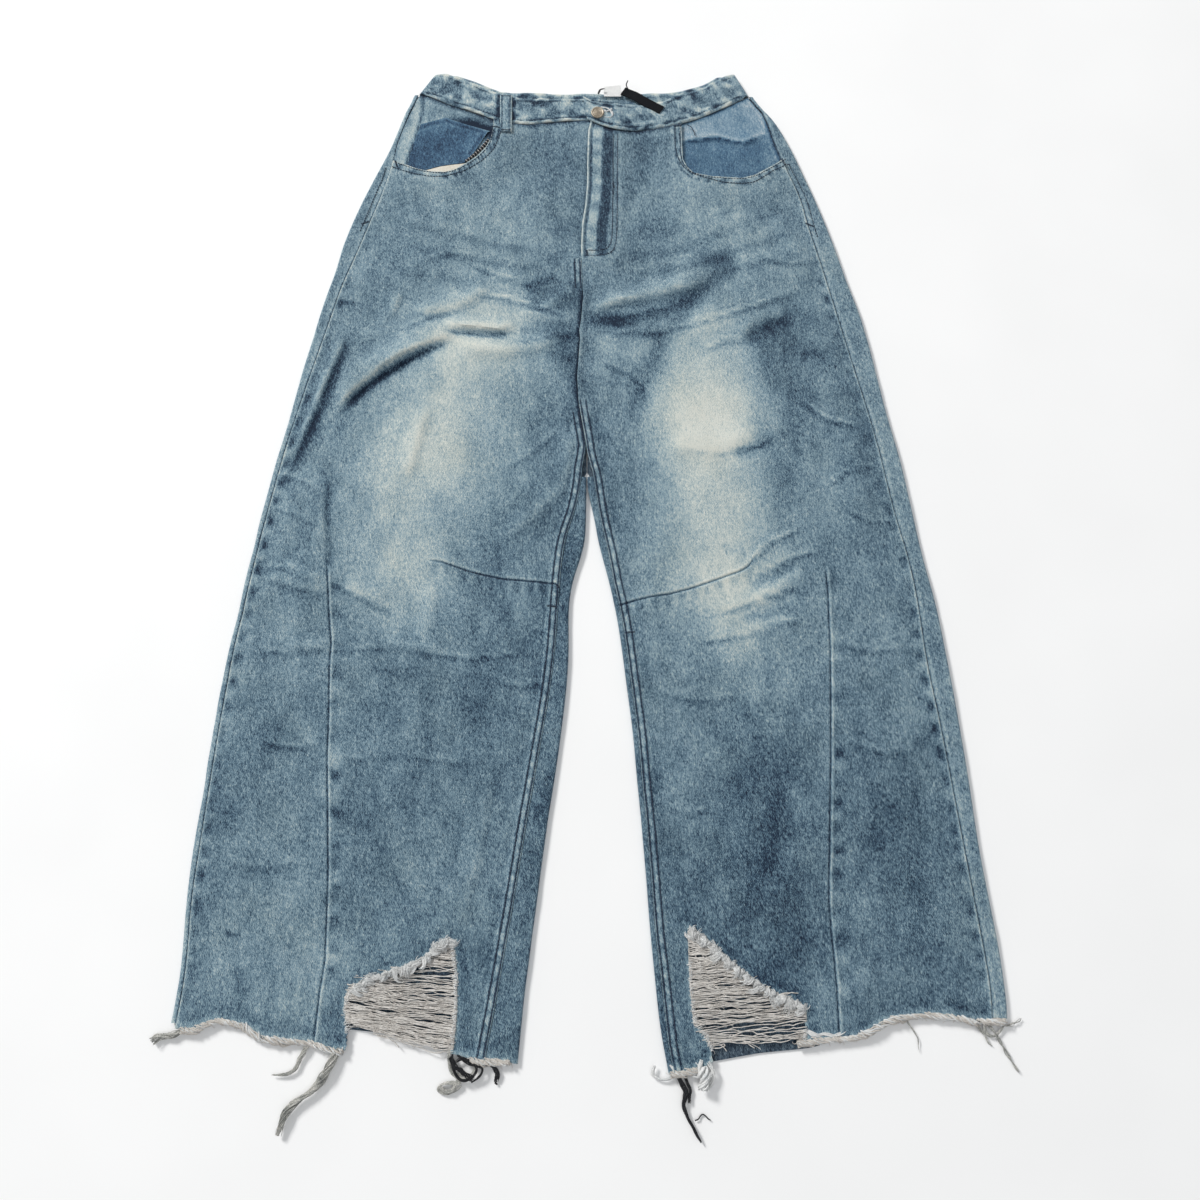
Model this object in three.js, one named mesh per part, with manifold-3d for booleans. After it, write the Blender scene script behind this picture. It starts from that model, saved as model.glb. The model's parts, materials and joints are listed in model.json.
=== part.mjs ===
// Ripped barrel-leg jeans laid flat, front side up, on the surface z = 0.
// Millimetres. +X is the wearer's left, +Y runs from the hems to the waist,
// +Z is up. The origin is the bottom centre of the whole piece.
// Every cloth piece is a wall lofted through rows: each row crosses the piece
// from edge to edge and follows the cut, the fold edges and the largest folds.
import * as THREE from 'three';
import { mergeVertices } from 'three/addons/utils/BufferGeometryUtils.js';
import Module from 'manifold-3d';

const wasm = await Module();
wasm.setup();
const { Manifold, Mesh: MMesh } = wasm;

// ---------------------------------------------------------------- sizes
const DENIM = 1.2;          // one layer of denim
const BAND = 2.2;           // waistband, two layers pressed together
const SEAM = 0.3;           // gap between neighbouring pieces at a seam
const LEVEL = 3.2;          // underside of the upper layer of each leg
const SEAT_RAISE = 1.7;     // back panels lifted over the back pockets and loops
const POCKET_RAISE = 2.7;   // front panel lifted over the pocket layers
const FLY_RAISE = 1.9;      // fly flap lifted over the underlap
const UNDERLAP = 9;         // how far the right front runs under the fly flap
const FOLD_MIN = 4.6;       // least strip of back panel that turns up at an edge
const FRINGE = 5;           // reach of the frayed hem
const BUTTON_D = 14.5;
const LOOP_W = 12.5;
const CENTRE = -1.9;  // centre line of seat and crotch

// ---------------------------------------------------------------- cut lines
// [x, y] along each line, from the waist down or from left to right
const L = {
  out_r: [[-193.0,522.3],[-197.3,518.4],[-203.4,505.5],[-207.3,492.6],[-211.2,479.8],[-218.9,454.4],[-229.8,429.2],[-240.6,404.3],[-250.2,379.7],[-258.6,355.3],[-265.9,331.1],[-269.8,307.2],[-277.0,283.5],[-283.0,260.0],[-287.9,236.8],[-292.7,213.7],[-298.6,190.9],[-302.3,168.4],[-307.0,146.0],[-310.7,123.8],[-316.3,101.9],[-320.9,80.1],[-324.4,58.6],[-328.9,37.2],[-332.4,16.1],[-334.8,-4.8],[-339.2,-25.6],[-342.6,-46.2],[-343.9,-66.6],[-348.2,-86.8],[-351.5,-106.8],[-353.8,-126.6],[-356.1,-146.3],[-358.3,-165.8],[-359.5,-185.1],[-361.7,-204.3],[-363.0,-223.3],[-363.7,-242.1],[-365.9,-260.7],[-368.0,-279.2],[-369.2,-297.6],[-370.4,-315.7],[-371.0,-333.8],[-371.3,-351.6],[-371.0,-369.4],[-370.8,-386.9],[-371.0,-404.4],[-372.2,-421.6],[-374.2,-438.8],[-376.2,-455.8],[-378.2,-472.6]],
  out_l: [[177.7,524.9],[179.7,518.4],[192.7,505.5],[203.3,492.6],[209.4,479.8],[221.7,454.4],[230.5,429.2],[240.3,404.3],[248.9,379.7],[256.4,355.3],[263.8,331.1],[270.0,307.2],[276.2,283.5],[284.4,260.0],[289.4,236.8],[294.4,213.7],[298.2,190.9],[302.1,168.4],[305.9,146.0],[310.6,123.8],[315.4,101.9],[319.6,80.1],[322.7,58.6],[325.8,37.2],[328.9,16.1],[331.9,-4.8],[335.9,-25.6],[339.9,-46.2],[343.9,-66.6],[346.3,-86.8],[348.7,-106.8],[351.1,-126.6],[353.4,-146.3],[355.3,-165.8],[357.2,-185.1],[359.0,-204.3],[360.8,-223.3],[362.1,-242.1],[363.4,-260.7],[364.8,-279.2],[366.0,-297.6],[368.3,-315.7],[370.4,-333.8],[372.6,-351.6],[374.8,-369.4],[376.9,-386.9],[378.1,-404.4],[379.3,-421.6],[379.6,-438.8],[378.5,-455.8],[377.4,-468.4]],
  inn_r: [[-2.5,123.8],[-2.3,54.3],[-2.8,37.2],[-2.8,16.1],[-4.7,-4.8],[-12.6,-25.6],[-17.9,-46.2],[-19.8,-66.6],[-19.6,-86.8],[-19.0,-106.8],[-19.9,-126.6],[-21.2,-146.3],[-23.4,-165.8],[-25.7,-185.1],[-27.9,-204.3],[-30.6,-223.3],[-33.3,-242.1],[-36.4,-260.7],[-39.0,-279.2],[-41.1,-297.6],[-43.7,-315.7],[-45.8,-333.8],[-47.8,-351.6],[-50.4,-369.4],[-52.4,-386.9],[-54.4,-404.4],[-56.9,-421.6],[-58.4,-438.8],[-59.9,-455.8],[-61.4,-472.6],[-62.9,-491.0]],
  inn_l: [[-1.9,123.8],[-1.7,54.3],[4.2,37.2],[7.3,16.1],[11.3,-4.8],[17.3,-25.6],[22.2,-46.2],[26.6,-66.6],[30.0,-86.8],[32.8,-106.8],[35.2,-126.6],[37.5,-146.3],[40.2,-165.8],[42.5,-185.1],[44.3,-204.3],[45.6,-223.3],[47.3,-242.1],[49.1,-260.7],[50.8,-279.2],[52.0,-297.6],[53.7,-315.7],[54.9,-333.8],[56.1,-351.6],[57.3,-369.4],[58.9,-386.9],[60.6,-404.4],[62.2,-421.6],[63.8,-438.8],[65.8,-455.8],[68.7,-472.6],[72.1,-489.4],[74.6,-501.8]],
  os_r: [[-200.7,505.7],[-207.5,483.9],[-212.9,456.0],[-217.0,425.9],[-227.5,393.6],[-240.6,353.4],[-252.6,317.3],[-263.7,286.5],[-273.2,249.1],[-281.7,216.8],[-289.3,188.4],[-298.4,152.4],[-305.7,123.7],[-311.2,99.6],[-319.4,57.5],[-327.4,15.1],[-337.6,-47.0],[-346.6,-107.4],[-354.7,-185.5],[-359.3,-242.3],[-366.3,-333.7],[-367.0,-386.7],[-367.9,-421.4],[-371.7,-453.7],[-373.7,-470.5]],
  os_l: [[184.6,510.9],[195.2,495.4],[200.8,467.4],[204.7,456.0],[212.6,432.1],[221.5,410.9],[229.5,393.6],[235.5,359.4],[244.6,325.1],[252.6,292.4],[260.4,258.4],[269.8,217.9],[278.3,182.7],[288.3,141.3],[296.3,104.0],[303.7,58.6],[308.9,29.9],[315.2,3.6],[320.4,-22.3],[324.7,-53.1],[328.0,-96.4],[329.8,-119.3],[334.0,-148.7],[339.0,-184.5],[345.4,-238.6],[351.5,-291.2],[357.6,-342.7],[362.5,-383.3],[366.4,-423.1],[365.1,-447.8],[363.4,-468.0]],
  is_r: [[-3.1,122.6],[-3.5,104.0],[-7.0,73.6],[-11.4,42.6],[-22.7,9.9],[-26.5,-16.1],[-28.3,-37.8],[-30.0,-67.3],[-33.0,-114.3],[-38.4,-156.5],[-48.6,-218.8],[-58.5,-279.3],[-68.1,-342.7],[-76.7,-395.5],[-83.1,-434.2],[-91.8,-482.2],[-93.7,-495.5]],
  is_l: [[-1.5,122.6],[-1.0,106.1],[4.2,75.8],[10.3,33.1],[20.3,-10.9],[29.0,-63.2],[34.2,-106.4],[41.6,-172.0],[45.1,-214.1],[51.6,-279.3],[57.9,-342.7],[65.1,-396.3],[69.9,-442.7],[74.6,-489.7],[75.7,-501.3]],
  vs_r: [[-272.8,155.8],[-268.0,76.8],[-262.2,4.7],[-258.5,-36.7],[-255.0,-73.4],[-251.4,-101.4],[-252.0,-123.2],[-249.6,-172.0],[-248.5,-214.1],[-241.5,-315.8],[-239.5,-395.5],[-242.8,-423.1],[-245.8,-468.0]],
  vs_l: [[217.9,155.8],[221.3,94.2],[228.1,63.9],[233.1,42.6],[234.7,-5.7],[236.7,-47.0],[236.1,-106.4],[234.1,-155.6],[231.1,-214.1],[222.8,-342.7],[223.9,-375.4],[226.2,-417.9],[226.3,-468.0]],
  kd_r: [[-162.9,-16.1],[-146.9,-17.7],[-116.7,-28.5],[-85.8,-35.7],[-60.0,-37.8],[-32.3,-40.8],[-26.3,-47.0]],
  kd_l: [[166.7,-10.9],[159.4,-22.3],[151.3,-27.5],[126.2,-36.7],[103.3,-44.9],[80.4,-51.0],[60.6,-54.1],[43.8,-58.2],[29.0,-63.2]],
  cf: [[0.2,502.3],[1.3,489.5],[-1.9,475.5],[-2.9,436.4],[-2.8,411.5],[-4.9,381.9],[-8.1,361.2],[-9.1,333.4],[-7.9,304.8],[-6.7,273.0],[-8.7,247.4],[-10.7,234.6],[-9.7,226.6],[-12.6,182.2],[-10.8,153.1],[-3.0,107.9]],
  hemf_r: [[-384.3,-452.9],[-376.0,-453.6],[-367.7,-454.5],[-359.5,-455.7],[-351.2,-454.7],[-342.9,-450.6],[-334.6,-447.9],[-326.4,-447.9],[-318.1,-449.2],[-309.8,-451.8],[-301.5,-457.2],[-293.2,-462.1],[-285.0,-463.7],[-276.7,-464.3],[-268.4,-464.9],[-260.1,-465.4],[-251.8,-466.1],[-243.6,-467.8],[-235.3,-470.5],[-227.0,-473.0],[-218.7,-472.9],[-210.4,-470.8],[-202.2,-470.1],[-193.9,-470.6],[-185.6,-471.1],[-177.3,-471.6],[-169.1,-472.1],[-160.8,-472.6],[-152.5,-473.1],[-144.2,-473.5],[-135.9,-474.0],[-127.7,-474.6],[-119.4,-475.8],[-111.1,-477.9],[-102.8,-480.5],[-94.6,-482.2],[-86.3,-482.7],[-78.0,-483.1]],
  hemf_l: [[60.3,-492.2],[68.5,-492.2],[76.8,-492.0],[85.0,-491.4],[93.2,-490.4],[101.4,-487.6],[109.7,-483.7],[117.9,-480.7],[126.1,-478.4],[134.3,-476.1],[142.6,-473.8],[150.8,-471.6],[159.0,-470.0],[167.3,-469.0],[175.5,-468.1],[183.7,-467.1],[191.9,-466.2],[200.2,-465.3],[208.4,-464.6],[216.6,-463.9],[224.8,-463.0],[233.1,-462.1],[241.3,-460.9],[249.5,-458.8],[257.8,-454.4],[266.0,-450.0],[274.2,-447.0],[282.4,-445.0],[290.7,-444.1],[298.9,-443.4],[307.1,-443.0],[315.4,-443.3],[323.6,-443.8],[331.8,-444.6],[340.0,-446.3],[348.3,-447.9],[356.5,-448.4],[364.7,-448.6],[372.9,-448.6],[381.2,-448.3],[389.4,-447.8]],
  hemb_r: [[-386.3,-449.1],[-377.9,-449.7],[-369.6,-449.7],[-361.2,-449.2],[-352.8,-448.8],[-344.4,-448.3],[-336.1,-447.8],[-327.7,-447.4],[-319.3,-446.9],[-310.9,-447.5],[-302.6,-449.3],[-294.2,-451.2],[-285.8,-453.1],[-277.5,-455.1],[-269.1,-457.0],[-260.7,-458.8],[-252.3,-459.9],[-244.0,-460.7],[-235.6,-461.5],[-227.2,-462.3],[-218.8,-463.0],[-210.5,-463.8],[-202.1,-464.6],[-193.7,-465.4],[-185.4,-466.1],[-177.0,-466.9],[-168.6,-467.8],[-160.2,-468.9],[-151.9,-470.0],[-143.5,-471.2],[-135.1,-472.4],[-126.8,-473.6],[-118.4,-474.7],[-110.0,-475.9],[-101.6,-477.1],[-93.3,-478.4],[-84.9,-480.0],[-76.5,-481.6],[-68.1,-483.2],[-59.8,-484.5],[-51.4,-485.3]],
  hemb_l: [[60.4,-494.5],[68.7,-493.8],[76.9,-492.2],[85.2,-489.9],[93.5,-487.5],[101.7,-485.2],[110.0,-483.0],[118.2,-481.4],[126.5,-480.0],[134.8,-478.6],[143.1,-477.2],[151.3,-475.8],[159.6,-474.8],[167.8,-474.1],[176.1,-473.3],[184.4,-472.6],[192.6,-471.8],[200.9,-470.7],[209.2,-468.8],[217.4,-466.4],[225.7,-464.1],[234.0,-461.6],[242.2,-458.9],[250.5,-455.9],[258.8,-452.8],[267.0,-450.4],[275.3,-448.6],[283.6,-446.9],[291.8,-445.2],[300.1,-443.5],[308.4,-442.2],[316.6,-441.9],[324.9,-442.4],[333.1,-443.0],[341.4,-443.5],[349.7,-444.0],[357.9,-444.5],[366.2,-445.0],[374.5,-445.6],[382.7,-446.1],[391.0,-446.6]],
  wbt_r: [[-185.6,529.2],[-180.4,539.6],[-173.0,548.7],[-161.9,550.0],[-144.9,543.5],[-128.0,536.9],[-111.1,528.4],[-99.8,523.5],[-77.5,518.2],[-55.3,517.5],[-26.4,516.9],[-7.6,517.5],[11.3,516.2],[24.6,514.9]],
  wbt_l: [[-7.6,519.3],[1.3,513.4],[13.5,510.3],[35.7,509.4],[55.6,509.0],[81.1,513.4],[92.3,519.9],[104.6,525.0],[125.9,531.6],[141.7,541.3],[151.8,546.6],[162.0,549.2],[171.5,533.5]],
  wbb_r: [[-190.0,523.5],[-179.3,521.1],[-168.5,516.0],[-157.8,510.9],[-147.1,507.0],[-136.3,503.2],[-125.6,499.1],[-114.9,494.8],[-104.2,490.7],[-93.4,487.6],[-82.7,485.8],[-72.0,484.6],[-61.2,485.1],[-50.5,486.7],[-39.8,488.0],[-29.1,488.9],[-18.3,489.4],[-7.6,489.7],[3.1,489.3],[13.9,488.4],[24.6,487.5]],
  wbb_l: [[-3.1,490.0],[7.5,484.6],[18.1,479.9],[28.7,476.9],[39.2,476.0],[49.8,476.5],[60.4,477.6],[71.0,478.9],[81.6,480.4],[92.2,482.7],[102.8,486.0],[113.4,489.7],[124.0,493.9],[134.6,498.8],[145.1,504.0],[155.7,509.4],[166.3,515.1],[176.9,520.9]],
  wbk_t: [[-183.5,541.0],[-173.9,552.8],[-162.7,554.8],[-145.7,548.9],[-128.7,542.3],[-111.7,534.5],[-100.4,529.3],[-78.0,526.7],[-33.3,526.0],[13.5,525.4],[58.2,525.4],[83.9,527.3],[100.7,529.9],[126.5,537.8],[142.5,547.6],[152.7,552.8],[162.8,554.8],[170.4,543.6]],
  poc_r: [[-105.9,492.6],[-106.6,477.3],[-108.5,465.9],[-113.8,454.5],[-123.3,443.2],[-136.2,433.2],[-146.9,426.3],[-157.7,423.2],[-174.0,423.8],[-189.5,427.6],[-203.3,433.2],[-213.9,436.9]],
  poc_l: [[100.7,486.2],[101.2,463.3],[101.8,439.4],[106.3,429.4],[113.7,422.0],[134.3,417.6],[153.9,416.4],[165.9,415.7],[180.1,419.5],[192.4,426.9],[204.7,434.4],[213.7,440.7]],
  coin: [[-187.5,484.4],[-159.0,492.1],[-137.8,483.8],[-107.8,475.5]],
  fly_j: [[30.0,472.2],[29.8,413.3],[29.1,364.2],[28.4,338.8],[26.3,329.2],[22.0,323.2],[11.3,322.0],[-7.9,322.0]],
  loop: [[-99.7,520.6],[-86.4,520.6],[-85.4,473.2],[-98.6,473.2]],
  button: [[8.7,495.9]],
  rip_r: [[-215.6,-456.7],[-218.5,-435.1],[-214.8,-422.5],[-199.1,-414.0],[-181.3,-407.1],[-166.1,-402.8],[-148.0,-395.0],[-138.3,-385.3],[-130.6,-378.6],[-124.5,-382.6],[-120.0,-409.4],[-119.5,-438.4],[-121.7,-467.9],[-124.0,-476.7]],
  rip_l: [[93.4,-367.4],[102.7,-374.8],[114.4,-383.6],[130.4,-399.3],[152.6,-415.7],[168.6,-426.0],[190.8,-433.7],[195.7,-441.1],[196.0,-454.5],[194.8,-463.4],[111.8,-471.7],[107.7,-461.1],[97.2,-448.4],[94.7,-421.3],[93.8,-395.4]],
  tassel: [[-227.4,-476.4],[-232.8,-490.5],[-240.1,-502.1],[-252.0,-510.3],[-263.0,-517.7],[-269.4,-528.3],[-272.7,-542.9]],
  tassel2: [[-252.2,-470.7],[-256.1,-479.0],[-259.8,-490.7],[-265.8,-494.8],[-283.7,-493.2]],
  knot_r: [[-121.7,-482.2],[-110.8,-490.5],[-99.9,-497.2]],
  curl_r: [[-114.6,-490.9],[-117.7,-504.1],[-127.4,-507.4],[-132.9,-500.8]],
  tail_r: [[-81.8,-480.9],[-81.5,-490.9],[-81.3,-501.6]],
  tuft_r: [[-394.6,-466.6],[-388.1,-459.0],[-373.9,-457.3],[-353.8,-460.7]],
  blk_l: [[84.3,-495.7],[90.4,-505.6],[83.9,-518.7],[87.3,-527.7],[92.4,-535.4],[100.0,-550.4]],
  blk_l2: [[95.4,-530.6],[101.7,-524.8],[110.0,-530.6]],
  knot_l: [[104.1,-481.2],[104.7,-492.9],[103.5,-506.1]],
  thr_l: [[288.6,-446.4],[296.7,-460.0],[298.3,-475.2]],
  thr_c1: [[365.5,-454.9],[373.9,-472.6],[385.6,-491.8]],
  thr_c2: [[378.4,-452.0],[392.6,-445.6]],
  thr_c3: [[355.6,-455.8],[363.3,-470.1]],
  label: [[36.8,526.7],[49.0,520.3],[62.2,511.3],[79.7,501.0]],
  bag: [[-176.5,423.4],[-157.9,423.4],[-143.9,429.0],[-135.4,435.9],[-120.4,449.0],[-111.0,468.6]],
  apex: [[-1.9,54.3]],
  crotch: [[-2.0,108.3]],
  poc_rx: [[-213.9,436.9],[-203.3,433.2],[-189.5,427.6],[-174.0,423.8],[-157.7,423.2],[-146.9,426.3],[-136.2,433.2],[-123.3,443.2],[-113.8,454.5],[-108.5,465.9],[-106.6,477.3],[-105.9,492.6]],
  poc_lx: [[100.7,486.2],[101.2,463.3],[101.8,439.4],[106.3,429.4],[113.7,422.0],[134.3,417.6],[153.9,416.4],[165.9,415.7],[180.1,419.5],[192.4,426.9],[204.7,434.4],[213.7,440.7]],
  mouth_r: [[-105.9,552.6],[-105.9,492.6],[-106.6,477.3],[-108.5,465.9],[-113.8,454.5],[-123.3,443.2],[-136.2,433.2],[-146.9,426.3],[-157.7,423.2],[-174.0,423.8],[-189.5,427.6],[-203.3,433.2],[-213.9,436.9],[-235.9,442.9],[-273.9,466.9],[-273.9,552.6]],
  mouth_l: [[100.7,546.2],[100.7,486.2],[101.2,463.3],[101.8,439.4],[106.3,429.4],[113.7,422.0],[134.3,417.6],[153.9,416.4],[165.9,415.7],[180.1,419.5],[192.4,426.9],[204.7,434.4],[213.7,440.7],[235.7,448.7],[273.7,470.7],[273.7,546.2]],
  mouth_rc: [[-105.9,552.6],[-105.9,492.6],[-106.6,477.3],[-108.5,465.9],[-113.8,454.5],[-123.3,443.2],[-136.2,433.2],[-146.9,426.3],[-157.7,423.2],[-174.0,423.8],[-189.5,427.6],[-203.3,433.2],[-213.9,436.9],[-235.9,442.9],[-273.9,466.9],[-273.9,552.6]],
  mouth_lc: [[100.7,546.2],[100.7,486.2],[101.2,463.3],[101.8,439.4],[106.3,429.4],[113.7,422.0],[134.3,417.6],[153.9,416.4],[165.9,415.7],[180.1,419.5],[192.4,426.9],[204.7,434.4],[213.7,440.7],[235.7,448.7],[273.7,470.7],[273.7,546.2]],
  rip_rn: [[-216.0,-457.1],[-219.0,-435.0],[-215.2,-422.2],[-199.3,-413.6],[-181.5,-406.7],[-166.2,-402.4],[-148.3,-394.6],[-138.6,-385.0],[-130.6,-378.0],[-124.1,-382.4],[-119.6,-409.3],[-119.1,-438.4],[-121.3,-468.0],[-123.7,-477.2],[-122.7,-517.2],[-217.0,-517.1]],
  rip_ln: [[93.0,-366.6],[102.9,-374.5],[114.6,-383.2],[130.6,-398.9],[152.9,-415.3],[168.8,-425.6],[191.1,-433.3],[196.2,-441.0],[196.5,-454.6],[195.1,-463.8],[196.1,-523.8],[111.5,-522.2],[111.5,-472.2],[107.3,-461.3],[96.8,-448.6],[94.2,-421.4],[93.4,-395.4]],
  bagpoly: [[-181.0,425.9],[-162.6,431.5],[-150.6,433.4],[-137.6,435.2],[-126.9,447.2],[-112.2,472.4],[-107.6,462.3],[-112.8,450.9],[-122.4,439.6],[-135.2,429.6],[-145.9,422.8],[-157.8,419.6],[-174.2,420.3],[-185.2,422.1]],
  coinpoly: [[-186.6,484.5],[-159.2,492.8],[-137.9,484.5],[-110.1,475.6],[-112.8,474.4],[-127.4,447.8],[-138.0,435.8],[-151.1,434.0],[-163.1,432.1],[-181.5,426.5],[-199.2,429.6],[-197.1,445.9],[-192.4,464.8]],
  labelwhite: [[15.8,520.8],[15.8,533.3],[34.8,535.2],[34.7,520.8]],
  bandfold_r: [[-190.0,523.5],[-174.5,547.7]],
  bandfold_l: [[176.9,520.9],[162.8,548.1]],
  bandend_r: [[24.6,487.5],[24.6,514.9]],
  bandend_l: [[-3.1,490.0],[-7.6,519.3]],
  wbk_b: [[-190.0,523.5],[-179.5,520.3],[-169.0,516.8],[-158.6,512.8],[-148.1,508.8],[-137.6,504.6],[-127.1,500.5],[-116.6,496.9],[-106.1,494.2],[-95.7,491.8],[-85.2,489.8],[-74.7,488.5],[-64.2,487.3],[-53.7,486.2],[-43.2,485.5],[-32.8,485.1],[-22.3,484.8],[-11.8,484.4],[-1.3,484.2],[9.2,484.2],[19.7,484.4],[30.1,484.5],[40.6,484.7],[51.1,485.1],[61.6,485.6],[72.1,486.4],[82.5,487.8],[93.0,489.4],[103.5,491.6],[114.0,494.6],[124.5,498.0],[135.0,501.8],[145.4,506.3],[155.9,511.0],[166.4,515.9],[176.9,520.9]],
  fringes: [["hem_fringe_right_outer","R",-365.7,-235.7,12],["hem_fringe_right_inner","R",-95.7,-78.2,3],["hem_fringe_left_inner","L",77.3,90.3,2],["hem_fringe_left_outer","L",194.3,377.3,16]],
  ends: [
    ["tuft_right",[[-374.7,-460.4,3.4],[-384.7,-460.9,3.2],[-391.2,-465.9,3.2]],3,8,4,false],
    ["tassel_right_long",[[-227.7,-480.4,4.6],[-233.7,-492.9,4.4],[-241.7,-503.9,4.3],[-254.7,-512.9,4.3],[-264.7,-520.9,4.3],[-269.7,-531.9,4.3],[-272.7,-542.9,4.3]],4.2,8,12,false],
    ["tassel_right_short",[[-253.7,-473.4,3.2],[-257.7,-480.9,2.8],[-261.7,-489.9,2.8],[-269.7,-493.4,2.8],[-281.7,-493.2,2.8]],2.6,8,8,false],
    ["knot_right",[[-118.7,-484.9,5.4],[-110.7,-490.9,5.4],[-101.2,-496.9,5.4]],5.2,8,4,true],
    ["curl_right",[[-116.7,-501.9,2.8],[-120.7,-506.9,2.8],[-127.2,-507.4,2.8],[-131.7,-502.9,2.8]],2.5,8,6,false],
    ["tail_right",[[-81.7,-492.1,2.2],[-81.5,-496.9,2.2],[-81.3,-501.9,2.2]],2,8,3,true],
    ["knot_left",[[104.3,-493.9,6.6],[104.3,-499.9,6.6],[103.5,-505.9,6.6]],6.3,8,4,false],
    ["threads_black_left",[[83.8,-500.9,3.2],[88.3,-505.9,3],[86.8,-511.9,3],[85.3,-518.9,3],[88.3,-527.9,3],[93.3,-535.9,3],[100.3,-548.9,3]],2.6,8,12,true],
    ["thread_black_loose",[[95.4,-531.4,1.3],[101.7,-525.4,1.3],[110.0,-530.9,1.3]],1.1,8,5,true],
    ["thread_left_thin",[[290.8,-451.4,2.4],[296.7,-460.9,1.4],[298.3,-474.9,1.4]],1.2,8,5,false],
    ["thread_corner_a",[[366.8,-457.9,2.8],[374.3,-472.4,1.8],[385.3,-491.4,1.8]],1.6,8,6,false],
    ["thread_corner_b",[[381.1,-452.4,2.4],[392.3,-446.5,1.8]],1.6,8,3,false],
    ["thread_corner_c",[[355.8,-458.4,2.4],[363.3,-469.9,1.8]],1.5,8,3,false],
  ],
};

// largest folds: p = line, w = half width, a = height (negative = trough)
const FOLDS = {
  R: [
    { p: [[-124.4,239.6],[-155.3,230.4],[-190.1,215.6],[-220.3,196.4],[-244.1,177.3],[-263.1,149.5]], w: 13, a: 5.5 },
    { p: [[-143.7,223.2],[-190.9,200.9],[-218.1,182.2],[-236.1,168.7],[-256.7,140.9]], w: 8, a: -3.0 },
    { p: [[-113.3,208.7],[-164.4,187.2],[-199.7,166.0],[-226.3,143.8],[-243.4,119.6]], w: 12, a: 4.0 },
    { p: [[-254.5,231.9],[-269.1,196.6],[-282.3,158.4],[-292.6,127.5],[-304.0,99.1]], w: 8, a: 3.0 },
    { p: [[-187.4,259.1],[-155.7,255.6],[-130.8,264.9],[-100.7,284.8]], w: 9, a: 3.5 },
    { p: [[-157.7,234.6],[-93.6,230.0],[-72.6,233.5]], w: 7, a: -2.0 },
    { p: [[-16.2,283.0],[-36.1,269.0],[-51.8,256.2],[-83.2,246.9]], w: 9, a: 3.0 },
    { p: [[-72.1,213.6],[-46.1,220.5],[-22.1,226.2]], w: 9, a: 2.5 },
    { p: [[-173.9,154.0],[-168.1,110.0],[-172.5,66.8]], w: 14, a: 2.5 },
    { p: [[-302.9,-18.3],[-261.0,-38.8],[-225.0,-48.0],[-185.1,-61.2]], w: 12, a: 2.5 },
    { p: [[-206.5,-104.2],[-135.4,-109.2]], w: 12, a: 2.5 },
  ],
  L: [
    { p: [[-4.4,256.8],[15.5,261.5],[55.5,275.4],[95.8,287.1],[127.8,301.2]], w: 13, a: 5.5 },
    { p: [[-4.5,245.0],[34.5,248.5],[74.5,254.3],[101.1,267.1],[133.2,281.2]], w: 9, a: -2.5 },
    { p: [[11.3,225.1],[63.5,229.7],[116.0,241.2],[153.2,260.9]], w: 12, a: 3.5 },
    { p: [[166.0,216.3],[185.7,240.4],[207.1,250.3]], w: 8, a: -2.5 },
    { p: [[182.9,207.4],[204.5,226.8],[227.1,241.7]], w: 10, a: 3.0 },
    { p: [[89.7,103.4],[131.6,111.1],[167.7,122.0]], w: 10, a: 2.5 },
    { p: [[154.6,-61.2],[187.8,-42.9],[213.2,-25.5]], w: 10, a: 2.5 },
    { p: [[156.8,-84.3],[204.0,-77.3]], w: 8, a: 2.0 },
  ],
};
// broad fullness: x, y, half width in x, half width in y, height
const PUFF = {
  R: [[-138.1,154.4,70,110,2.2],[-289.2,24.7,40,120,1.2],[-148.9,327.4,70,60,1.0]],
  L: [[134.9,154.4,80,120,2.2],[222.3,268.3,60,90,1.2],[118.1,327.4,70,60,1.0]],
};

// ---------------------------------------------------------------- helpers
const clamp = (v, a, b) => Math.min(b, Math.max(a, v));
const smooth = (t) => { t = clamp(t, 0, 1); return t * t * (3 - 2 * t); };
const mix = (a, b, t) => a + (b - a) * t;

// x of a line at height y (line ordered by falling y)
function xAt(line, y) {
  let i = 0;
  while (i < line.length - 2 && line[i + 1][1] > y) i++;
  const [x0, y0] = line[i], [x1, y1] = line[i + 1];
  return y1 === y0 ? x0 : mix(x0, x1, (y - y0) / (y1 - y0));
}
// y of a line at x (line ordered by rising x), held level past its ends
function yAt(line, x) {
  if (x <= line[0][0]) return line[0][1];
  if (x >= line[line.length - 1][0]) return line[line.length - 1][1];
  let i = 0;
  while (i < line.length - 2 && line[i + 1][0] < x) i++;
  const [x0, y0] = line[i], [x1, y1] = line[i + 1];
  return mix(y0, y1, (x - x0) / (x1 - x0));
}
// the same, evened out over a stretch of the line
function xSoft(line, y, r = 14) {
  let s = 0;
  for (let k = -2; k <= 2; k++) s += xAt(line, clamp(y + (k * r) / 2, line[line.length - 1][1], line[0][1]));
  return s / 5;
}
function toLine(pts, x, y) {
  let best = 1e9, at = 0, run = 0, total = 0;
  for (let i = 0; i + 1 < pts.length; i++) {
    const [ax, ay] = pts[i], [bx, by] = pts[i + 1];
    const dx = bx - ax, dy = by - ay, len = Math.hypot(dx, dy);
    const t = clamp(((x - ax) * dx + (y - ay) * dy) / (len * len), 0, 1);
    const d = Math.hypot(x - ax - t * dx, y - ay - t * dy);
    if (d < best) { best = d; at = run + t * len; }
    run += len;
  }
  total = run;
  return [best, total > 0 ? at / total : 0, total];
}

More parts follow.
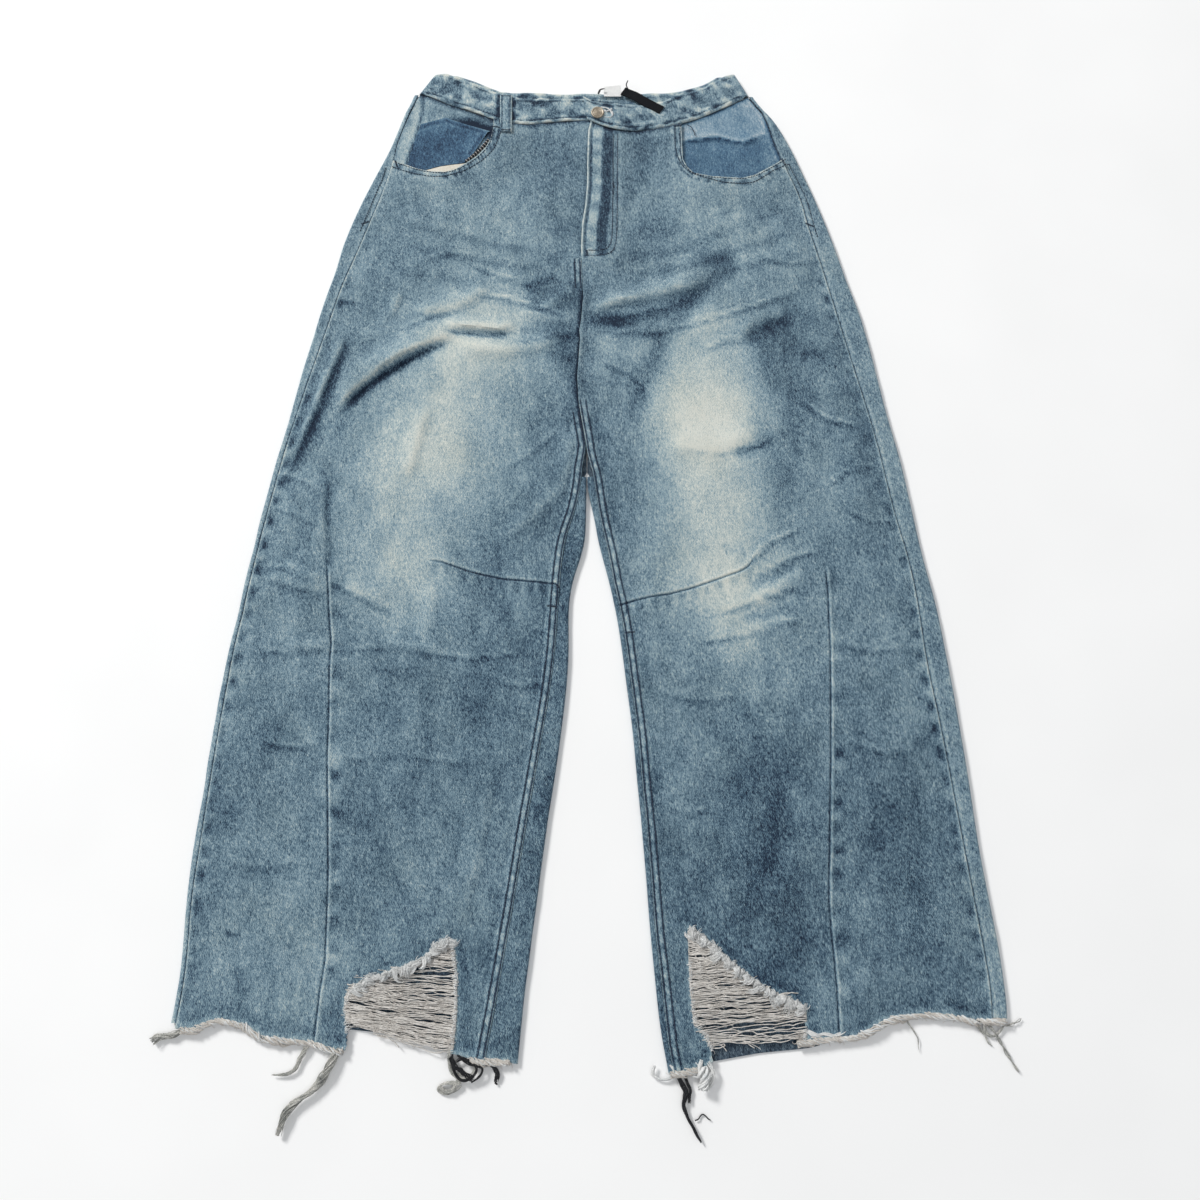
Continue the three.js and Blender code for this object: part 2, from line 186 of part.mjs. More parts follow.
// closed wall between two grids of points, out[i][j] and inn[i][j]
// rowEnd(i) gives the last column of row i, so a strip may start part way down
function wall(out, inn, rowEnd) {
  const m = out.length, pos = [], idx = [];
  const O = [], I = [];
  const nAt = (i) => (rowEnd ? rowEnd(i) : out[0].length - 1);
  for (let i = 0; i < m; i++) {
    O.push([]); I.push([]);
    for (let j = 0; j <= Math.max(nAt(i), i ? nAt(i - 1) : 0); j++) {
      O[i].push(pos.length / 3); pos.push(...out[i][j]);
      I[i].push(pos.length / 3); pos.push(...inn[i][j]);
    }
  }
  const quad = (a, b, c, d) => idx.push(a, b, c, a, c, d);
  for (let i = 0; i + 1 < m; i++) {
    const n = nAt(i);
    for (let j = 0; j < n; j++) {
      quad(O[i][j], O[i + 1][j], O[i + 1][j + 1], O[i][j + 1]);
      quad(I[i][j], I[i][j + 1], I[i + 1][j + 1], I[i + 1][j]);
    }
    quad(O[i][0], I[i][0], I[i + 1][0], O[i + 1][0]);
    quad(O[i][n], O[i + 1][n], I[i + 1][n], I[i][n]);
    if (i + 2 < m && nAt(i + 1) > n) {
      for (let j = n; j < nAt(i + 1); j++) quad(O[i + 1][j], O[i + 1][j + 1], I[i + 1][j + 1], I[i + 1][j]);
    }
  }
  for (let j = 0; j < nAt(0); j++) quad(O[0][j], O[0][j + 1], I[0][j + 1], I[0][j]);
  const e = m - 1, ne = nAt(m - 2);
  for (let j = 0; j < ne; j++) quad(O[e][j], I[e][j], I[e][j + 1], O[e][j + 1]);
  return solid(pos, idx);
}
function solid(pos, idx) {
  let v = 0;
  const P = (i) => new THREE.Vector3(pos[3 * i], pos[3 * i + 1], pos[3 * i + 2]);
  for (let t = 0; t < idx.length; t += 3) v += P(idx[t]).dot(P(idx[t + 1]).cross(P(idx[t + 2])));
  if (v < 0) for (let t = 0; t < idx.length; t += 3) [idx[t + 1], idx[t + 2]] = [idx[t + 2], idx[t + 1]];
  const g = new THREE.BufferGeometry();
  g.setAttribute('position', new THREE.Float32BufferAttribute(pos, 3));
  g.setIndex(idx);
  return g;
}
function toManifold(geometry) {
  const g = geometry.clone();
  g.deleteAttribute('normal'); g.deleteAttribute('uv');
  const m = mergeVertices(g, 1e-4);
  return new Manifold(new MMesh({ numProp: 3,
    vertProperties: new Float32Array(m.attributes.position.array), triVerts: new Uint32Array(m.index.array) }));
}
function fromManifold(man) {
  const mesh = man.getMesh();
  const g = new THREE.BufferGeometry();
  const p = [];
  for (let i = 0; i < mesh.numVert; i++) p.push(mesh.vertProperties[i * mesh.numProp], mesh.vertProperties[i * mesh.numProp + 1], mesh.vertProperties[i * mesh.numProp + 2]);
  g.setAttribute('position', new THREE.Float32BufferAttribute(p, 3));
  g.setIndex(Array.from(mesh.triVerts));
  return g;
}
// upright prism on an outline
function prism(outline, z0, z1) {
  const s = new THREE.Shape(outline.map(([x, y]) => new THREE.Vector2(x, y)));
  const g = new THREE.ExtrudeGeometry(s, { depth: z1 - z0, bevelEnabled: false });
  g.translate(0, 0, z0);
  return g;
}
// outline grown outward by d
function grow(outline, d) {
  const n = outline.length;
  let area = 0;
  outline.forEach(([x, y], i) => { const [a, b] = outline[(i + 1) % n]; area += x * b - a * y; });
  const sgn = area > 0 ? 1 : -1;
  return outline.map(([x, y], i) => {
    const [px, py] = outline[(i + n - 1) % n], [qx, qy] = outline[(i + 1) % n];
    const a = new THREE.Vector2(x - px, y - py).normalize(), b = new THREE.Vector2(qx - x, qy - y).normalize();
    const na = new THREE.Vector2(a.y, -a.x), nb = new THREE.Vector2(b.y, -b.x);
    const m = na.clone().add(nb).normalize();
    const k = sgn * d / Math.max(0.5, m.dot(na));
    return [x + m.x * k, y + m.y * k];
  });
}
// wall across a strip: rows run down the left line and the right line,
// low(x, y) is its underside
function strip(left, right, rows, cols, low, t, shapeY) {
  const out = [], inn = [];
  for (let i = 0; i <= rows; i++) {
    out.push([]); inn.push([]);
    for (let j = 0; j <= cols; j++) {
      const a = left(i / rows), b = right(i / rows), u = j / cols;
      const x = mix(a[0], b[0], u);
      let y = mix(a[1], b[1], u);
      if (shapeY) y = shapeY(x, y, i / rows, u);
      const z = low(x, y);
      out[i].push([x, y, z + t]); inn[i].push([x, y, z]);
    }
  }
  return wall(out, inn);
}
// closed wall over any outline, lifted by low(x, y)
function patch(outline, low, t) {
  const tri = THREE.ShapeUtils.triangulateShape(outline.map(([x, y]) => new THREE.Vector2(x, y)), []);
  const n = outline.length, pos = [], idx = [];
  for (const [x, y] of outline) pos.push(x, y, low(x, y));
  for (const [x, y] of outline) pos.push(x, y, low(x, y) + t);
  for (const [a, b, c] of tri) { idx.push(a, c, b); idx.push(a + n, b + n, c + n); }
  // the triangulation keeps the outline's own direction on its border
  const edges = new Set(tri.flatMap(([a, b, c]) => [`${a},${b}`, `${b},${c}`, `${c},${a}`]));
  for (let i = 0; i < n; i++) {
    const j = (i + 1) % n;
    if (edges.has(`${i},${j}`)) idx.push(i, j, j + n, i, j + n, i + n);
    else idx.push(j, i, i + n, j, i + n, j + n);
  }
  return solid(pos, idx);
}
function tube(points, r, sides = 8, steps = 12) {
  const curve = new THREE.CatmullRomCurve3(points.map((p) => new THREE.Vector3(...p)));
  const ring = new THREE.Shape(Array.from({ length: sides }, (_, i) =>
    new THREE.Vector2(r * Math.cos((2 * Math.PI * i) / sides), r * Math.sin((2 * Math.PI * i) / sides))));
  return new THREE.ExtrudeGeometry(ring, { steps, extrudePath: curve, bevelEnabled: false });
}

// ---------------------------------------------------------------- form
// side = -1 for the wearer's right leg, +1 for the left
const LEG = {
  R: { s: -1, out: L.out_r, inn: L.inn_r, os: L.os_r, is: L.is_r, vs: L.vs_r, kd: L.kd_r, hem: L.hemf_r, hemb: L.hemb_r, top: L.wbb_r },
  L: { s: 1, out: L.out_l, inn: L.inn_l, os: L.os_l, is: L.is_l, vs: L.vs_l, kd: L.kd_l, hem: L.hemf_l, hemb: L.hemb_l, top: L.wbb_l },
};
const Y_CROTCH = 108.1;      // where the four leg seams meet
const Y_WRAP = 75.1;        // the inner edges start to turn up here
const Y_FLY = 320.1;         // bottom of the fly
const Y_KNEE = -13.9;        // level of the knee darts at the outer edge

// back pocket outlines, wearer's right at -X
const BP = (s) => [[28, 406.1], [28, 296.1], [92, 266.1], [156, 294.1], [162, 418.1]].map(([x, y]) => [CENTRE + s * x, y]);
const BACK_LOOPS = [CENTRE - 62, CENTRE, CENTRE + 62];
function inside(poly, x, y, r) {     // 1 inside the outline, falling to 0 at r outside
  let c = false;
  for (let i = 0, j = poly.length - 1; i < poly.length; j = i++) {
    const [xi, yi] = poly[i], [xj, yj] = poly[j];
    if (yi > y !== yj > y && x < ((xj - xi) * (y - yi)) / (yj - yi) + xi) c = !c;
  }
  if (c) return 1;
  const [d] = toLine([...poly, poly[0]], x, y);
  return 1 - smooth(Math.max(0, d - 22) / r);
}
const BAND_LOW = (x) => (x < CENTRE ? yAt(L.wbb_r, x) : yAt(L.wbb_l, x));
// underside of the lower layer: 0, lifted over what is sewn on the seat
function ground(x, y) {
  let g = Math.max(inside(BP(-1), x, y, 22), inside(BP(1), x, y, 22));
  for (const lx of BACK_LOOPS) {
    const d = Math.max(Math.abs(x - lx) - LOOP_W / 2 - 3, 0);
    const dy = Math.max(yAt(L.wbk_b, x) - 3 - y, 0);
    g = Math.max(g, (1 - smooth(d / 14)) * (1 - smooth(dy / 6)));
  }
  return SEAT_RAISE * clamp(g, 0, 1);
}
// fullness and folds of the upper layer
function folds(side, x, y) {
  let z = 0;
  for (const [px, py, wx, wy, a] of PUFF[side]) z += a * Math.exp(-(((x - px) / wx) ** 2) - ((y - py) / wy) ** 2);
  let up = 0, down = 0;
  for (const f of FOLDS[side]) {
    const [d, t] = toLine(f.p, x, y);
    const e = f.a * Math.exp(-((d / f.w) ** 2)) * smooth(Math.min(t, 1 - t) * 5 + 0.25);
    if (f.a > 0) up = Math.max(up, e); else down = Math.min(down, e);
  }
  return z + up + down;
}
// underside of the front panels
function low(side, x, y) {
  const g = LEG[side];
  const xo = xSoft(g.os, y);
  const edge = smooth(Math.abs(x - xo) / 26);
  const mid = y > Y_CROTCH ? smooth(Math.abs(x - CENTRE) / 20) : smooth(Math.abs(x - xSoft(g.is, y)) / 22);
  let z = LEVEL + folds(side, x, y) * edge * mid;
  const pocket = side === 'R' ? L.poc_r : L.poc_l;
  const [d] = toLine(pocket, x, y);
  const inMouth = y > (side === 'R' ? yAt(L.poc_rx, x) : yAt(L.poc_lx, x));
  z = Math.max(z, LEVEL + POCKET_RAISE * (inMouth ? 1 : 1 - smooth((d - 9) / 42)));
  if (side === 'L') {
    const fx = xAt(L.cf, y);
    const lift = (1 - smooth((x - fx - 34) / 20)) * smooth((y - Y_FLY + 16) / 14);
    z = Math.max(z, LEVEL + FLY_RAISE * lift);
  }
  return Math.max(z, ground(x, y) + (y > yAt(L.wbk_b, x) - 4 ? BAND : DENIM) + 0.4);
}

// ---------------------------------------------------------------- rows of a leg
const INNER = [489.1,464.1,442.1,424.1,399.1,372.1,344.1,320.1,294.1,274.1,256.1,238.1,221.1,204.1,186.1,166.1,146.1,126.1,108.1,92.1,75.1,44.1,10.1,-23.9,-53.9,-85.9,-130.9,-185.9,-245.9,-305.9,-365.9,-415.9,-455.9,-485.9];
const K_KNEE = INNER.indexOf(Y_KNEE_IN()), K_WRAP = INNER.indexOf(Y_WRAP), K_FLY = INNER.indexOf(Y_FLY);
function Y_KNEE_IN() { return -53.9; }
const SPARSE = [9,11,13,15,17];   // rows that the plain back panels do without
function outerY(side, yi) {
  const g = LEG[side];
  const top = side === 'R' ? 521.6 : 519.6;
  const bottom = side === 'R' ? -453.9 : -446.9;
  const knots = [[INNER[0], top], [Y_FLY, Y_FLY + 22], [Y_CROTCH, Y_CROTCH + 34], [Y_KNEE_IN(), Y_KNEE], [INNER[INNER.length - 1], bottom]];
  for (let i = 0; i + 1 < knots.length; i++) {
    const [a, b] = knots[i], [c, d] = knots[i + 1];
    if (yi <= a && yi >= c) return mix(b, d, (a - yi) / (a - c));
  }
  return bottom;
}
const seamOut = (side, y) => {        // outseam, kept inside the fold edge
  const g = LEG[side], fold = xSoft(g.out, y), seam = xSoft(g.os, y);
  return g.s < 0 ? Math.max(seam, fold + FOLD_MIN) : Math.min(seam, fold - FOLD_MIN);
};
const seamIn = (side, y) => {         // centre seam above the crotch, inseam below it
  const g = LEG[side];
  const c = xAt(L.cf, clamp(y, Y_CROTCH, 1e9));
  if (y >= Y_CROTCH) return c;
  const fold = xSoft(g.inn, y), seam = xSoft(g.is, y);
  const lim = g.s < 0 ? Math.min(seam, fold - FOLD_MIN) : Math.max(seam, fold + FOLD_MIN);
  return mix(c, lim, smooth((Y_CROTCH - y) / (Y_CROTCH - Y_WRAP)));
};
const foldIn = (side, y) => {
  const g = LEG[side];
  return y > Y_WRAP ? CENTRE + g.s * 0.35 : (g.s < 0 ? Math.min(CENTRE - 0.35, xSoft(g.inn, y)) : Math.max(CENTRE + 0.35, xSoft(g.inn, y)));
};

const HEM = {};
function frontPanel(side) {
  const g = LEG[side], s = g.s, out = [], inn = [];
  const NO = 5, NI = 9, N = NO + NI;
  const rows = INNER.length;
  for (let k = 0; k < rows; k++) {
    out.push([]); inn.push([]);
    const yo = outerY(side, INNER[k]), yi = INNER[k];
    for (let j = 0; j <= N; j++) {
      let u = j / N, y = mix(yo, yi, u), x = 0;
      for (let it = 0; it < 8; it++) {
        const xo = seamOut(side, y) - s * 0.5;
        let xi = seamIn(side, y) + s * (y > Y_CROTCH ? SEAM / 2 : 0.95);
        if (side === 'R' && y > Y_FLY) xi += UNDERLAP;
        const own = mix(xo, xi, NO / N);
        const xv = mix(xSoft(g.vs, clamp(y, -1e9, g.vs[0][1])), own, smooth((y - Y_KNEE - 40) / 90));
        x = j <= NO ? mix(xo, xv, j / NO) : mix(xv, xi, (j - NO) / NI);
        const base = mix(yo, yi, (x - xo) / (xi - xo));
        const wTop = 1 - smooth((INNER[0] - yi) / 110);
        const wKnee = 1 - smooth(Math.abs(yi - Y_KNEE_IN()) / 75);
        const wHem = 1 - smooth((yi - INNER[rows - 1]) / 70);
        const yTop = (side === 'R' && x > CENTRE - 2 ? Math.min(yAt(L.wbb_l, x), yAt(L.wbb_r, x)) : BAND_LOW(x)) - 0.5;
        const lin = (i) => mix(outerY(side, INNER[i]), INNER[i], (x - xo) / (xi - xo));
        y = base + wTop * (yTop - lin(0)) + wKnee * (yAt(g.kd, x) - lin(K_KNEE)) + wHem * (yAt(g.hem, x) - lin(rows - 1));
      }
      const z = side === 'R' && y > Y_FLY && x > xAt(L.cf, y) - 12 ? Math.max(LEVEL, ground(x, y) + (y > yAt(L.wbk_b, x) - 4 ? BAND : DENIM) + 0.3) : low(side, x, y);
      // stitched-down seams sit in a shallow groove
      const dart = k === K_KNEE && (x - g.kd[side === 'R' ? 0 : g.kd.length - 1][0]) * s < -4;
      const dip = (j === NO && y < Y_KNEE - 8) || dart ? 0.7 : 0;
      out[k].push([x, y, z - dip + DENIM]); inn[k].push([x, y, z - dip]);
    }
  }
  HEM[side] = out[rows - 1].map(([x, y]) => [x, y]).sort((a, b) => a[0] - b[0]);
  let m = toManifold(wall(out, inn));
  // pocket mouth
  const mouth = side === 'R' ? L.mouth_r : L.mouth_l;
  m = m.subtract(toManifold(prism(mouth, -5, 60)));
  // torn notch at the hem
  m = m.subtract(toManifold(prism(side === 'R' ? L.rip_rn : L.rip_ln, -5, 60)));
  return fromManifold(m.decompose().sort((a, b) => b.volume() - a.volume())[0]);
}

function backPanel(side, piece) {
  const g = LEG[side], s = g.s, out = [], inn = [], MID = piece === 'yoke' ? 10 : 5;
  const YOKE = 3, YOKE_OUT = 26;     // the yoke seam rises towards the side
  const rows = [];
  if (piece === 'yoke') {
    const a = [outerY(side, INNER[0]), INNER[0]], b = [outerY(side, INNER[YOKE]) + YOKE_OUT + SEAM, INNER[YOKE] + SEAM];
    for (let k = 0; k <= 3; k++) rows.push({ yo: mix(a[0], b[0], k / 3), yi: mix(a[1], b[1], k / 3), at: k === 0 ? (x) => yAt(L.wbk_b, x) - 0.5 : null, wrap: false });
  } else {
    for (let k = YOKE; k < INNER.length; k++) if (!SPARSE.includes(k)) rows.push({ yo: outerY(side, INNER[k]) + (k === YOKE ? YOKE_OUT : 0), yi: INNER[k],
      at: k === INNER.length - 1 ? (x) => yAt(g.hemb, x) : null, wrap: INNER[k] <= Y_WRAP });
    const [a, b] = rows;
    rows.splice(1, 0, { yo: mix(a.yo, b.yo, 0.45), yi: mix(a.yi, b.yi, 0.45), at: null, wrap: false });
  }
  for (let { yo, yi, at, wrap } of rows) {
    const o = [], i = [];
    if (at) { yo = at(xSoft(g.out, yo)); yi = at(foldIn(side, yi)); }
    const fo = xSoft(g.out, yo), fi = foldIn(side, yi), so = seamOut(side, yo);
    const put = (arr, x, t, z) => arr.push([x, at ? at(x) : mix(yo, yi, t), z]);
    const edge = (f, dir, seam, t, rev) => {   // strip, turned edge, foot
      const zt = LEVEL + DENIM;
      const O = [[seam, zt], [f + dir * 2.4, zt - 0.1], [f, 3.0], [f, 1.4], [f + dir * 2.4, 0]];
      const I = [[seam, LEVEL], [f + dir * 2.8, LEVEL - 0.1], [f + dir * 1.25, 2.5], [f + dir * 1.25, 1.9], [f + dir * 2.8, DENIM]];
      if (rev) { O.reverse(); I.reverse(); }
      O.forEach(([x, z], n) => { put(o, x, t, z); put(i, I[n][0], t, I[n][1]); });
    };
    edge(fo, -s, so, 0, false);
    const a = fo - s * 3.4, b = wrap ? fi + s * 8 : fi;
    for (let n = 1; n <= MID; n++) {
      const t = n / MID, x = mix(a, b, t), y = at ? at(x) : mix(yo, yi, t), z = ground(x, y);
      put(o, x, t, z); put(i, x, t, z + DENIM);
    }
    edge(fi, s, wrap ? seamIn(side, yi) : fi, 1, true);
    out.push(o); inn.push(i);
  }
  const full = 5 + MID + 5 - 1;
  return wall(out, inn, (r) => (rows[r].wrap ? full : 5 + MID - 1));
}

// ---------------------------------------------------------------- pieces
const parts = [];
function add(name, geometry, color, roughness = 0.92, metalness = 0) {
  const g = geometry.clone();
  g.deleteAttribute('uv'); g.deleteAttribute('normal');
  const merged = mergeVertices(g, 1e-4);
  merged.computeVertexNormals();
  const mesh = new THREE.Mesh(merged, new THREE.MeshStandardMaterial({ color, roughness, metalness, side: THREE.FrontSide }));
  mesh.name = name;
  parts.push(mesh);
}
const BLUE = 0x8fa6b6, BLUE_BACK = 0x8299ac, PALE = 0xb3bcbf, DARK = 0x4a6d92, CREAM = 0xd8d4c8, OFFWHITE = 0xcfc9bf, NAVY = 0x161c28;

add('front_right', frontPanel('R'), BLUE);
add('front_left', frontPanel('L'), BLUE);
add('back_right', backPanel('R', 'leg'), BLUE_BACK);
add('back_left', backPanel('L', 'leg'), BLUE_BACK);
add('yoke_right', backPanel('R', 'yoke'), BLUE_BACK);
add('yoke_left', backPanel('L', 'yoke'), BLUE_BACK);

// back pockets: flat patches that the seat rests on
add('back_pocket_right', patch(BP(-1), () => 0, DENIM), BLUE);
add('back_pocket_left', patch(BP(1), () => 0, DENIM), BLUE);

// front pockets: facing, watch pocket and pocket bag show in the mouth
function facing(side) {
  const g = LEG[side], s = g.s;
  const under = grow(side === 'R' ? L.mouth_rc : L.mouth_lc, 6);
  const poly = new THREE.Shape(under.map(([x, y]) => new THREE.Vector2(x, y)));
  const body = new THREE.ExtrudeGeometry(poly, { depth: 1.0, bevelEnabled: false });
  body.translate(0, 0, 2.95);
  // trimmed to the outseam and the waist seam
  const bandY = (x) => BAND_LOW(x) - 0.5;
  const keep = [];
  const inner = side === 'R' ? -95 + 11.3 : 70 + 11.3;
  const N = 14, lo = 470 - 55.9;
  // outline: along the outseam upward until the waist seam, then inward
  let yTop = lo;
  while (yTop < bandY(seamOut(side, yTop) - s * 3.2) - 0.5 && yTop < 620 - 55.9) yTop += 0.5;
  for (let i = 0; i <= 10; i++) { const y = mix(lo, yTop, i / 10); keep.push([seamOut(side, y) - s * (3.2 + 4 * (i / 10) ** 3), y]); }
  const xs0 = seamOut(side, yTop) - s * 3.2;
  for (let i = 1; i <= N; i++) { const x = mix(xs0, inner, i / N); keep.push([x, bandY(x)]); }
  keep.push([inner, lo]);
  return fromManifold(toManifold(body).intersect(toManifold(prism(keep, -2, 20))).decompose().sort((a, b) => b.volume() - a.volume())[0]);
}
add('pocket_facing_right', facing('R'), PALE);
add('pocket_facing_left', facing('L'), BLUE);
add('watch_pocket', patch(L.coinpoly, () => 4.35, 1.0), DARK);
add('pocket_bag_right', patch(L.bagpoly, () => 4.35, 1.0), CREAM);

// waistband
const RISE = 4.0;        // underside of the front of the band
function bandFront(side) {
  const s = side === 'R' ? -1 : 1;
  const low0 = side === 'R' ? L.wbb_r : L.wbb_l, top0 = side === 'R' ? L.wbt_r : L.wbt_l;
  const F = side === 'R' ? [L.bandfold_r[0], L.bandfold_r[1]] : [L.bandfold_l[0], L.bandfold_l[1]];
  const endB = side === 'R' ? L.bandend_r[0] : L.bandend_l[0], endT = side === 'R' ? L.bandend_r[1] : L.bandend_l[1];
  const RO = [[9, 0], [3.2, 0], [0.9, 0.9], [0, 3.1], [0.9, 5.3], [3.4, RISE + BAND]];
  const RI = [[9, BAND], [3.8, BAND], [2.9, 2.5], [2.5, 3.1], [2.9, 3.7], [3.8, RISE]];
  const lift = (x) => (side === 'L' ? 2.5 * (1 - smooth((x - (16 + 11.3)) / 28)) : 0);
  const NC = 15, ROWS = 2, out = [], inn = [];
  for (let r = 0; r <= ROWS; r++) {
    const t = r / ROWS, o = [], i = [];
    const fx = mix(F[0][0], F[1][0], t), fy = mix(F[0][1], F[1][1], t);
    RO.forEach(([d, z], n) => {
      o.push([fx - s * d, fy, z]); i.push([fx - s * RI[n][0], fy, RI[n][1]]);
    });
    for (let c = 1; c <= NC; c++) {
      const u = c / NC;
      const xb = mix(F[0][0] - s * 6, endB[0], u), xt = mix(F[1][0] - s * 6, endT[0], u);
      const yb = c === 0 ? F[0][1] : yAt(low0, xb), yt = yAt(top0, xt);
      const x = mix(xb, xt, t), y = mix(yb, yt, t), z = RISE + lift(x);
      o.push([x, y, z + BAND]); i.push([x, y, z]);
    }
    out.push(o); inn.push(i);
  }
  return wall(out, inn);
}
add('waistband_front_right', bandFront('R'), PALE);
add('waistband_front_left', bandFront('L'), PALE);
{
  const NC = 28, out = [], inn = [];
  const A = L.bandfold_r, B = L.bandfold_l;
  for (let r = 0; r <= 2; r++) {
    const t = r / 2, o = [], i = [];
    const xa = mix(A[0][0], A[1][0], t) + 9 + SEAM, xb = mix(B[0][0], B[1][0], t) - 9 - SEAM;
    for (let c = 0; c <= NC; c++) {
      const u = c / NC, x = mix(xa, xb, u);
      const blend = smooth(Math.min(u, 1 - u) * 8);
      const yb = yAt(L.wbk_b, x), yt = yAt(L.wbk_t, x);
      const fy = mix(u < 0.5 ? A[0][1] : B[0][1], u < 0.5 ? A[1][1] : B[1][1], t);
      const y = mix(fy, mix(yb, yt, t), u === 0 || u === 1 ? 0 : clamp(blend * 3, 0, 1));
      const z = ground(x, y);
      o.push([x, y, z + BAND]); i.push([x, y, z]);
    }
    out.push(o); inn.push(i);
  }
  add('waistband_back', wall(out, inn), BLUE_BACK);
}

// belt loops: one shows in front, three are hidden behind
{
  const [a, b, c, d] = L.loop;     // top left, top right, bottom right, bottom left
  add('belt_loop_front', strip((t) => [mix(a[0], d[0], t), mix(a[1], d[1], t)], (t) => [mix(b[0], c[0], t), mix(b[1], c[1], t)], 8, 2,
    (x, y) => 6.5 + 1.15 * (1 - smooth((y - (d[1] + 15)) / 8)) , 1.5), PALE);
}
BACK_LOOPS.forEach((x, k) => {
  const name = ['belt_loop_back_right', 'belt_loop_back_centre', 'belt_loop_back_left'][k];
  const y1 = Math.min(yAt(L.wbk_t, x - 6), yAt(L.wbk_t, x + 6)) - 1.5, y0 = Math.max(yAt(L.wbk_b, x - 6), yAt(L.wbk_b, x + 6)) + 1;
  const h = LOOP_W / 2;
  add(name, patch([[x - h, y0], [x + h, y0], [x + h, y1], [x - h, y1]], () => 0, DENIM), BLUE);
});

// shank button on the band
{
  const r = BUTTON_D / 2;
  const prof = [[0, 0], [r * 0.82, 0], [r * 0.97, 0.5], [r, 1.2], [r * 0.96, 1.9], [r * 0.84, 2.3], [r * 0.74, 2.1], [r * 0.66, 1.7], [r * 0.4, 1.9], [0, 2.0]];
  const g = new THREE.LatheGeometry(prof.map(([x, y]) => new THREE.Vector2(x, y)), 16);
  g.rotateX(Math.PI / 2);
  g.translate(L.button[0][0], L.button[0][1], RISE + 2.5 + BAND + SEAM);
  add('button', g, 0xa8a59c, 0.4, 0.9);
}

// woven labels, blank
{
  const p = L.label, H = 5.3;
  const at = (t) => { const k = t * (p.length - 1), i = Math.min(p.length - 2, Math.floor(k)); return [mix(p[i][0], p[i + 1][0], k - i), mix(p[i][1], p[i + 1][1], k - i)]; };
  const dx = p[p.length - 1][0] - p[0][0], dy = p[p.length - 1][1] - p[0][1], l = Math.hypot(dx, dy);
  const nx = -dy / l, ny = dx / l;
  const out = [], inn = [];
  for (let i = 0; i <= 8; i++) {
    const t = i / 8, [x, y] = at(t), z = mix(5.7, 6.9, smooth(t * 2));
    out.push([]); inn.push([]);
    for (let j = 0; j <= 2; j++) {
      const k = (j - 1) * H;
      out[i].push([x + nx * k, y + ny * k, z + 1.0]); inn[i].push([x + nx * k, y + ny * k, z]);
    }
  }
  add('label_black', wall(out, inn), NAVY);
}
add('label_white', patch(L.labelwhite, () => 4.2, 1.0), 0xf2f2f0);

// threads left across the torn notches, as plain walls of their reach
add('rip_threads_right', patch(L.rip_r, () => 3.3, 1.0), OFFWHITE);
add('rip_threads_left', patch(L.rip_l, () => 3.3, 1.0), OFFWHITE);

// frayed hems: plain strips of their reach
function fringe(side, x0, x1) {
  const hem = HEM[side], xs = [x0, ...hem.map(([x]) => x).filter((x) => x > x0 + 2 && x < x1 - 2), x1];
  const out = [], inn = [];
  for (const x of xs) {
    const y = yAt(hem, x);
    out.push([[x, y - FRINGE, 4.3], [x, y - 0.5, 4.3]]); inn.push([[x, y - FRINGE, 3.3], [x, y - 0.5, 3.3]]);
  }
  return wall(out, inn);
}
for (const [name, side, x0, x1, n] of L.fringes) add(name, fringe(side, x0, x1, n), OFFWHITE);

// loose ends, lying on the surface
for (const [name, pts, r, sides, steps, dark] of L.ends) add(name, tube(pts, r, sides, steps), dark ? NAVY : OFFWHITE);

const jeans = new THREE.Group();
jeans.name = 'ripped_jeans';
for (const p of parts) jeans.add(p);
export default jeans;
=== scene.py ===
# Looks of the ripped barrel-leg jeans, laid flat. Every piece is built here in
# millimetres from its cut lines and turned into metres when its mesh is made.
import json
import math

import bpy
import numpy as np
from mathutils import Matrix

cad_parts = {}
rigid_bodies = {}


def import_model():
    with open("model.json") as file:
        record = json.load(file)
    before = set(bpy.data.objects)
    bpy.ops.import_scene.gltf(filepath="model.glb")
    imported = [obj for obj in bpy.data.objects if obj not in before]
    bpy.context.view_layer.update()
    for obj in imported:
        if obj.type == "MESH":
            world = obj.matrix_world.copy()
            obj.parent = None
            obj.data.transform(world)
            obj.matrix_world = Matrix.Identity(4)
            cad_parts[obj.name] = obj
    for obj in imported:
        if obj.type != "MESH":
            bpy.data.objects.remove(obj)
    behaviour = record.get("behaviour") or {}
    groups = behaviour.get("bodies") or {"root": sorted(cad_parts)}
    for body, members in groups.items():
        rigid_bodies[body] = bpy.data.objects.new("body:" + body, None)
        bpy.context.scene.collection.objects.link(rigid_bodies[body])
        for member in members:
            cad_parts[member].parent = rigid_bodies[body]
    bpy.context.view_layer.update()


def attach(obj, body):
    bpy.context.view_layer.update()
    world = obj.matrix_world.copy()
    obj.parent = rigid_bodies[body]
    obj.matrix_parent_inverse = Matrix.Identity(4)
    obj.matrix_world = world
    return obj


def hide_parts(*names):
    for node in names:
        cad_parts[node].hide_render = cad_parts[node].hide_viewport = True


for o in list(bpy.data.objects):
    bpy.data.objects.remove(o)
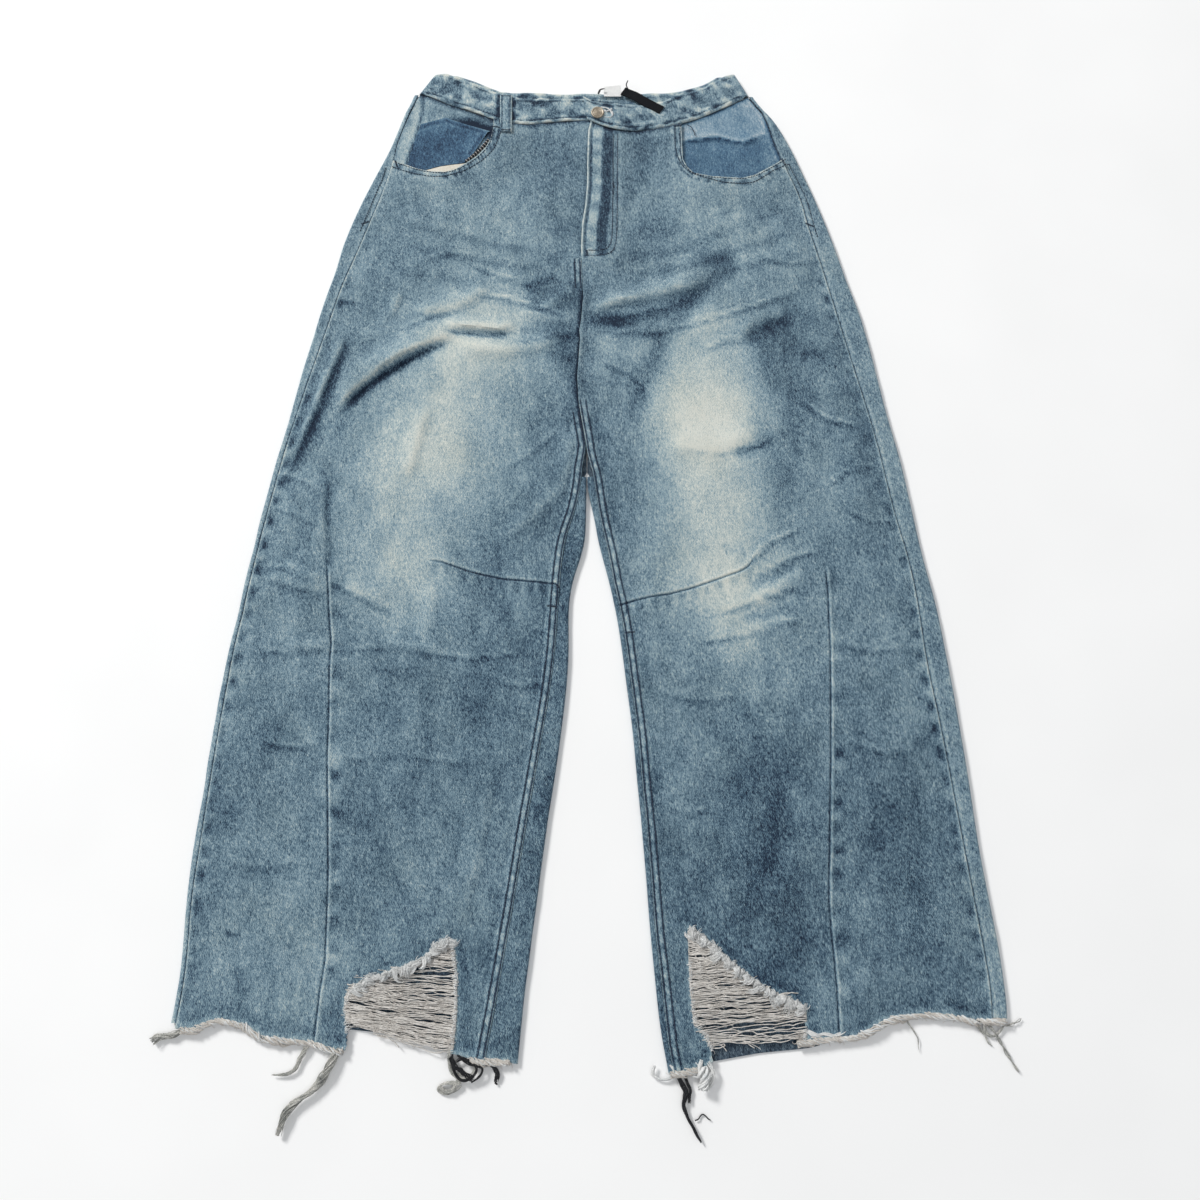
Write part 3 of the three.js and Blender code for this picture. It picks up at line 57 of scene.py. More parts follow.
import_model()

# ------------------------------------------------------------------ cut lines
CURVES = {
    'out_r': [[-193.0,522.3],[-197.3,518.4],[-203.4,505.5],[-207.3,492.6],[-211.2,479.8],[-218.9,454.4],[-229.8,429.2],[-240.6,404.3],[-250.2,379.7],[-258.6,355.3],[-265.9,331.1],[-269.8,307.2],[-277.0,283.5],[-283.0,260.0],[-287.9,236.8],[-292.7,213.7],[-298.6,190.9],[-302.3,168.4],[-307.0,146.0],[-310.7,123.8],[-316.3,101.9],[-320.9,80.1],[-324.4,58.6],[-328.9,37.2],[-332.4,16.1],[-334.8,-4.8],[-339.2,-25.6],[-342.6,-46.2],[-343.9,-66.6],[-348.2,-86.8],[-351.5,-106.8],[-353.8,-126.6],[-356.1,-146.3],[-358.3,-165.8],[-359.5,-185.1],[-361.7,-204.3],[-363.0,-223.3],[-363.7,-242.1],[-365.9,-260.7],[-368.0,-279.2],[-369.2,-297.6],[-370.4,-315.7],[-371.0,-333.8],[-371.3,-351.6],[-371.0,-369.4],[-370.8,-386.9],[-371.0,-404.4],[-372.2,-421.6],[-374.2,-438.8],[-376.2,-455.8],[-378.2,-472.6]],
    'out_l': [[177.7,524.9],[179.7,518.4],[192.7,505.5],[203.3,492.6],[209.4,479.8],[221.7,454.4],[230.5,429.2],[240.3,404.3],[248.9,379.7],[256.4,355.3],[263.8,331.1],[270.0,307.2],[276.2,283.5],[284.4,260.0],[289.4,236.8],[294.4,213.7],[298.2,190.9],[302.1,168.4],[305.9,146.0],[310.6,123.8],[315.4,101.9],[319.6,80.1],[322.7,58.6],[325.8,37.2],[328.9,16.1],[331.9,-4.8],[335.9,-25.6],[339.9,-46.2],[343.9,-66.6],[346.3,-86.8],[348.7,-106.8],[351.1,-126.6],[353.4,-146.3],[355.3,-165.8],[357.2,-185.1],[359.0,-204.3],[360.8,-223.3],[362.1,-242.1],[363.4,-260.7],[364.8,-279.2],[366.0,-297.6],[368.3,-315.7],[370.4,-333.8],[372.6,-351.6],[374.8,-369.4],[376.9,-386.9],[378.1,-404.4],[379.3,-421.6],[379.6,-438.8],[378.5,-455.8],[377.4,-468.4]],
    'inn_r': [[-2.5,123.8],[-2.3,54.3],[-2.8,37.2],[-2.8,16.1],[-4.7,-4.8],[-12.6,-25.6],[-17.9,-46.2],[-19.8,-66.6],[-19.6,-86.8],[-19.0,-106.8],[-19.9,-126.6],[-21.2,-146.3],[-23.4,-165.8],[-25.7,-185.1],[-27.9,-204.3],[-30.6,-223.3],[-33.3,-242.1],[-36.4,-260.7],[-39.0,-279.2],[-41.1,-297.6],[-43.7,-315.7],[-45.8,-333.8],[-47.8,-351.6],[-50.4,-369.4],[-52.4,-386.9],[-54.4,-404.4],[-56.9,-421.6],[-58.4,-438.8],[-59.9,-455.8],[-61.4,-472.6],[-62.9,-491.0]],
    'inn_l': [[-1.9,123.8],[-1.7,54.3],[4.2,37.2],[7.3,16.1],[11.3,-4.8],[17.3,-25.6],[22.2,-46.2],[26.6,-66.6],[30.0,-86.8],[32.8,-106.8],[35.2,-126.6],[37.5,-146.3],[40.2,-165.8],[42.5,-185.1],[44.3,-204.3],[45.6,-223.3],[47.3,-242.1],[49.1,-260.7],[50.8,-279.2],[52.0,-297.6],[53.7,-315.7],[54.9,-333.8],[56.1,-351.6],[57.3,-369.4],[58.9,-386.9],[60.6,-404.4],[62.2,-421.6],[63.8,-438.8],[65.8,-455.8],[68.7,-472.6],[72.1,-489.4],[74.6,-501.8]],
    'os_r': [[-200.7,505.7],[-207.5,483.9],[-212.9,456.0],[-217.0,425.9],[-227.5,393.6],[-240.6,353.4],[-252.6,317.3],[-263.7,286.5],[-273.2,249.1],[-281.7,216.8],[-289.3,188.4],[-298.4,152.4],[-305.7,123.7],[-311.2,99.6],[-319.4,57.5],[-327.4,15.1],[-337.6,-47.0],[-346.6,-107.4],[-354.7,-185.5],[-359.3,-242.3],[-366.3,-333.7],[-367.0,-386.7],[-367.9,-421.4],[-371.7,-453.7],[-373.7,-470.5]],
    'os_l': [[184.6,510.9],[195.2,495.4],[200.8,467.4],[204.7,456.0],[212.6,432.1],[221.5,410.9],[229.5,393.6],[235.5,359.4],[244.6,325.1],[252.6,292.4],[260.4,258.4],[269.8,217.9],[278.3,182.7],[288.3,141.3],[296.3,104.0],[303.7,58.6],[308.9,29.9],[315.2,3.6],[320.4,-22.3],[324.7,-53.1],[328.0,-96.4],[329.8,-119.3],[334.0,-148.7],[339.0,-184.5],[345.4,-238.6],[351.5,-291.2],[357.6,-342.7],[362.5,-383.3],[366.4,-423.1],[365.1,-447.8],[363.4,-468.0]],
    'is_r': [[-3.1,122.6],[-3.5,104.0],[-7.0,73.6],[-11.4,42.6],[-22.7,9.9],[-26.5,-16.1],[-28.3,-37.8],[-30.0,-67.3],[-33.0,-114.3],[-38.4,-156.5],[-48.6,-218.8],[-58.5,-279.3],[-68.1,-342.7],[-76.7,-395.5],[-83.1,-434.2],[-91.8,-482.2],[-93.7,-495.5]],
    'is_l': [[-1.5,122.6],[-1.0,106.1],[4.2,75.8],[10.3,33.1],[20.3,-10.9],[29.0,-63.2],[34.2,-106.4],[41.6,-172.0],[45.1,-214.1],[51.6,-279.3],[57.9,-342.7],[65.1,-396.3],[69.9,-442.7],[74.6,-489.7],[75.7,-501.3]],
    'vs_r': [[-272.8,155.8],[-268.0,76.8],[-262.2,4.7],[-258.5,-36.7],[-255.0,-73.4],[-251.4,-101.4],[-252.0,-123.2],[-249.6,-172.0],[-248.5,-214.1],[-241.5,-315.8],[-239.5,-395.5],[-242.8,-423.1],[-245.8,-468.0]],
    'vs_l': [[217.9,155.8],[221.3,94.2],[228.1,63.9],[233.1,42.6],[234.7,-5.7],[236.7,-47.0],[236.1,-106.4],[234.1,-155.6],[231.1,-214.1],[222.8,-342.7],[223.9,-375.4],[226.2,-417.9],[226.3,-468.0]],
    'kd_r': [[-162.9,-16.1],[-146.9,-17.7],[-116.7,-28.5],[-85.8,-35.7],[-60.0,-37.8],[-32.3,-40.8],[-26.3,-47.0]],
    'kd_l': [[166.7,-10.9],[159.4,-22.3],[151.3,-27.5],[126.2,-36.7],[103.3,-44.9],[80.4,-51.0],[60.6,-54.1],[43.8,-58.2],[29.0,-63.2]],
    'cf': [[0.2,502.3],[1.3,489.5],[-1.9,475.5],[-2.9,436.4],[-2.8,411.5],[-4.9,381.9],[-8.1,361.2],[-9.1,333.4],[-7.9,304.8],[-6.7,273.0],[-8.7,247.4],[-10.7,234.6],[-9.7,226.6],[-12.6,182.2],[-10.8,153.1],[-3.0,107.9]],
    'hemf_r': [[-384.3,-452.9],[-376.0,-453.6],[-367.7,-454.5],[-359.5,-455.7],[-351.2,-454.7],[-342.9,-450.6],[-334.6,-447.9],[-326.4,-447.9],[-318.1,-449.2],[-309.8,-451.8],[-301.5,-457.2],[-293.2,-462.1],[-285.0,-463.7],[-276.7,-464.3],[-268.4,-464.9],[-260.1,-465.4],[-251.8,-466.1],[-243.6,-467.8],[-235.3,-470.5],[-227.0,-473.0],[-218.7,-472.9],[-210.4,-470.8],[-202.2,-470.1],[-193.9,-470.6],[-185.6,-471.1],[-177.3,-471.6],[-169.1,-472.1],[-160.8,-472.6],[-152.5,-473.1],[-144.2,-473.5],[-135.9,-474.0],[-127.7,-474.6],[-119.4,-475.8],[-111.1,-477.9],[-102.8,-480.5],[-94.6,-482.2],[-86.3,-482.7],[-78.0,-483.1]],
    'hemf_l': [[60.3,-492.2],[68.5,-492.2],[76.8,-492.0],[85.0,-491.4],[93.2,-490.4],[101.4,-487.6],[109.7,-483.7],[117.9,-480.7],[126.1,-478.4],[134.3,-476.1],[142.6,-473.8],[150.8,-471.6],[159.0,-470.0],[167.3,-469.0],[175.5,-468.1],[183.7,-467.1],[191.9,-466.2],[200.2,-465.3],[208.4,-464.6],[216.6,-463.9],[224.8,-463.0],[233.1,-462.1],[241.3,-460.9],[249.5,-458.8],[257.8,-454.4],[266.0,-450.0],[274.2,-447.0],[282.4,-445.0],[290.7,-444.1],[298.9,-443.4],[307.1,-443.0],[315.4,-443.3],[323.6,-443.8],[331.8,-444.6],[340.0,-446.3],[348.3,-447.9],[356.5,-448.4],[364.7,-448.6],[372.9,-448.6],[381.2,-448.3],[389.4,-447.8]],
    'hemb_r': [[-386.3,-449.1],[-377.9,-449.7],[-369.6,-449.7],[-361.2,-449.2],[-352.8,-448.8],[-344.4,-448.3],[-336.1,-447.8],[-327.7,-447.4],[-319.3,-446.9],[-310.9,-447.5],[-302.6,-449.3],[-294.2,-451.2],[-285.8,-453.1],[-277.5,-455.1],[-269.1,-457.0],[-260.7,-458.8],[-252.3,-459.9],[-244.0,-460.7],[-235.6,-459.6],[-227.2,-454.5],[-218.8,-455.0],[-210.5,-455.8],[-202.1,-456.6],[-193.7,-457.4],[-185.4,-458.2],[-177.0,-459.6],[-168.6,-461.6],[-160.2,-464.0],[-151.9,-466.5],[-143.5,-469.1],[-135.1,-471.4],[-126.8,-473.4],[-118.4,-474.7],[-110.0,-475.9],[-101.6,-477.1],[-93.3,-478.4],[-84.9,-480.0],[-76.5,-481.6],[-68.1,-483.2],[-59.8,-484.5],[-51.4,-485.3]],
    'hemb_l': [[60.4,-494.5],[68.7,-493.8],[76.9,-492.2],[85.2,-489.9],[93.5,-487.5],[101.7,-485.2],[110.0,-483.0],[118.2,-481.4],[126.5,-480.0],[134.8,-478.6],[143.1,-477.2],[151.3,-475.8],[159.6,-474.8],[167.8,-474.1],[176.1,-473.3],[184.4,-472.6],[192.6,-471.8],[200.9,-470.7],[209.2,-468.8],[217.4,-466.4],[225.7,-463.3],[234.0,-456.5],[242.2,-452.9],[250.5,-449.9],[258.8,-446.8],[267.0,-444.4],[275.3,-442.6],[283.6,-440.9],[291.8,-439.2],[300.1,-437.5],[308.4,-436.2],[316.6,-435.9],[324.9,-436.4],[333.1,-437.4],[341.4,-441.1],[349.7,-444.0],[357.9,-444.5],[366.2,-445.0],[374.5,-445.6],[382.7,-446.1],[391.0,-446.6]],
    'wbt_r': [[-185.6,529.2],[-180.4,539.6],[-173.0,548.7],[-161.9,550.0],[-144.9,543.5],[-128.0,536.9],[-111.1,528.4],[-99.8,523.5],[-77.5,518.2],[-55.3,517.5],[-26.4,516.9],[-7.6,517.5],[11.3,516.2],[24.6,514.9]],
    'wbt_l': [[-7.6,519.3],[1.3,513.4],[13.5,510.3],[35.7,509.4],[55.6,509.0],[81.1,513.4],[92.3,519.9],[104.6,525.0],[125.9,531.6],[141.7,541.3],[151.8,546.6],[162.0,549.2],[171.5,533.5]],
    'wbb_r': [[-190.0,523.5],[-179.3,521.1],[-168.5,516.0],[-157.8,510.9],[-147.1,507.0],[-136.3,503.2],[-125.6,499.1],[-114.9,494.8],[-104.2,490.7],[-93.4,487.6],[-82.7,485.8],[-72.0,484.6],[-61.2,485.1],[-50.5,486.7],[-39.8,488.0],[-29.1,488.9],[-18.3,489.4],[-7.6,489.7],[3.1,489.3],[13.9,488.4],[24.6,487.5]],
    'wbb_l': [[-3.1,490.0],[7.5,484.6],[18.1,479.9],[28.7,476.9],[39.2,476.0],[49.8,476.5],[60.4,477.6],[71.0,478.9],[81.6,480.4],[92.2,482.7],[102.8,486.0],[113.4,489.7],[124.0,493.9],[134.6,498.8],[145.1,504.0],[155.7,509.4],[166.3,515.1],[176.9,520.9]],
    'wbk_t': [[-183.5,541.0],[-173.9,552.8],[-162.7,554.8],[-145.7,548.9],[-128.7,542.3],[-111.7,534.5],[-100.4,529.3],[-78.0,526.7],[-33.3,526.0],[13.5,525.4],[58.2,525.4],[83.9,527.3],[100.7,529.9],[126.5,537.8],[142.5,547.6],[152.7,552.8],[162.8,554.8],[170.4,543.6]],
    'poc_r': [[-105.9,492.6],[-106.6,477.3],[-108.5,465.9],[-113.8,454.5],[-123.3,443.2],[-136.2,433.2],[-146.9,426.3],[-157.7,423.2],[-174.0,423.8],[-189.5,427.6],[-203.3,433.2],[-213.9,436.9]],
    'poc_l': [[100.7,486.2],[101.2,463.3],[101.8,439.4],[106.3,429.4],[113.7,422.0],[134.3,417.6],[153.9,416.4],[165.9,415.7],[180.1,419.5],[192.4,426.9],[204.7,434.4],[213.7,440.7]],
    'fly_j': [[30.0,472.2],[29.8,413.3],[29.1,364.2],[28.4,338.8],[26.3,329.2],[22.0,323.2],[11.3,322.0],[-7.9,322.0]],
    'loop': [[-99.7,520.6],[-86.4,520.6],[-85.4,473.2],[-98.6,473.2]],
    'button': [[8.7,495.9]],
    'rip_r': [[-215.6,-456.7],[-218.5,-435.1],[-214.8,-422.5],[-199.1,-414.0],[-181.3,-407.1],[-166.1,-402.8],[-148.1,-395.0],[-138.3,-385.3],[-130.6,-378.6],[-124.5,-382.6],[-120.0,-409.4],[-119.5,-438.4],[-121.7,-467.9],[-124.0,-476.7]],
    'rip_l': [[93.4,-367.4],[102.7,-374.9],[114.3,-383.6],[130.4,-399.3],[152.6,-415.7],[168.6,-426.1],[190.8,-433.7],[195.7,-441.1],[196.0,-454.5],[194.8,-463.4],[111.8,-471.7],[107.7,-461.1],[97.2,-448.4],[94.7,-421.3],[93.8,-395.4]],
    'tassel': [[-227.4,-476.4],[-232.8,-490.5],[-240.1,-502.1],[-252.0,-510.3],[-263.0,-517.7],[-269.4,-528.3],[-272.7,-542.9]],
    'tassel2': [[-252.2,-470.7],[-256.1,-479.0],[-259.8,-490.7],[-265.8,-494.8],[-283.7,-493.2]],
    'knot_r': [[-121.7,-482.2],[-110.8,-490.5],[-99.9,-497.2]],
    'curl_r': [[-114.6,-490.9],[-117.7,-504.1],[-127.4,-507.4],[-132.9,-500.8]],
    'tail_r': [[-81.8,-480.9],[-81.5,-490.9],[-81.3,-501.6]],
    'tuft_r': [[-394.6,-466.6],[-388.1,-459.0],[-373.9,-457.3],[-353.8,-460.7]],
    'blk_l': [[84.3,-495.7],[90.4,-505.6],[83.9,-518.7],[87.3,-527.7],[92.4,-535.4],[100.0,-550.4]],
    'blk_l2': [[95.4,-530.6],[101.7,-524.8],[110.0,-530.6]],
    'knot_l': [[104.1,-481.2],[104.7,-492.9],[103.5,-506.1]],
    'thr_l': [[288.6,-446.4],[296.7,-460.0],[298.3,-475.2]],
    'thr_c1': [[365.5,-454.9],[373.9,-472.6],[385.6,-491.8]],
    'thr_c2': [[378.4,-452.0],[392.6,-445.6]],
    'thr_c3': [[355.6,-455.8],[363.3,-470.1]],
    'label': [[36.8,526.7],[49.0,520.3],[62.2,511.3],[79.7,501.0]],
    'poc_rx': [[-213.9,436.9],[-203.3,433.2],[-189.5,427.6],[-174.0,423.8],[-157.7,423.2],[-146.9,426.3],[-136.2,433.2],[-123.3,443.2],[-113.8,454.5],[-108.5,465.9],[-106.6,477.3],[-105.9,492.6]],
    'poc_lx': [[100.7,486.2],[101.2,463.3],[101.8,439.4],[106.3,429.4],[113.7,422.0],[134.3,417.6],[153.9,416.4],[165.9,415.7],[180.1,419.5],[192.4,426.9],[204.7,434.4],[213.7,440.7]],
    'mouth_r': [[-105.9,552.6],[-105.9,492.6],[-106.6,477.3],[-108.5,465.9],[-113.8,454.5],[-123.3,443.2],[-136.2,433.2],[-146.9,426.3],[-157.7,423.2],[-174.0,423.8],[-189.5,427.6],[-203.3,433.2],[-213.9,436.9],[-235.9,442.9],[-273.9,466.9],[-273.9,552.6]],
    'mouth_l': [[100.7,546.2],[100.7,486.2],[101.2,463.3],[101.8,439.4],[106.3,429.4],[113.7,422.0],[134.3,417.6],[153.9,416.4],[165.9,415.7],[180.1,419.5],[192.4,426.9],[204.7,434.4],[213.7,440.7],[235.7,448.7],[273.7,470.7],[273.7,546.2]],
    'mouth_rc': [[-105.9,552.6],[-105.9,492.6],[-106.6,477.3],[-108.5,465.9],[-113.8,454.5],[-123.3,443.2],[-136.2,433.2],[-146.9,426.3],[-157.7,423.2],[-174.0,423.8],[-189.5,427.6],[-203.3,433.2],[-213.9,436.9],[-235.9,442.9],[-273.9,466.9],[-273.9,552.6]],
    'mouth_lc': [[100.7,546.2],[100.7,486.2],[101.2,463.3],[101.8,439.4],[106.3,429.4],[113.7,422.0],[134.3,417.6],[153.9,416.4],[165.9,415.7],[180.1,419.5],[192.4,426.9],[204.7,434.4],[213.7,440.7],[235.7,448.7],[273.7,470.7],[273.7,546.2]],
    'rip_rn': [[-216.0,-457.1],[-219.0,-435.0],[-215.2,-422.2],[-199.3,-413.6],[-181.5,-406.7],[-166.2,-402.4],[-148.3,-394.6],[-138.6,-385.0],[-130.6,-378.0],[-124.1,-382.4],[-119.6,-409.3],[-119.1,-438.4],[-121.3,-468.0],[-123.7,-477.2],[-122.7,-517.2],[-217.0,-517.1]],
    'rip_ln': [[93.0,-366.6],[102.9,-374.5],[114.6,-383.2],[130.7,-398.9],[152.9,-415.3],[168.8,-425.6],[191.1,-433.3],[196.2,-441.0],[196.5,-454.6],[195.1,-463.8],[196.1,-523.8],[111.5,-522.2],[111.5,-472.2],[107.3,-461.3],[96.8,-448.6],[94.2,-421.4],[93.4,-395.4]],
    'bagpoly': [[-181.0,425.9],[-162.6,431.5],[-150.6,433.4],[-137.6,435.2],[-126.9,447.2],[-112.2,472.4],[-107.5,462.3],[-112.8,450.9],[-122.3,439.6],[-135.2,429.6],[-145.9,422.8],[-157.8,419.6],[-174.2,420.3],[-185.2,422.1]],
    'coinpoly': [[-186.6,484.5],[-159.2,492.9],[-137.9,484.5],[-110.1,475.6],[-112.8,474.4],[-127.4,447.8],[-138.1,435.8],[-151.1,434.0],[-163.1,432.1],[-181.5,426.5],[-199.2,429.6],[-197.1,445.9],[-192.4,464.8]],
    'labelwhite': [[15.8,520.8],[15.8,533.3],[34.8,535.2],[34.7,520.8]],
    'bandfold_r': [[-190.0,523.5],[-174.5,547.7]],
    'bandfold_l': [[176.9,520.9],[162.8,548.1]],
    'bandend_r': [[24.6,487.5],[24.6,514.9]],
    'bandend_l': [[-3.1,490.0],[-7.6,519.3]],
    'wbk_b': [[-190.0,523.5],[-179.5,520.3],[-169.0,516.8],[-158.6,512.8],[-148.1,508.8],[-137.6,504.6],[-127.1,500.5],[-116.6,496.9],[-106.1,494.2],[-95.7,491.8],[-85.2,489.8],[-74.7,488.5],[-64.2,487.3],[-53.7,486.2],[-43.2,485.5],[-32.8,485.1],[-22.3,484.8],[-11.8,484.4],[-1.3,484.2],[9.2,484.2],[19.7,484.4],[30.1,484.5],[40.6,484.7],[51.1,485.1],[61.6,485.6],[72.1,486.4],[82.5,487.8],[93.0,489.4],[103.5,491.6],[114.0,494.6],[124.5,498.0],[135.0,501.8],[145.4,506.3],[155.9,511.0],[166.4,515.9],[176.9,520.9]],
}
CADFOLDS = {
    'R': [[[[-124.4,239.6],[-155.3,230.4],[-190.1,215.6],[-220.3,196.4],[-244.1,177.3],[-263.1,149.5]],13,5.5],[[[-143.7,223.2],[-190.9,200.9],[-218.1,182.2],[-236.1,168.7],[-256.7,140.9]],8,-3.0],[[[-113.3,208.7],[-164.4,187.2],[-199.7,166.0],[-226.3,143.8],[-243.4,119.6]],12,4.0],[[[-254.5,231.9],[-269.1,196.6],[-282.3,158.4],[-292.6,127.5],[-304.0,99.1]],8,3.0],[[[-187.4,259.1],[-155.7,255.6],[-130.8,264.9],[-100.7,284.8]],9,3.5],[[[-157.7,234.6],[-93.6,230.0],[-72.6,233.5]],7,-2.0],[[[-16.2,283.0],[-36.1,269.0],[-51.8,256.2],[-83.2,246.9]],9,3.0],[[[-72.1,213.6],[-46.1,220.5],[-22.1,226.2]],9,2.5],[[[-173.9,154.0],[-168.1,110.0],[-172.5,66.8]],14,2.5],[[[-302.9,-18.3],[-261.0,-38.8],[-225.0,-48.0],[-185.1,-61.2]],12,2.5],[[[-206.5,-104.2],[-135.4,-109.2]],12,2.5]],
    'L': [[[[-4.4,256.8],[15.5,261.5],[55.5,275.4],[95.8,287.1],[127.8,301.2]],13,5.5],[[[-4.5,245.0],[34.5,248.5],[74.5,254.3],[101.1,267.1],[133.2,281.2]],9,-2.5],[[[11.3,225.1],[63.5,229.7],[116.0,241.2],[153.2,260.9]],12,3.5],[[[166.0,216.3],[185.7,240.4],[207.1,250.3]],8,-2.5],[[[182.9,207.4],[204.5,226.8],[227.1,241.7]],10,3.0],[[[89.7,103.4],[131.6,111.1],[167.7,122.0]],10,2.5],[[[154.6,-61.2],[187.8,-42.9],[213.2,-25.5]],10,2.5],[[[156.8,-84.3],[204.0,-77.3]],8,2.0]],
}
PUFF = {
    'R': [[-138.1,154.4,70,110,2.2],[-289.2,24.7,40,120,1.2],[-148.9,327.4,70,60,1.0]],
    'L': [[134.9,154.4,80,120,2.2],[222.3,268.3,60,90,1.2],[118.1,327.4,70,60,1.0]],
}
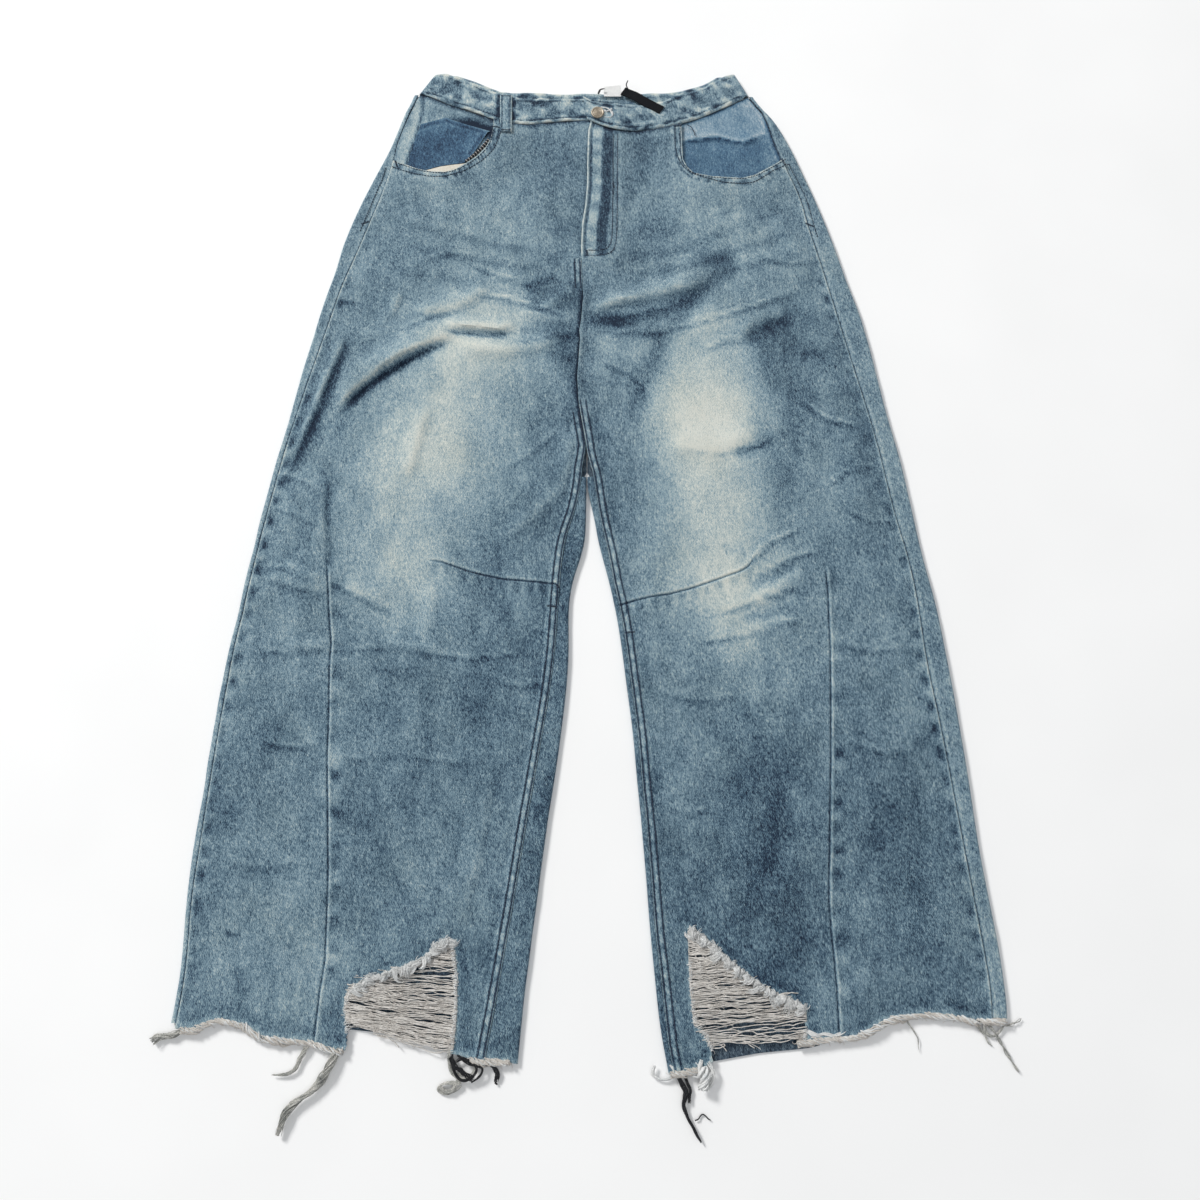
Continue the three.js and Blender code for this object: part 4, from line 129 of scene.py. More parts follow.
FOLDS = {
    'R': [[[[-262.6,142.2],[-251.1,157.8],[-235.4,174.6],[-217.5,189.8],[-191.3,208.5],[-164.6,222.3],[-137.7,230.3]],6.6,20,4.2],[[[-258.1,135.6],[-244.7,153.3],[-231.9,166.2],[-214.0,181.3],[-187.8,199.4],[-162.2,214.3],[-143.6,220.0]],-2.4,4,9],[[[-256.4,233.8],[-266.0,200.6],[-280.0,157.8],[-295.8,114.7],[-308.1,85.3]],3.4,4.5,11],[[[-250.0,231.5],[-257.5,198.3],[-271.5,153.3],[-289.1,107.0],[-297.0,87.5],[-310.9,53.1]],-1.6,8,4.5],[[[-161.1,240.7],[-146.3,238.9],[-125.3,237.8],[-93.7,235.5],[-74.9,240.7]],3.4,9,3.4],[[[-154.6,233.8],[-125.1,230.9],[-93.6,228.6],[-79.0,232.6]],-1.8,3.5,5],[[[-188.3,261.6],[-169.1,256.9],[-156.5,259.2],[-131.5,268.6],[-101.3,288.5]],2.8,10,5],[[[-174.1,249.9],[-157.2,249.9],[-144.7,254.6]],-0.9,4,5],[[[-167.2,151.1],[-172.3,124.6],[-178.4,98.3],[-185.3,68.0]],1.8,4,11],[[[-70.3,280.3],[-52.4,288.5],[-32.3,299.2]],-1.8,5,6],[[[-54.1,256.9],[-36.3,270.9],[-15.2,286.2]],2.8,5,6],[[[-75.2,256.9],[-46.7,252.3],[-10.8,246.5]],2.0,5,5],[[[-140.4,218.8],[-114.1,213.1],[-88.0,212.0],[-61.9,216.5],[-41.1,223.4],[-20.2,230.3]],2.4,7,7],[[[-46.1,209.7],[-30.5,207.4],[-12.7,201.7]],-1.0,4,6],[[[-92.6,2.4],[-63.0,24.5],[-28.2,60.5],[-21.3,87.5],[-15.4,135.6]],1.6,9,4.5],[[[-323.8,-31.7],[-289.4,-42.0],[-255.3,-49.1]],1.6,8,4],[[[-304.0,-17.3],[-283.4,-27.6],[-261.9,-37.9]],1.5,4,7],[[[-247.0,-38.9],[-223.7,-49.1],[-197.6,-59.3]],1.6,8,4.5],[[[-295.2,-100.5],[-276.6,-101.5],[-252.3,-100.5]],1.3,7,4],[[[-209.2,-102.5],[-174.0,-105.5],[-134.9,-108.5]],1.5,8,5],[[[-221.7,-125.3],[-187.5,-130.2],[-151.7,-128.3]],-0.9,7,6],[[[-156.1,-34.8],[-154.7,-73.5],[-167.3,-102.5]],1.2,4,6],[[[-91.3,-221.7],[-100.2,-277.5],[-104.0,-310.3],[-112.5,-340.0],[-119.0,-365.7],[-124.2,-378.0]],1.5,4.5,11],[[[-80.8,-223.6],[-89.9,-279.4],[-94.7,-312.1],[-102.2,-342.6],[-109.6,-373.6]],-1.0,9,7],[[[-271.1,78.8],[-267.8,25.5],[-263.1,-34.8]],1.5,4,14],[[[-264.7,74.5],[-261.8,25.5],[-257.4,-31.7]],-0.7,6,4],[[[-335.2,-371.0],[-325.9,-372.7],[-315.7,-374.5]],-0.8,3,4],[[[-200.8,281.5],[-208.1,256.9],[-223.0,237.2]],1.4,4,7],[[[-240.1,223.4],[-223.7,230.3],[-207.2,236.1],[-177.4,228.0]],1.2,7,4],[[[-293.4,78.8],[-299.9,25.5],[-307.0,-16.3]],0.9,9,12],[[[-340.4,-97.5],[-347.6,-176.0],[-345.2,-251.6]],0.8,12,14],[[[-195.9,-156.6],[-178.5,-223.6],[-184.2,-306.7]],0.8,16,18],[[[-194.5,333.7],[-176.6,314.6],[-161.8,288.5]],0.9,6,6],[[[-88.2,-16.3],[-67.6,-57.3],[-70.6,-107.5]],0.8,8,10],[[[-10.8,248.8],[-46.8,260.4],[-88.2,273.3],[-128.6,280.3]],1.035,3.2,2.0],[[[-10.8,236.1],[-38.0,230.3],[-77.7,222.3]],0.8049999999999999,3.2,2.0],[[[-200.8,234.9],[-170.9,249.9],[-129.2,262.7]],0.9199999999999999,3.2,2.0],[[[-314.6,76.7],[-288.6,68.0],[-265.2,48.8]],0.8049999999999999,3.2,2.0],[[[-327.2,41.4],[-297.5,34.0],[-267.4,18.1]],0.69,3.2,2.0],[[[-252.8,-107.5],[-189.8,-100.5],[-118.1,-114.4],[-48.2,-107.5]],0.69,3.2,2.0],[[[-257.2,-34.8],[-227.5,-52.2],[-187.3,-69.4]],0.9199999999999999,3.2,2.0],[[[-327.9,-107.5],[-287.9,-107.5],[-253.1,-103.5]],0.69,3.2,2.0],[[[-306.0,269.7],[-274.6,274.4],[-240.4,269.7]],0.69,3.2,2.0],[[[-97.2,-133.2],[-66.1,-141.0],[-41.9,-139.1]],0.69,3.2,2.0],[[[-350.8,-16.3],[-324.3,-24.5],[-296.7,-22.5]],0.575,3.2,2.0],[[[-127.5,314.6],[-95.1,299.2],[-57.7,289.7]],0.69,3.2,2.0],[[[-311.6,-195.1],[-275.0,-200.8],[-254.2,-197.0]],0.575,3.2,2.0],[[[-186.2,314.6],[-149.2,326.5],[-117.0,321.8]],0.575,3.2,2.0],[[[-90.3,78.8],[-60.1,98.3],[-29.7,124.6]],0.575,3.2,2.0],[[[-236.0,-214.1],[-179.3,-206.6],[-112.3,-217.9]],0.575,3.2,2.0],[[[-337.8,-306.7],[-302.9,-312.1],[-268.0,-306.7]],0.575,3.2,2.0]],
    'L': [[[[-5.6,259.2],[15.5,265.1],[53.6,274.4],[106.8,287.4],[134.8,302.7]],5.0,14,6],[[[-5.5,246.5],[34.5,247.6],[74.6,255.8],[104.4,270.9],[134.5,288.5]],-2.3,6,9],[[[117.2,274.4],[95.5,248.8],[76.3,224.6],[61.3,198.3],[51.7,170.1],[42.1,133.4]],-1.3,11,9],[[[155.9,225.7],[171.2,244.2],[208.6,256.9]],2.0,8,5],[[[165.0,215.4],[172.9,231.5],[207.1,247.6]],-1.6,5,6],[[[220.3,212.0],[235.8,207.4],[253.3,202.9]],-1.0,6,7],[[[76.7,110.3],[126.6,100.5],[177.4,122.4]],1.9,13,9],[[[143.8,94.0],[164.5,103.8],[190.4,114.7]],-1.3,5,7],[[[153.1,-61.3],[188.3,-43.0],[215.9,-23.5]],2.0,5,6],[[[157.6,-45.0],[179.7,-34.8],[205.2,-18.3]],-1.2,5,5],[[[146.8,-76.5],[173.4,-72.5],[205.2,-64.4]],-1.2,5,5],[[[156.3,-84.5],[178.0,-81.5],[206.7,-75.5]],1.3,5,6],[[[132.9,-8.0],[145.9,-4.9],[158.9,-4.9]],-0.9,7,7],[[[190.3,-211.3],[170.0,-295.8],[146.8,-348.0],[138.9,-393.7]],-1.4,10,12],[[[169.2,-214.1],[149.4,-295.8],[129.3,-348.0]],0.8,9,14],[[[7.1,228.0],[63.8,231.5],[116.5,244.2],[153.9,263.9]],1.4,12,12],[[[268.2,133.4],[271.5,46.7],[274.7,-36.9]],0.9,14,12],[[[304.4,-97.5],[312.3,-195.1],[316.5,-270.2]],0.8,12,14],[[[98.8,-117.4],[106.8,-195.1],[100.5,-270.2]],0.8,16,16],[[[50.4,-97.5],[66.0,-16.3],[61.7,46.7]],0.7,10,12],[[[194.9,371.3],[217.5,343.4],[231.2,314.6]],0.9,6,6],[[[3.9,236.1],[68.0,232.6],[129.2,248.8],[176.1,265.1],[222.3,282.6]],0.9199999999999999,3.2,2.0],[[[96.0,102.7],[132.7,98.3],[170.7,107.0],[192.6,119.1]],0.9199999999999999,3.2,2.0],[[[158.4,-19.4],[181.1,3.5],[210.7,17.1]],1.035,3.2,2.0],[[[121.4,-70.4],[165.1,-56.3],[208.1,-42.0],[229.1,-37.9]],1.035,3.2,2.0],[[[107.0,-99.5],[164.1,-86.5],[220.6,-71.4]],0.8049999999999999,3.2,2.0],[[[166.0,-30.7],[202.5,-12.1],[230.7,-4.9]],0.9199999999999999,3.2,2.0],[[[216.9,158.9],[245.7,135.6],[282.2,126.8]],0.8049999999999999,3.2,2.0],[[[242.2,64.8],[264.3,79.9],[294.2,87.5]],0.8049999999999999,3.2,2.0],[[[255.0,40.3],[283.4,25.5],[308.5,26.6]],0.69,3.2,2.0],[[[11.3,200.6],[44.6,187.0],[63.0,164.5]],0.575,3.2,2.0],[[[182.4,323.0],[214.1,314.6],[244.3,319.4]],0.69,3.2,2.0],[[[15.4,133.4],[33.7,98.3],[41.6,57.3]],0.575,3.2,2.0],[[[245.8,-97.5],[276.4,-107.5],[308.9,-103.5]],0.575,3.2,2.0],[[[64.4,-146.9],[107.7,-156.6],[151.3,-150.8]],0.575,3.2,2.0],[[[250.2,-195.1],[282.9,-206.6],[314.6,-202.7]],0.575,3.2,2.0],[[[63.2,-251.6],[96.0,-262.8],[126.1,-259.1]],0.575,3.2,2.0],[[[115.7,209.7],[139.1,223.4],[166.4,225.7]],0.69,3.2,2.0]],
}
# tone strokes on the front: line, half width, amount. The wide pale ones are worn fades; the broad dark ones are partly
# unfaded dye and partly painted shade in valleys; the narrow pale and dark pairs along the folds and the dark strokes
# under ridges are painted highlights and painted shade.
FADE_AND_SHADE_STROKES = [
    [[[-124.5,209.7],[-141.5,155.6],[-156.1,100.5]],64,0.255],
    [[[-172.8,111.4],[-186.4,46.7],[-189.6,-16.3]],56,0.215],
    [[[-88.6,244.2],[-135.5,229.2]],40,0.2],
    [[[-186.7,-36.9],[-175.4,-72.5]],40,0.055],
    [[[122.0,209.7],[116.6,155.6]],58,0.25],
    [[[115.9,122.4],[124.3,46.7],[132.7,-16.3]],62,0.42],
    [[[139.4,-57.3],[144.3,-93.5]],42,0.165],
    [[[-162.1,389.6],[-75.0,365.2]],50,0.08],
    [[[65.5,389.6],[141.7,401.9]],46,0.06],
    [[[-154.0,-117.4],[-158.4,-251.6],[-167.5,-369.2]],60,0.03],
    [[[141.4,-156.6],[162.2,-251.6]],60,0.02],
    [[[-45.2,133.4],[-43.9,25.5],[-29.3,78.8]],26,-0.1],
    [[[21.6,155.6],[17.4,78.8],[29.4,25.5]],20,-0.07],
    [[[-69.4,46.7],[-87.7,-36.9]],20,-0.06],
    [[[271.6,-156.6],[300.5,-297.6],[310.8,-412.7]],50,-0.1],
    [[[263.3,234.9],[276.6,100.5],[297.2,-57.3]],36,-0.07],
    [[[-328.0,-369.2],[-262.1,-395.4]],40,0.06],
    [[[-294.3,-57.3],[-307.0,-16.3]],40,-0.03],
    [[[189.0,78.8],[210.3,-16.3]],30,-0.07],
    [[[221.3,234.9],[188.1,189.2],[206.1,122.4]],26,-0.1],
    [[[-175.1,445.5],[-119.1,401.9]],14,-0.05],
    [[[-200.1,389.6],[-172.3,371.3],[-145.1,365.2]],12,-0.06],
    [[[109.0,394.5],[162.9,383.5],[206.4,389.6]],12,-0.05],
    [[[-98.1,-395.4],[-76.4,-342.6]],14,-0.08],
    [[[103.6,-342.6],[143.5,-395.4],[183.6,-417.0]],22,-0.12],
    [[[11.3,-97.5],[49.9,-156.6],[63.2,-251.6]],16,-0.04],
    [[[172.3,-233.0],[164.9,-306.7],[185.6,-369.2]],46,-0.19],
    [[[136.9,-146.9],[138.9,-242.3]],46,-0.04],
    [[[-104.6,-146.9],[-92.9,-233.0]],40,-0.09],
    [[[-199.8,-176.0],[-173.3,-342.6]],70,-0.05],
    [[[48.2,-342.6],[85.8,-306.7]],26,-0.06],
    [[[-314.5,-156.6],[-318.8,-251.6]],40,-0.05],
    [[[-255.8,223.4],[-296.3,122.4]],22,-0.09],
    [[[-52.2,269.7],[-12.0,279.1]],16,-0.16],
    [[[-30.7,234.9],[-9.4,178.0]],14,-0.14],
    [[[141.5,314.6],[108.7,272.1],[82.6,230.3],[59.1,187.0],[45.3,144.4]],13,-0.17],
    [[[-3.4,246.5],[37.6,240.7],[78.4,228.0]],8,-0.2],
    [[[2.9,223.4],[42.6,209.7],[69.9,217.7]],10,0.1],
    [[[76.2,217.7],[116.5,244.2],[160.9,251.1]],11,0.1],
    [[[170.2,215.4],[195.2,239.5],[213.6,252.3]],9,-0.16],
    [[[148.9,95.0],[174.7,103.8],[206.0,120.2]],9,-0.12],
    [[[179.3,234.9],[217.8,155.6]],24,-0.1],
    [[[283.6,-36.9],[295.7,-156.6]],34,0.08],
    [[[239.4,133.4],[247.3,46.7]],26,0.05],
    [[[135.5,371.3],[166.7,334.9]],26,0.05],
    [[[109.8,439.3],[54.4,365.2]],30,0.05],
    [[[60.7,451.8],[65.1,353.0]],34,-0.1],
    [[[52.7,166.7],[49.8,68.0]],28,-0.05],
    [[[-98.1,-16.3],[-116.3,-77.5]],26,-0.03],
    [[[-45.8,451.8],[-48.0,365.2]],26,-0.05],
    [[[-206.9,372.5],[-161.2,362.7],[-106.9,345.8],[-53.0,333.7]],4.2,0.13],
    [[[-204.2,360.3],[-155.4,349.4],[-95.9,333.7],[-44.3,326.5]],4.2,-0.1],
    [[[-198.2,345.8],[-149.5,336.1],[-95.6,321.8],[-42.1,317.0]],4.2,0.13],
    [[[-203.0,332.5],[-149.1,323.0],[-90.0,309.8],[-39.9,307.5]],4,-0.1],
    [[[-206.7,319.4],[-154.0,309.8],[-95.1,298.0],[-47.2,298.0]],4.4,0.13],
    [[[-210.3,305.1],[-158.8,295.6],[-105.4,286.2]],4.4,-0.08],
    [[[-211.7,288.5],[-163.6,281.5],[-115.7,274.4]],5,0.1],
    [[[-166.3,383.5],[-120.5,372.5],[-69.4,355.5]],4,0.08],
    [[[-73.6,283.8],[-35.5,300.3]],6,-0.14],
    [[[-47.4,314.6],[-18.7,331.3]],6,-0.08],
    [[[-31.7,353.0],[-13.5,362.7]],8,-0.06],
    [[[30.6,331.3],[86.4,341.0],[140.7,362.7],[190.0,384.7]],4.4,0.12],
    [[[32.7,319.4],[97.0,328.9],[156.6,355.5],[211.4,379.8]],4.2,-0.09],
    [[[34.8,307.5],[96.7,317.0],[161.6,343.4],[221.7,367.6]],4.4,0.13],
    [[[41.1,298.0],[107.2,307.5],[172.1,333.7],[226.4,350.6]],4.2,-0.1],
    [[[53.8,288.5],[117.8,302.7],[182.5,326.5],[234.4,338.6]],4.6,0.12],
    [[[106.8,286.2],[171.3,309.8],[238.1,324.2]],4.4,-0.1],
    [[[138.5,281.5],[192.3,302.7],[248.1,309.8]],5,0.1],
    [[[65.2,357.9],[119.3,372.5],[168.5,389.6]],4.5,0.07],
    [[[113.0,328.9],[139.4,314.6],[154.8,293.3]],12,-0.12],
    [[[-256.4,233.8],[-266.0,200.6],[-280.0,157.8],[-295.8,114.7]],3.4,0.2],
    [[[-188.3,261.6],[-169.1,256.9],[-156.5,259.2],[-131.5,268.6],[-101.3,288.5]],3.2,0.18],
    [[[-260.8,146.7],[-247.2,162.3],[-219.6,190.4],[-191.3,209.7],[-156.3,224.6],[-124.7,217.7],[-88.0,212.0],[-61.9,216.5],[-21.2,229.2]],3.6,0.2],
    [[[-167.2,151.1],[-172.3,124.6],[-178.4,98.3],[-185.3,68.0]],2.8,0.14],
    [[[-92.6,4.5],[-63.0,25.5],[-28.2,61.6],[-21.3,87.5],[-15.4,135.6]],2.8,0.17],
    [[[-54.1,256.9],[-36.3,270.9],[-15.2,286.2]],3.4,0.14],
    [[[-75.2,256.9],[-46.7,252.3],[-10.8,246.5]],3,0.13],
    [[[-4.5,260.4],[15.5,266.2],[53.7,275.6],[106.9,288.5]],4.5,0.16],
    [[[76.8,111.4],[126.7,102.7],[175.3,122.4]],9,0.12],
    [[[155.1,-60.3],[188.4,-42.0],[213.9,-24.5]],4,0.12],
    [[[157.3,-83.5],[204.7,-76.5]],4,0.1],
    [[[-323.9,-30.7],[-289.5,-41.0],[-257.4,-47.1]],3,0.1],
    [[[-304.0,-17.3],[-261.9,-37.9]],3,0.12],
    [[[-247.0,-39.9],[-199.6,-58.3]],3,0.12],
    [[[-295.2,-101.5],[-253.2,-101.5]],3,0.1],
    [[[-207.2,-103.5],[-135.8,-108.5]],4,0.1],
    [[[-156.6,-34.8],[-155.2,-73.5],[-167.4,-100.5]],2.6,0.1],
    [[[-91.3,-221.7],[-100.2,-277.5],[-104.0,-310.3],[-113.4,-340.0],[-119.0,-365.7]],2.4,0.16],
    [[[-258.2,137.8],[-244.7,153.3],[-231.9,166.7],[-214.1,182.5],[-187.8,200.6],[-162.3,215.4],[-145.7,221.1]],3.6,-0.34],
    [[[-252.3,234.9],[-259.7,200.6],[-273.6,154.4],[-291.3,109.2],[-299.2,89.6],[-313.1,55.2]],5,-0.15],
    [[[-152.5,233.8],[-125.1,232.0],[-93.6,229.7],[-81.1,233.8]],3,-0.3],
    [[[-4.5,248.8],[34.5,248.8],[74.6,255.8],[101.2,269.7],[133.3,285.0]],8,-0.18],
    [[[-319.4,-37.9],[-289.1,-47.1],[-256.9,-55.2]],2.6,-0.12],
    [[[-265.7,74.5],[-259.2,-34.8]],3,-0.12],
    [[[166.1,216.5],[185.8,239.5],[207.2,249.9]],7,-0.1],
    [[[143.7,92.9],[188.4,114.1]],6,-0.1],
    [[[158.6,-43.0],[204.2,-19.4]],5,-0.1],
    [[[147.7,-76.5],[204.2,-65.4]],4,-0.1],
    [[[134.9,-5.9],[156.9,-5.9]],9,-0.08],
    [[[188.4,-211.3],[169.0,-295.8],[145.9,-348.0],[138.1,-391.9]],9,-0.09],
    [[[-72.7,234.9],[-41.2,231.5],[-11.8,225.7]],8,-0.14],
    [[[-43.0,207.4],[-12.7,200.6]],5,-0.1],
    [[[-219.6,-128.3],[-154.6,-128.3]],8,-0.05],
    [[[221.2,209.7],[249.1,202.9]],9,-0.1],
    [[[-334.2,-371.8],[-317.5,-375.3]],2.4,-0.12],
    [[[-114.7,234.9],[-146.7,248.8]],6,-0.06],
    [[[-10.8,249.9],[-46.8,261.6],[-88.2,274.4],[-128.7,281.5]],2.4,0.225],
    [[[-10.8,245.1],[-46.7,256.7],[-88.1,269.5],[-128.5,276.5]],3.0,-0.21375],
    [[[-10.8,237.2],[-38.0,231.5],[-77.7,223.4]],2.4,0.17499999999999996],
    [[[-10.7,232.4],[-38.0,226.6],[-77.6,218.6]],3.0,-0.16624999999999995],
    [[[-200.9,236.1],[-171.0,251.1],[-129.2,263.9]],2.4,0.20000000000000004],
    [[[-200.6,231.2],[-170.8,246.2],[-129.1,259.0]],3.0,-0.19000000000000003],
    [[[-314.7,77.7],[-288.7,69.1],[-265.3,49.9]],2.4,0.17499999999999996],
    [[[-314.3,73.2],[-288.4,64.6],[-265.0,45.4]],3.0,-0.16624999999999995],
    [[[-327.3,42.4],[-297.6,35.0],[-267.4,19.2]],2.4,0.15],
    [[[-327.0,38.0],[-297.3,30.6],[-267.1,14.8]],3.0,-0.1425],
    [[[-252.9,-106.5],[-189.9,-99.5],[-118.2,-113.5],[-48.2,-106.5]],2.4,0.15],
    [[[-252.7,-110.7],[-189.7,-103.7],[-118.0,-117.6],[-48.1,-110.7]],3.0,-0.1425],
    [[[-257.2,-33.8],[-227.6,-51.2],[-187.3,-68.4]],2.4,0.20000000000000004],
    [[[-257.0,-38.1],[-227.4,-55.4],[-187.1,-72.7]],3.0,-0.19000000000000003],
    [[[-328.0,-106.5],[-288.0,-106.5],[-253.1,-102.5]],2.4,0.15],
    [[[-327.7,-110.7],[-287.7,-110.7],[-252.9,-106.7]],3.0,-0.1425],
    [[[-306.1,270.9],[-274.6,275.6],[-240.5,270.9]],2.4,0.15],
    [[[-305.8,266.0],[-274.3,270.7],[-240.2,266.0]],3.0,-0.1425],
    [[[-97.3,-132.2],[-66.1,-140.0],[-41.9,-138.1]],2.4,0.15],
    [[[-97.2,-136.3],[-66.0,-144.1],[-41.9,-142.2]],3.0,-0.1425],
    [[[-350.9,-15.2],[-324.4,-23.5],[-296.7,-21.4]],2.4,0.125],
    [[[-350.5,-19.6],[-324.1,-27.8],[-296.4,-25.8]],3.0,-0.11875],
    [[[-127.5,315.8],[-95.1,300.3],[-57.8,290.9]],2.4,0.15],
    [[[-127.4,310.8],[-95.0,295.4],[-57.7,285.9]],3.0,-0.1425],
    [[[-311.7,-194.2],[-275.0,-199.9],[-254.3,-196.1]],2.4,0.125],
    [[[-311.4,-198.2],[-274.8,-203.9],[-254.0,-200.1]],3.0,-0.11875],
    [[[-186.2,315.8],[-149.3,327.7],[-117.0,323.0]],2.4,0.125],
    [[[-186.0,310.8],[-149.1,322.7],[-116.9,317.9]],3.0,-0.11875],
    [[[-90.3,79.9],[-60.1,99.4],[-29.7,125.7]],2.4,0.125],
    [[[-90.2,75.4],[-60.0,94.8],[-29.7,121.0]],3.0,-0.11875],
    [[[-236.1,-213.2],[-179.3,-205.6],[-112.3,-217.0]],2.4,0.125],
    [[[-235.9,-217.2],[-179.2,-209.6],[-112.2,-220.9]],3.0,-0.11875],
    [[[-337.9,-305.8],[-303.0,-311.2],[-268.0,-305.8]],2.4,0.125],
    [[[-337.5,-309.6],[-302.7,-315.0],[-267.8,-309.6]],3.0,-0.11875],
    [[[3.9,237.2],[68.0,233.8],[129.3,249.9],[176.2,266.2],[222.4,283.8]],2.4,0.20000000000000004],
    [[[4.0,232.4],[67.9,228.9],[129.2,245.1],[176.0,261.3],[222.2,278.9]],3.0,-0.19000000000000003],
    [[[96.1,103.8],[132.7,99.4],[170.8,108.1],[192.7,120.2]],2.4,0.20000000000000004],
    [[[96.0,99.2],[132.6,94.8],[170.6,103.5],[192.5,115.6]],3.0,-0.19000000000000003],
    [[[158.5,-18.3],[181.2,4.5],[210.8,18.1]],2.4,0.225],
    [[[158.3,-22.7],[181.0,0.1],[210.6,13.7]],3.0,-0.21375],
    [[[121.4,-69.4],[165.1,-55.2],[208.2,-41.0],[229.2,-36.9]],2.4,0.225],
    [[[121.3,-73.7],[165.0,-59.5],[208.0,-45.3],[228.9,-41.2]],3.0,-0.21375],
    [[[107.0,-98.5],[164.1,-85.5],[220.6,-70.4]],2.4,0.17499999999999996],
    [[[106.9,-102.7],[164.0,-89.7],[220.5,-74.7]],3.0,-0.16624999999999995],
    [[[166.0,-29.7],[202.5,-11.1],[230.8,-3.8]],2.4,0.20000000000000004],
    [[[165.9,-34.0],[202.3,-15.4],[230.5,-8.2]],3.0,-0.19000000000000003],
    [[[217.0,160.0],[245.8,136.7],[282.3,127.9]],2.4,0.17499999999999996],
    [[[216.8,155.3],[245.5,132.1],[282.0,123.2]],3.0,-0.16624999999999995],
    [[[242.2,65.9],[264.3,81.0],[294.3,88.5]],2.4,0.17499999999999996],
    [[[242.0,61.4],[264.1,76.4],[294.0,84.0]],3.0,-0.16624999999999995],
    [[[255.1,41.4],[283.4,26.6],[308.6,27.6]],2.4,0.15],
    [[[254.9,36.9],[283.2,22.1],[308.3,23.2]],3.0,-0.1425],
    [[[11.3,201.7],[44.6,188.1],[63.0,165.6]],2.4,0.125],
    [[[11.3,196.9],[44.5,183.4],[63.0,160.9]],3.0,-0.11875],
    [[[182.4,324.2],[214.2,315.8],[244.3,320.6]],2.4,0.15],
    [[[182.3,319.1],[214.0,310.8],[244.1,315.6]],3.0,-0.1425],
    [[[15.4,134.5],[33.7,99.4],[41.6,58.4]],2.4,0.125],
    [[[15.4,129.8],[33.7,94.8],[41.6,53.9]],3.0,-0.11875],
    [[[245.8,-96.5],[276.5,-106.5],[308.9,-102.5]],2.4,0.125],
    [[[245.6,-100.7],[276.2,-110.7],[308.6,-106.7]],3.0,-0.11875],
    [[[64.4,-145.9],[107.7,-155.6],[151.3,-149.8]],2.4,0.125],
    [[[64.4,-150.0],[107.6,-159.7],[151.2,-153.9]],3.0,-0.11875],
    [[[250.2,-194.2],[282.9,-205.6],[314.7,-201.8]],2.4,0.125],
    [[[250.0,-198.2],[282.7,-209.6],[314.4,-205.8]],3.0,-0.11875],
    [[[63.2,-250.7],[96.0,-261.8],[126.2,-258.1]],2.4,0.125],
    [[[63.1,-254.6],[95.9,-265.7],[126.1,-262.0]],3.0,-0.11875],
    [[[115.8,210.8],[139.1,224.6],[166.4,226.9]],2.4,0.15],
    [[[115.7,206.0],[139.0,219.7],[166.3,222.0]],3.0,-0.1425],
]
SEW = [
    ["R",[[-98.2,473.3],[-100.9,463.2],[-105.4,451.3],[-115.7,439.3],[-129.3,428.6],[-149.0,419.3],[-168.8,416.8],[-188.7,420.2],[-207.1,426.0],[-216.0,429.9]]],
    ["R",[[-106.2,477.1],[-107.6,465.7],[-112.2,453.1],[-122.3,441.1],[-135.2,431.1],[-146.5,424.9],[-157.8,421.8],[-174.2,422.4],[-189.6,426.1],[-203.5,431.7],[-213.0,435.3]]],
    ["L",[[94.1,482.2],[93.1,455.6],[97.7,435.5],[108.4,421.8],[134.4,413.1],[151.7,409.4],[171.3,408.7],[183.4,412.5],[196.8,423.0],[210.2,429.9],[218.0,433.0]]],
    ["L",[[99.7,484.8],[99.3,463.2],[99.4,439.3],[105.3,428.0],[113.8,420.5],[134.5,416.2],[154.0,414.9],[166.0,414.3],[181.4,418.0],[193.7,425.5],[206.0,433.0],[215.0,439.3]]],
    ["L",[[30.6,472.1],[30.4,414.3],[29.6,365.2],[29.0,341.0],[26.8,330.1],[20.9,323.6],[11.3,322.1],[-5.8,321.8]]],
    ["L",[[25.6,472.1],[25.5,414.3],[24.8,365.2],[24.2,343.4],[22.0,333.7],[16.7,328.9],[7.0,328.2],[-4.8,327.7]]],
    ["L",[[106.8,482.2],[112.9,479.7],[115.9,468.9]]],
]
TACKS = [
    ["R",[-242.1,362.7],[3.5,1.5]],
    ["L",[237.6,359.7],[4.5,-2]],
    ["R",[-36.0,-63.4],[4.5,-0.6]],
    ["L",[41.1,-89.5],[4,0.4]],
    ["R",[-211.2,433.0],[1.2,-3.6]],
    ["L",[211.5,435.5],[1.5,-3.4]],
    ["L",[26.0,406.9],[0.4,-3]],
    ["L",[25.4,398.2],[0.4,-2.4]],
    ["L",[-2.6,324.8],[0.2,-3.2]],
    ["R",[-102.9,479.7],[4,-0.6]],
    ["L",[96.9,481.0],[3.6,0.5]],
]
PUCK = {
    'R': [-229.2,-264.6,-294.0,-331.9,-359.5,-386.7,-404.1],
    'L': [-208.4,-238.6,-255.4,-298.5,-318.5],
}
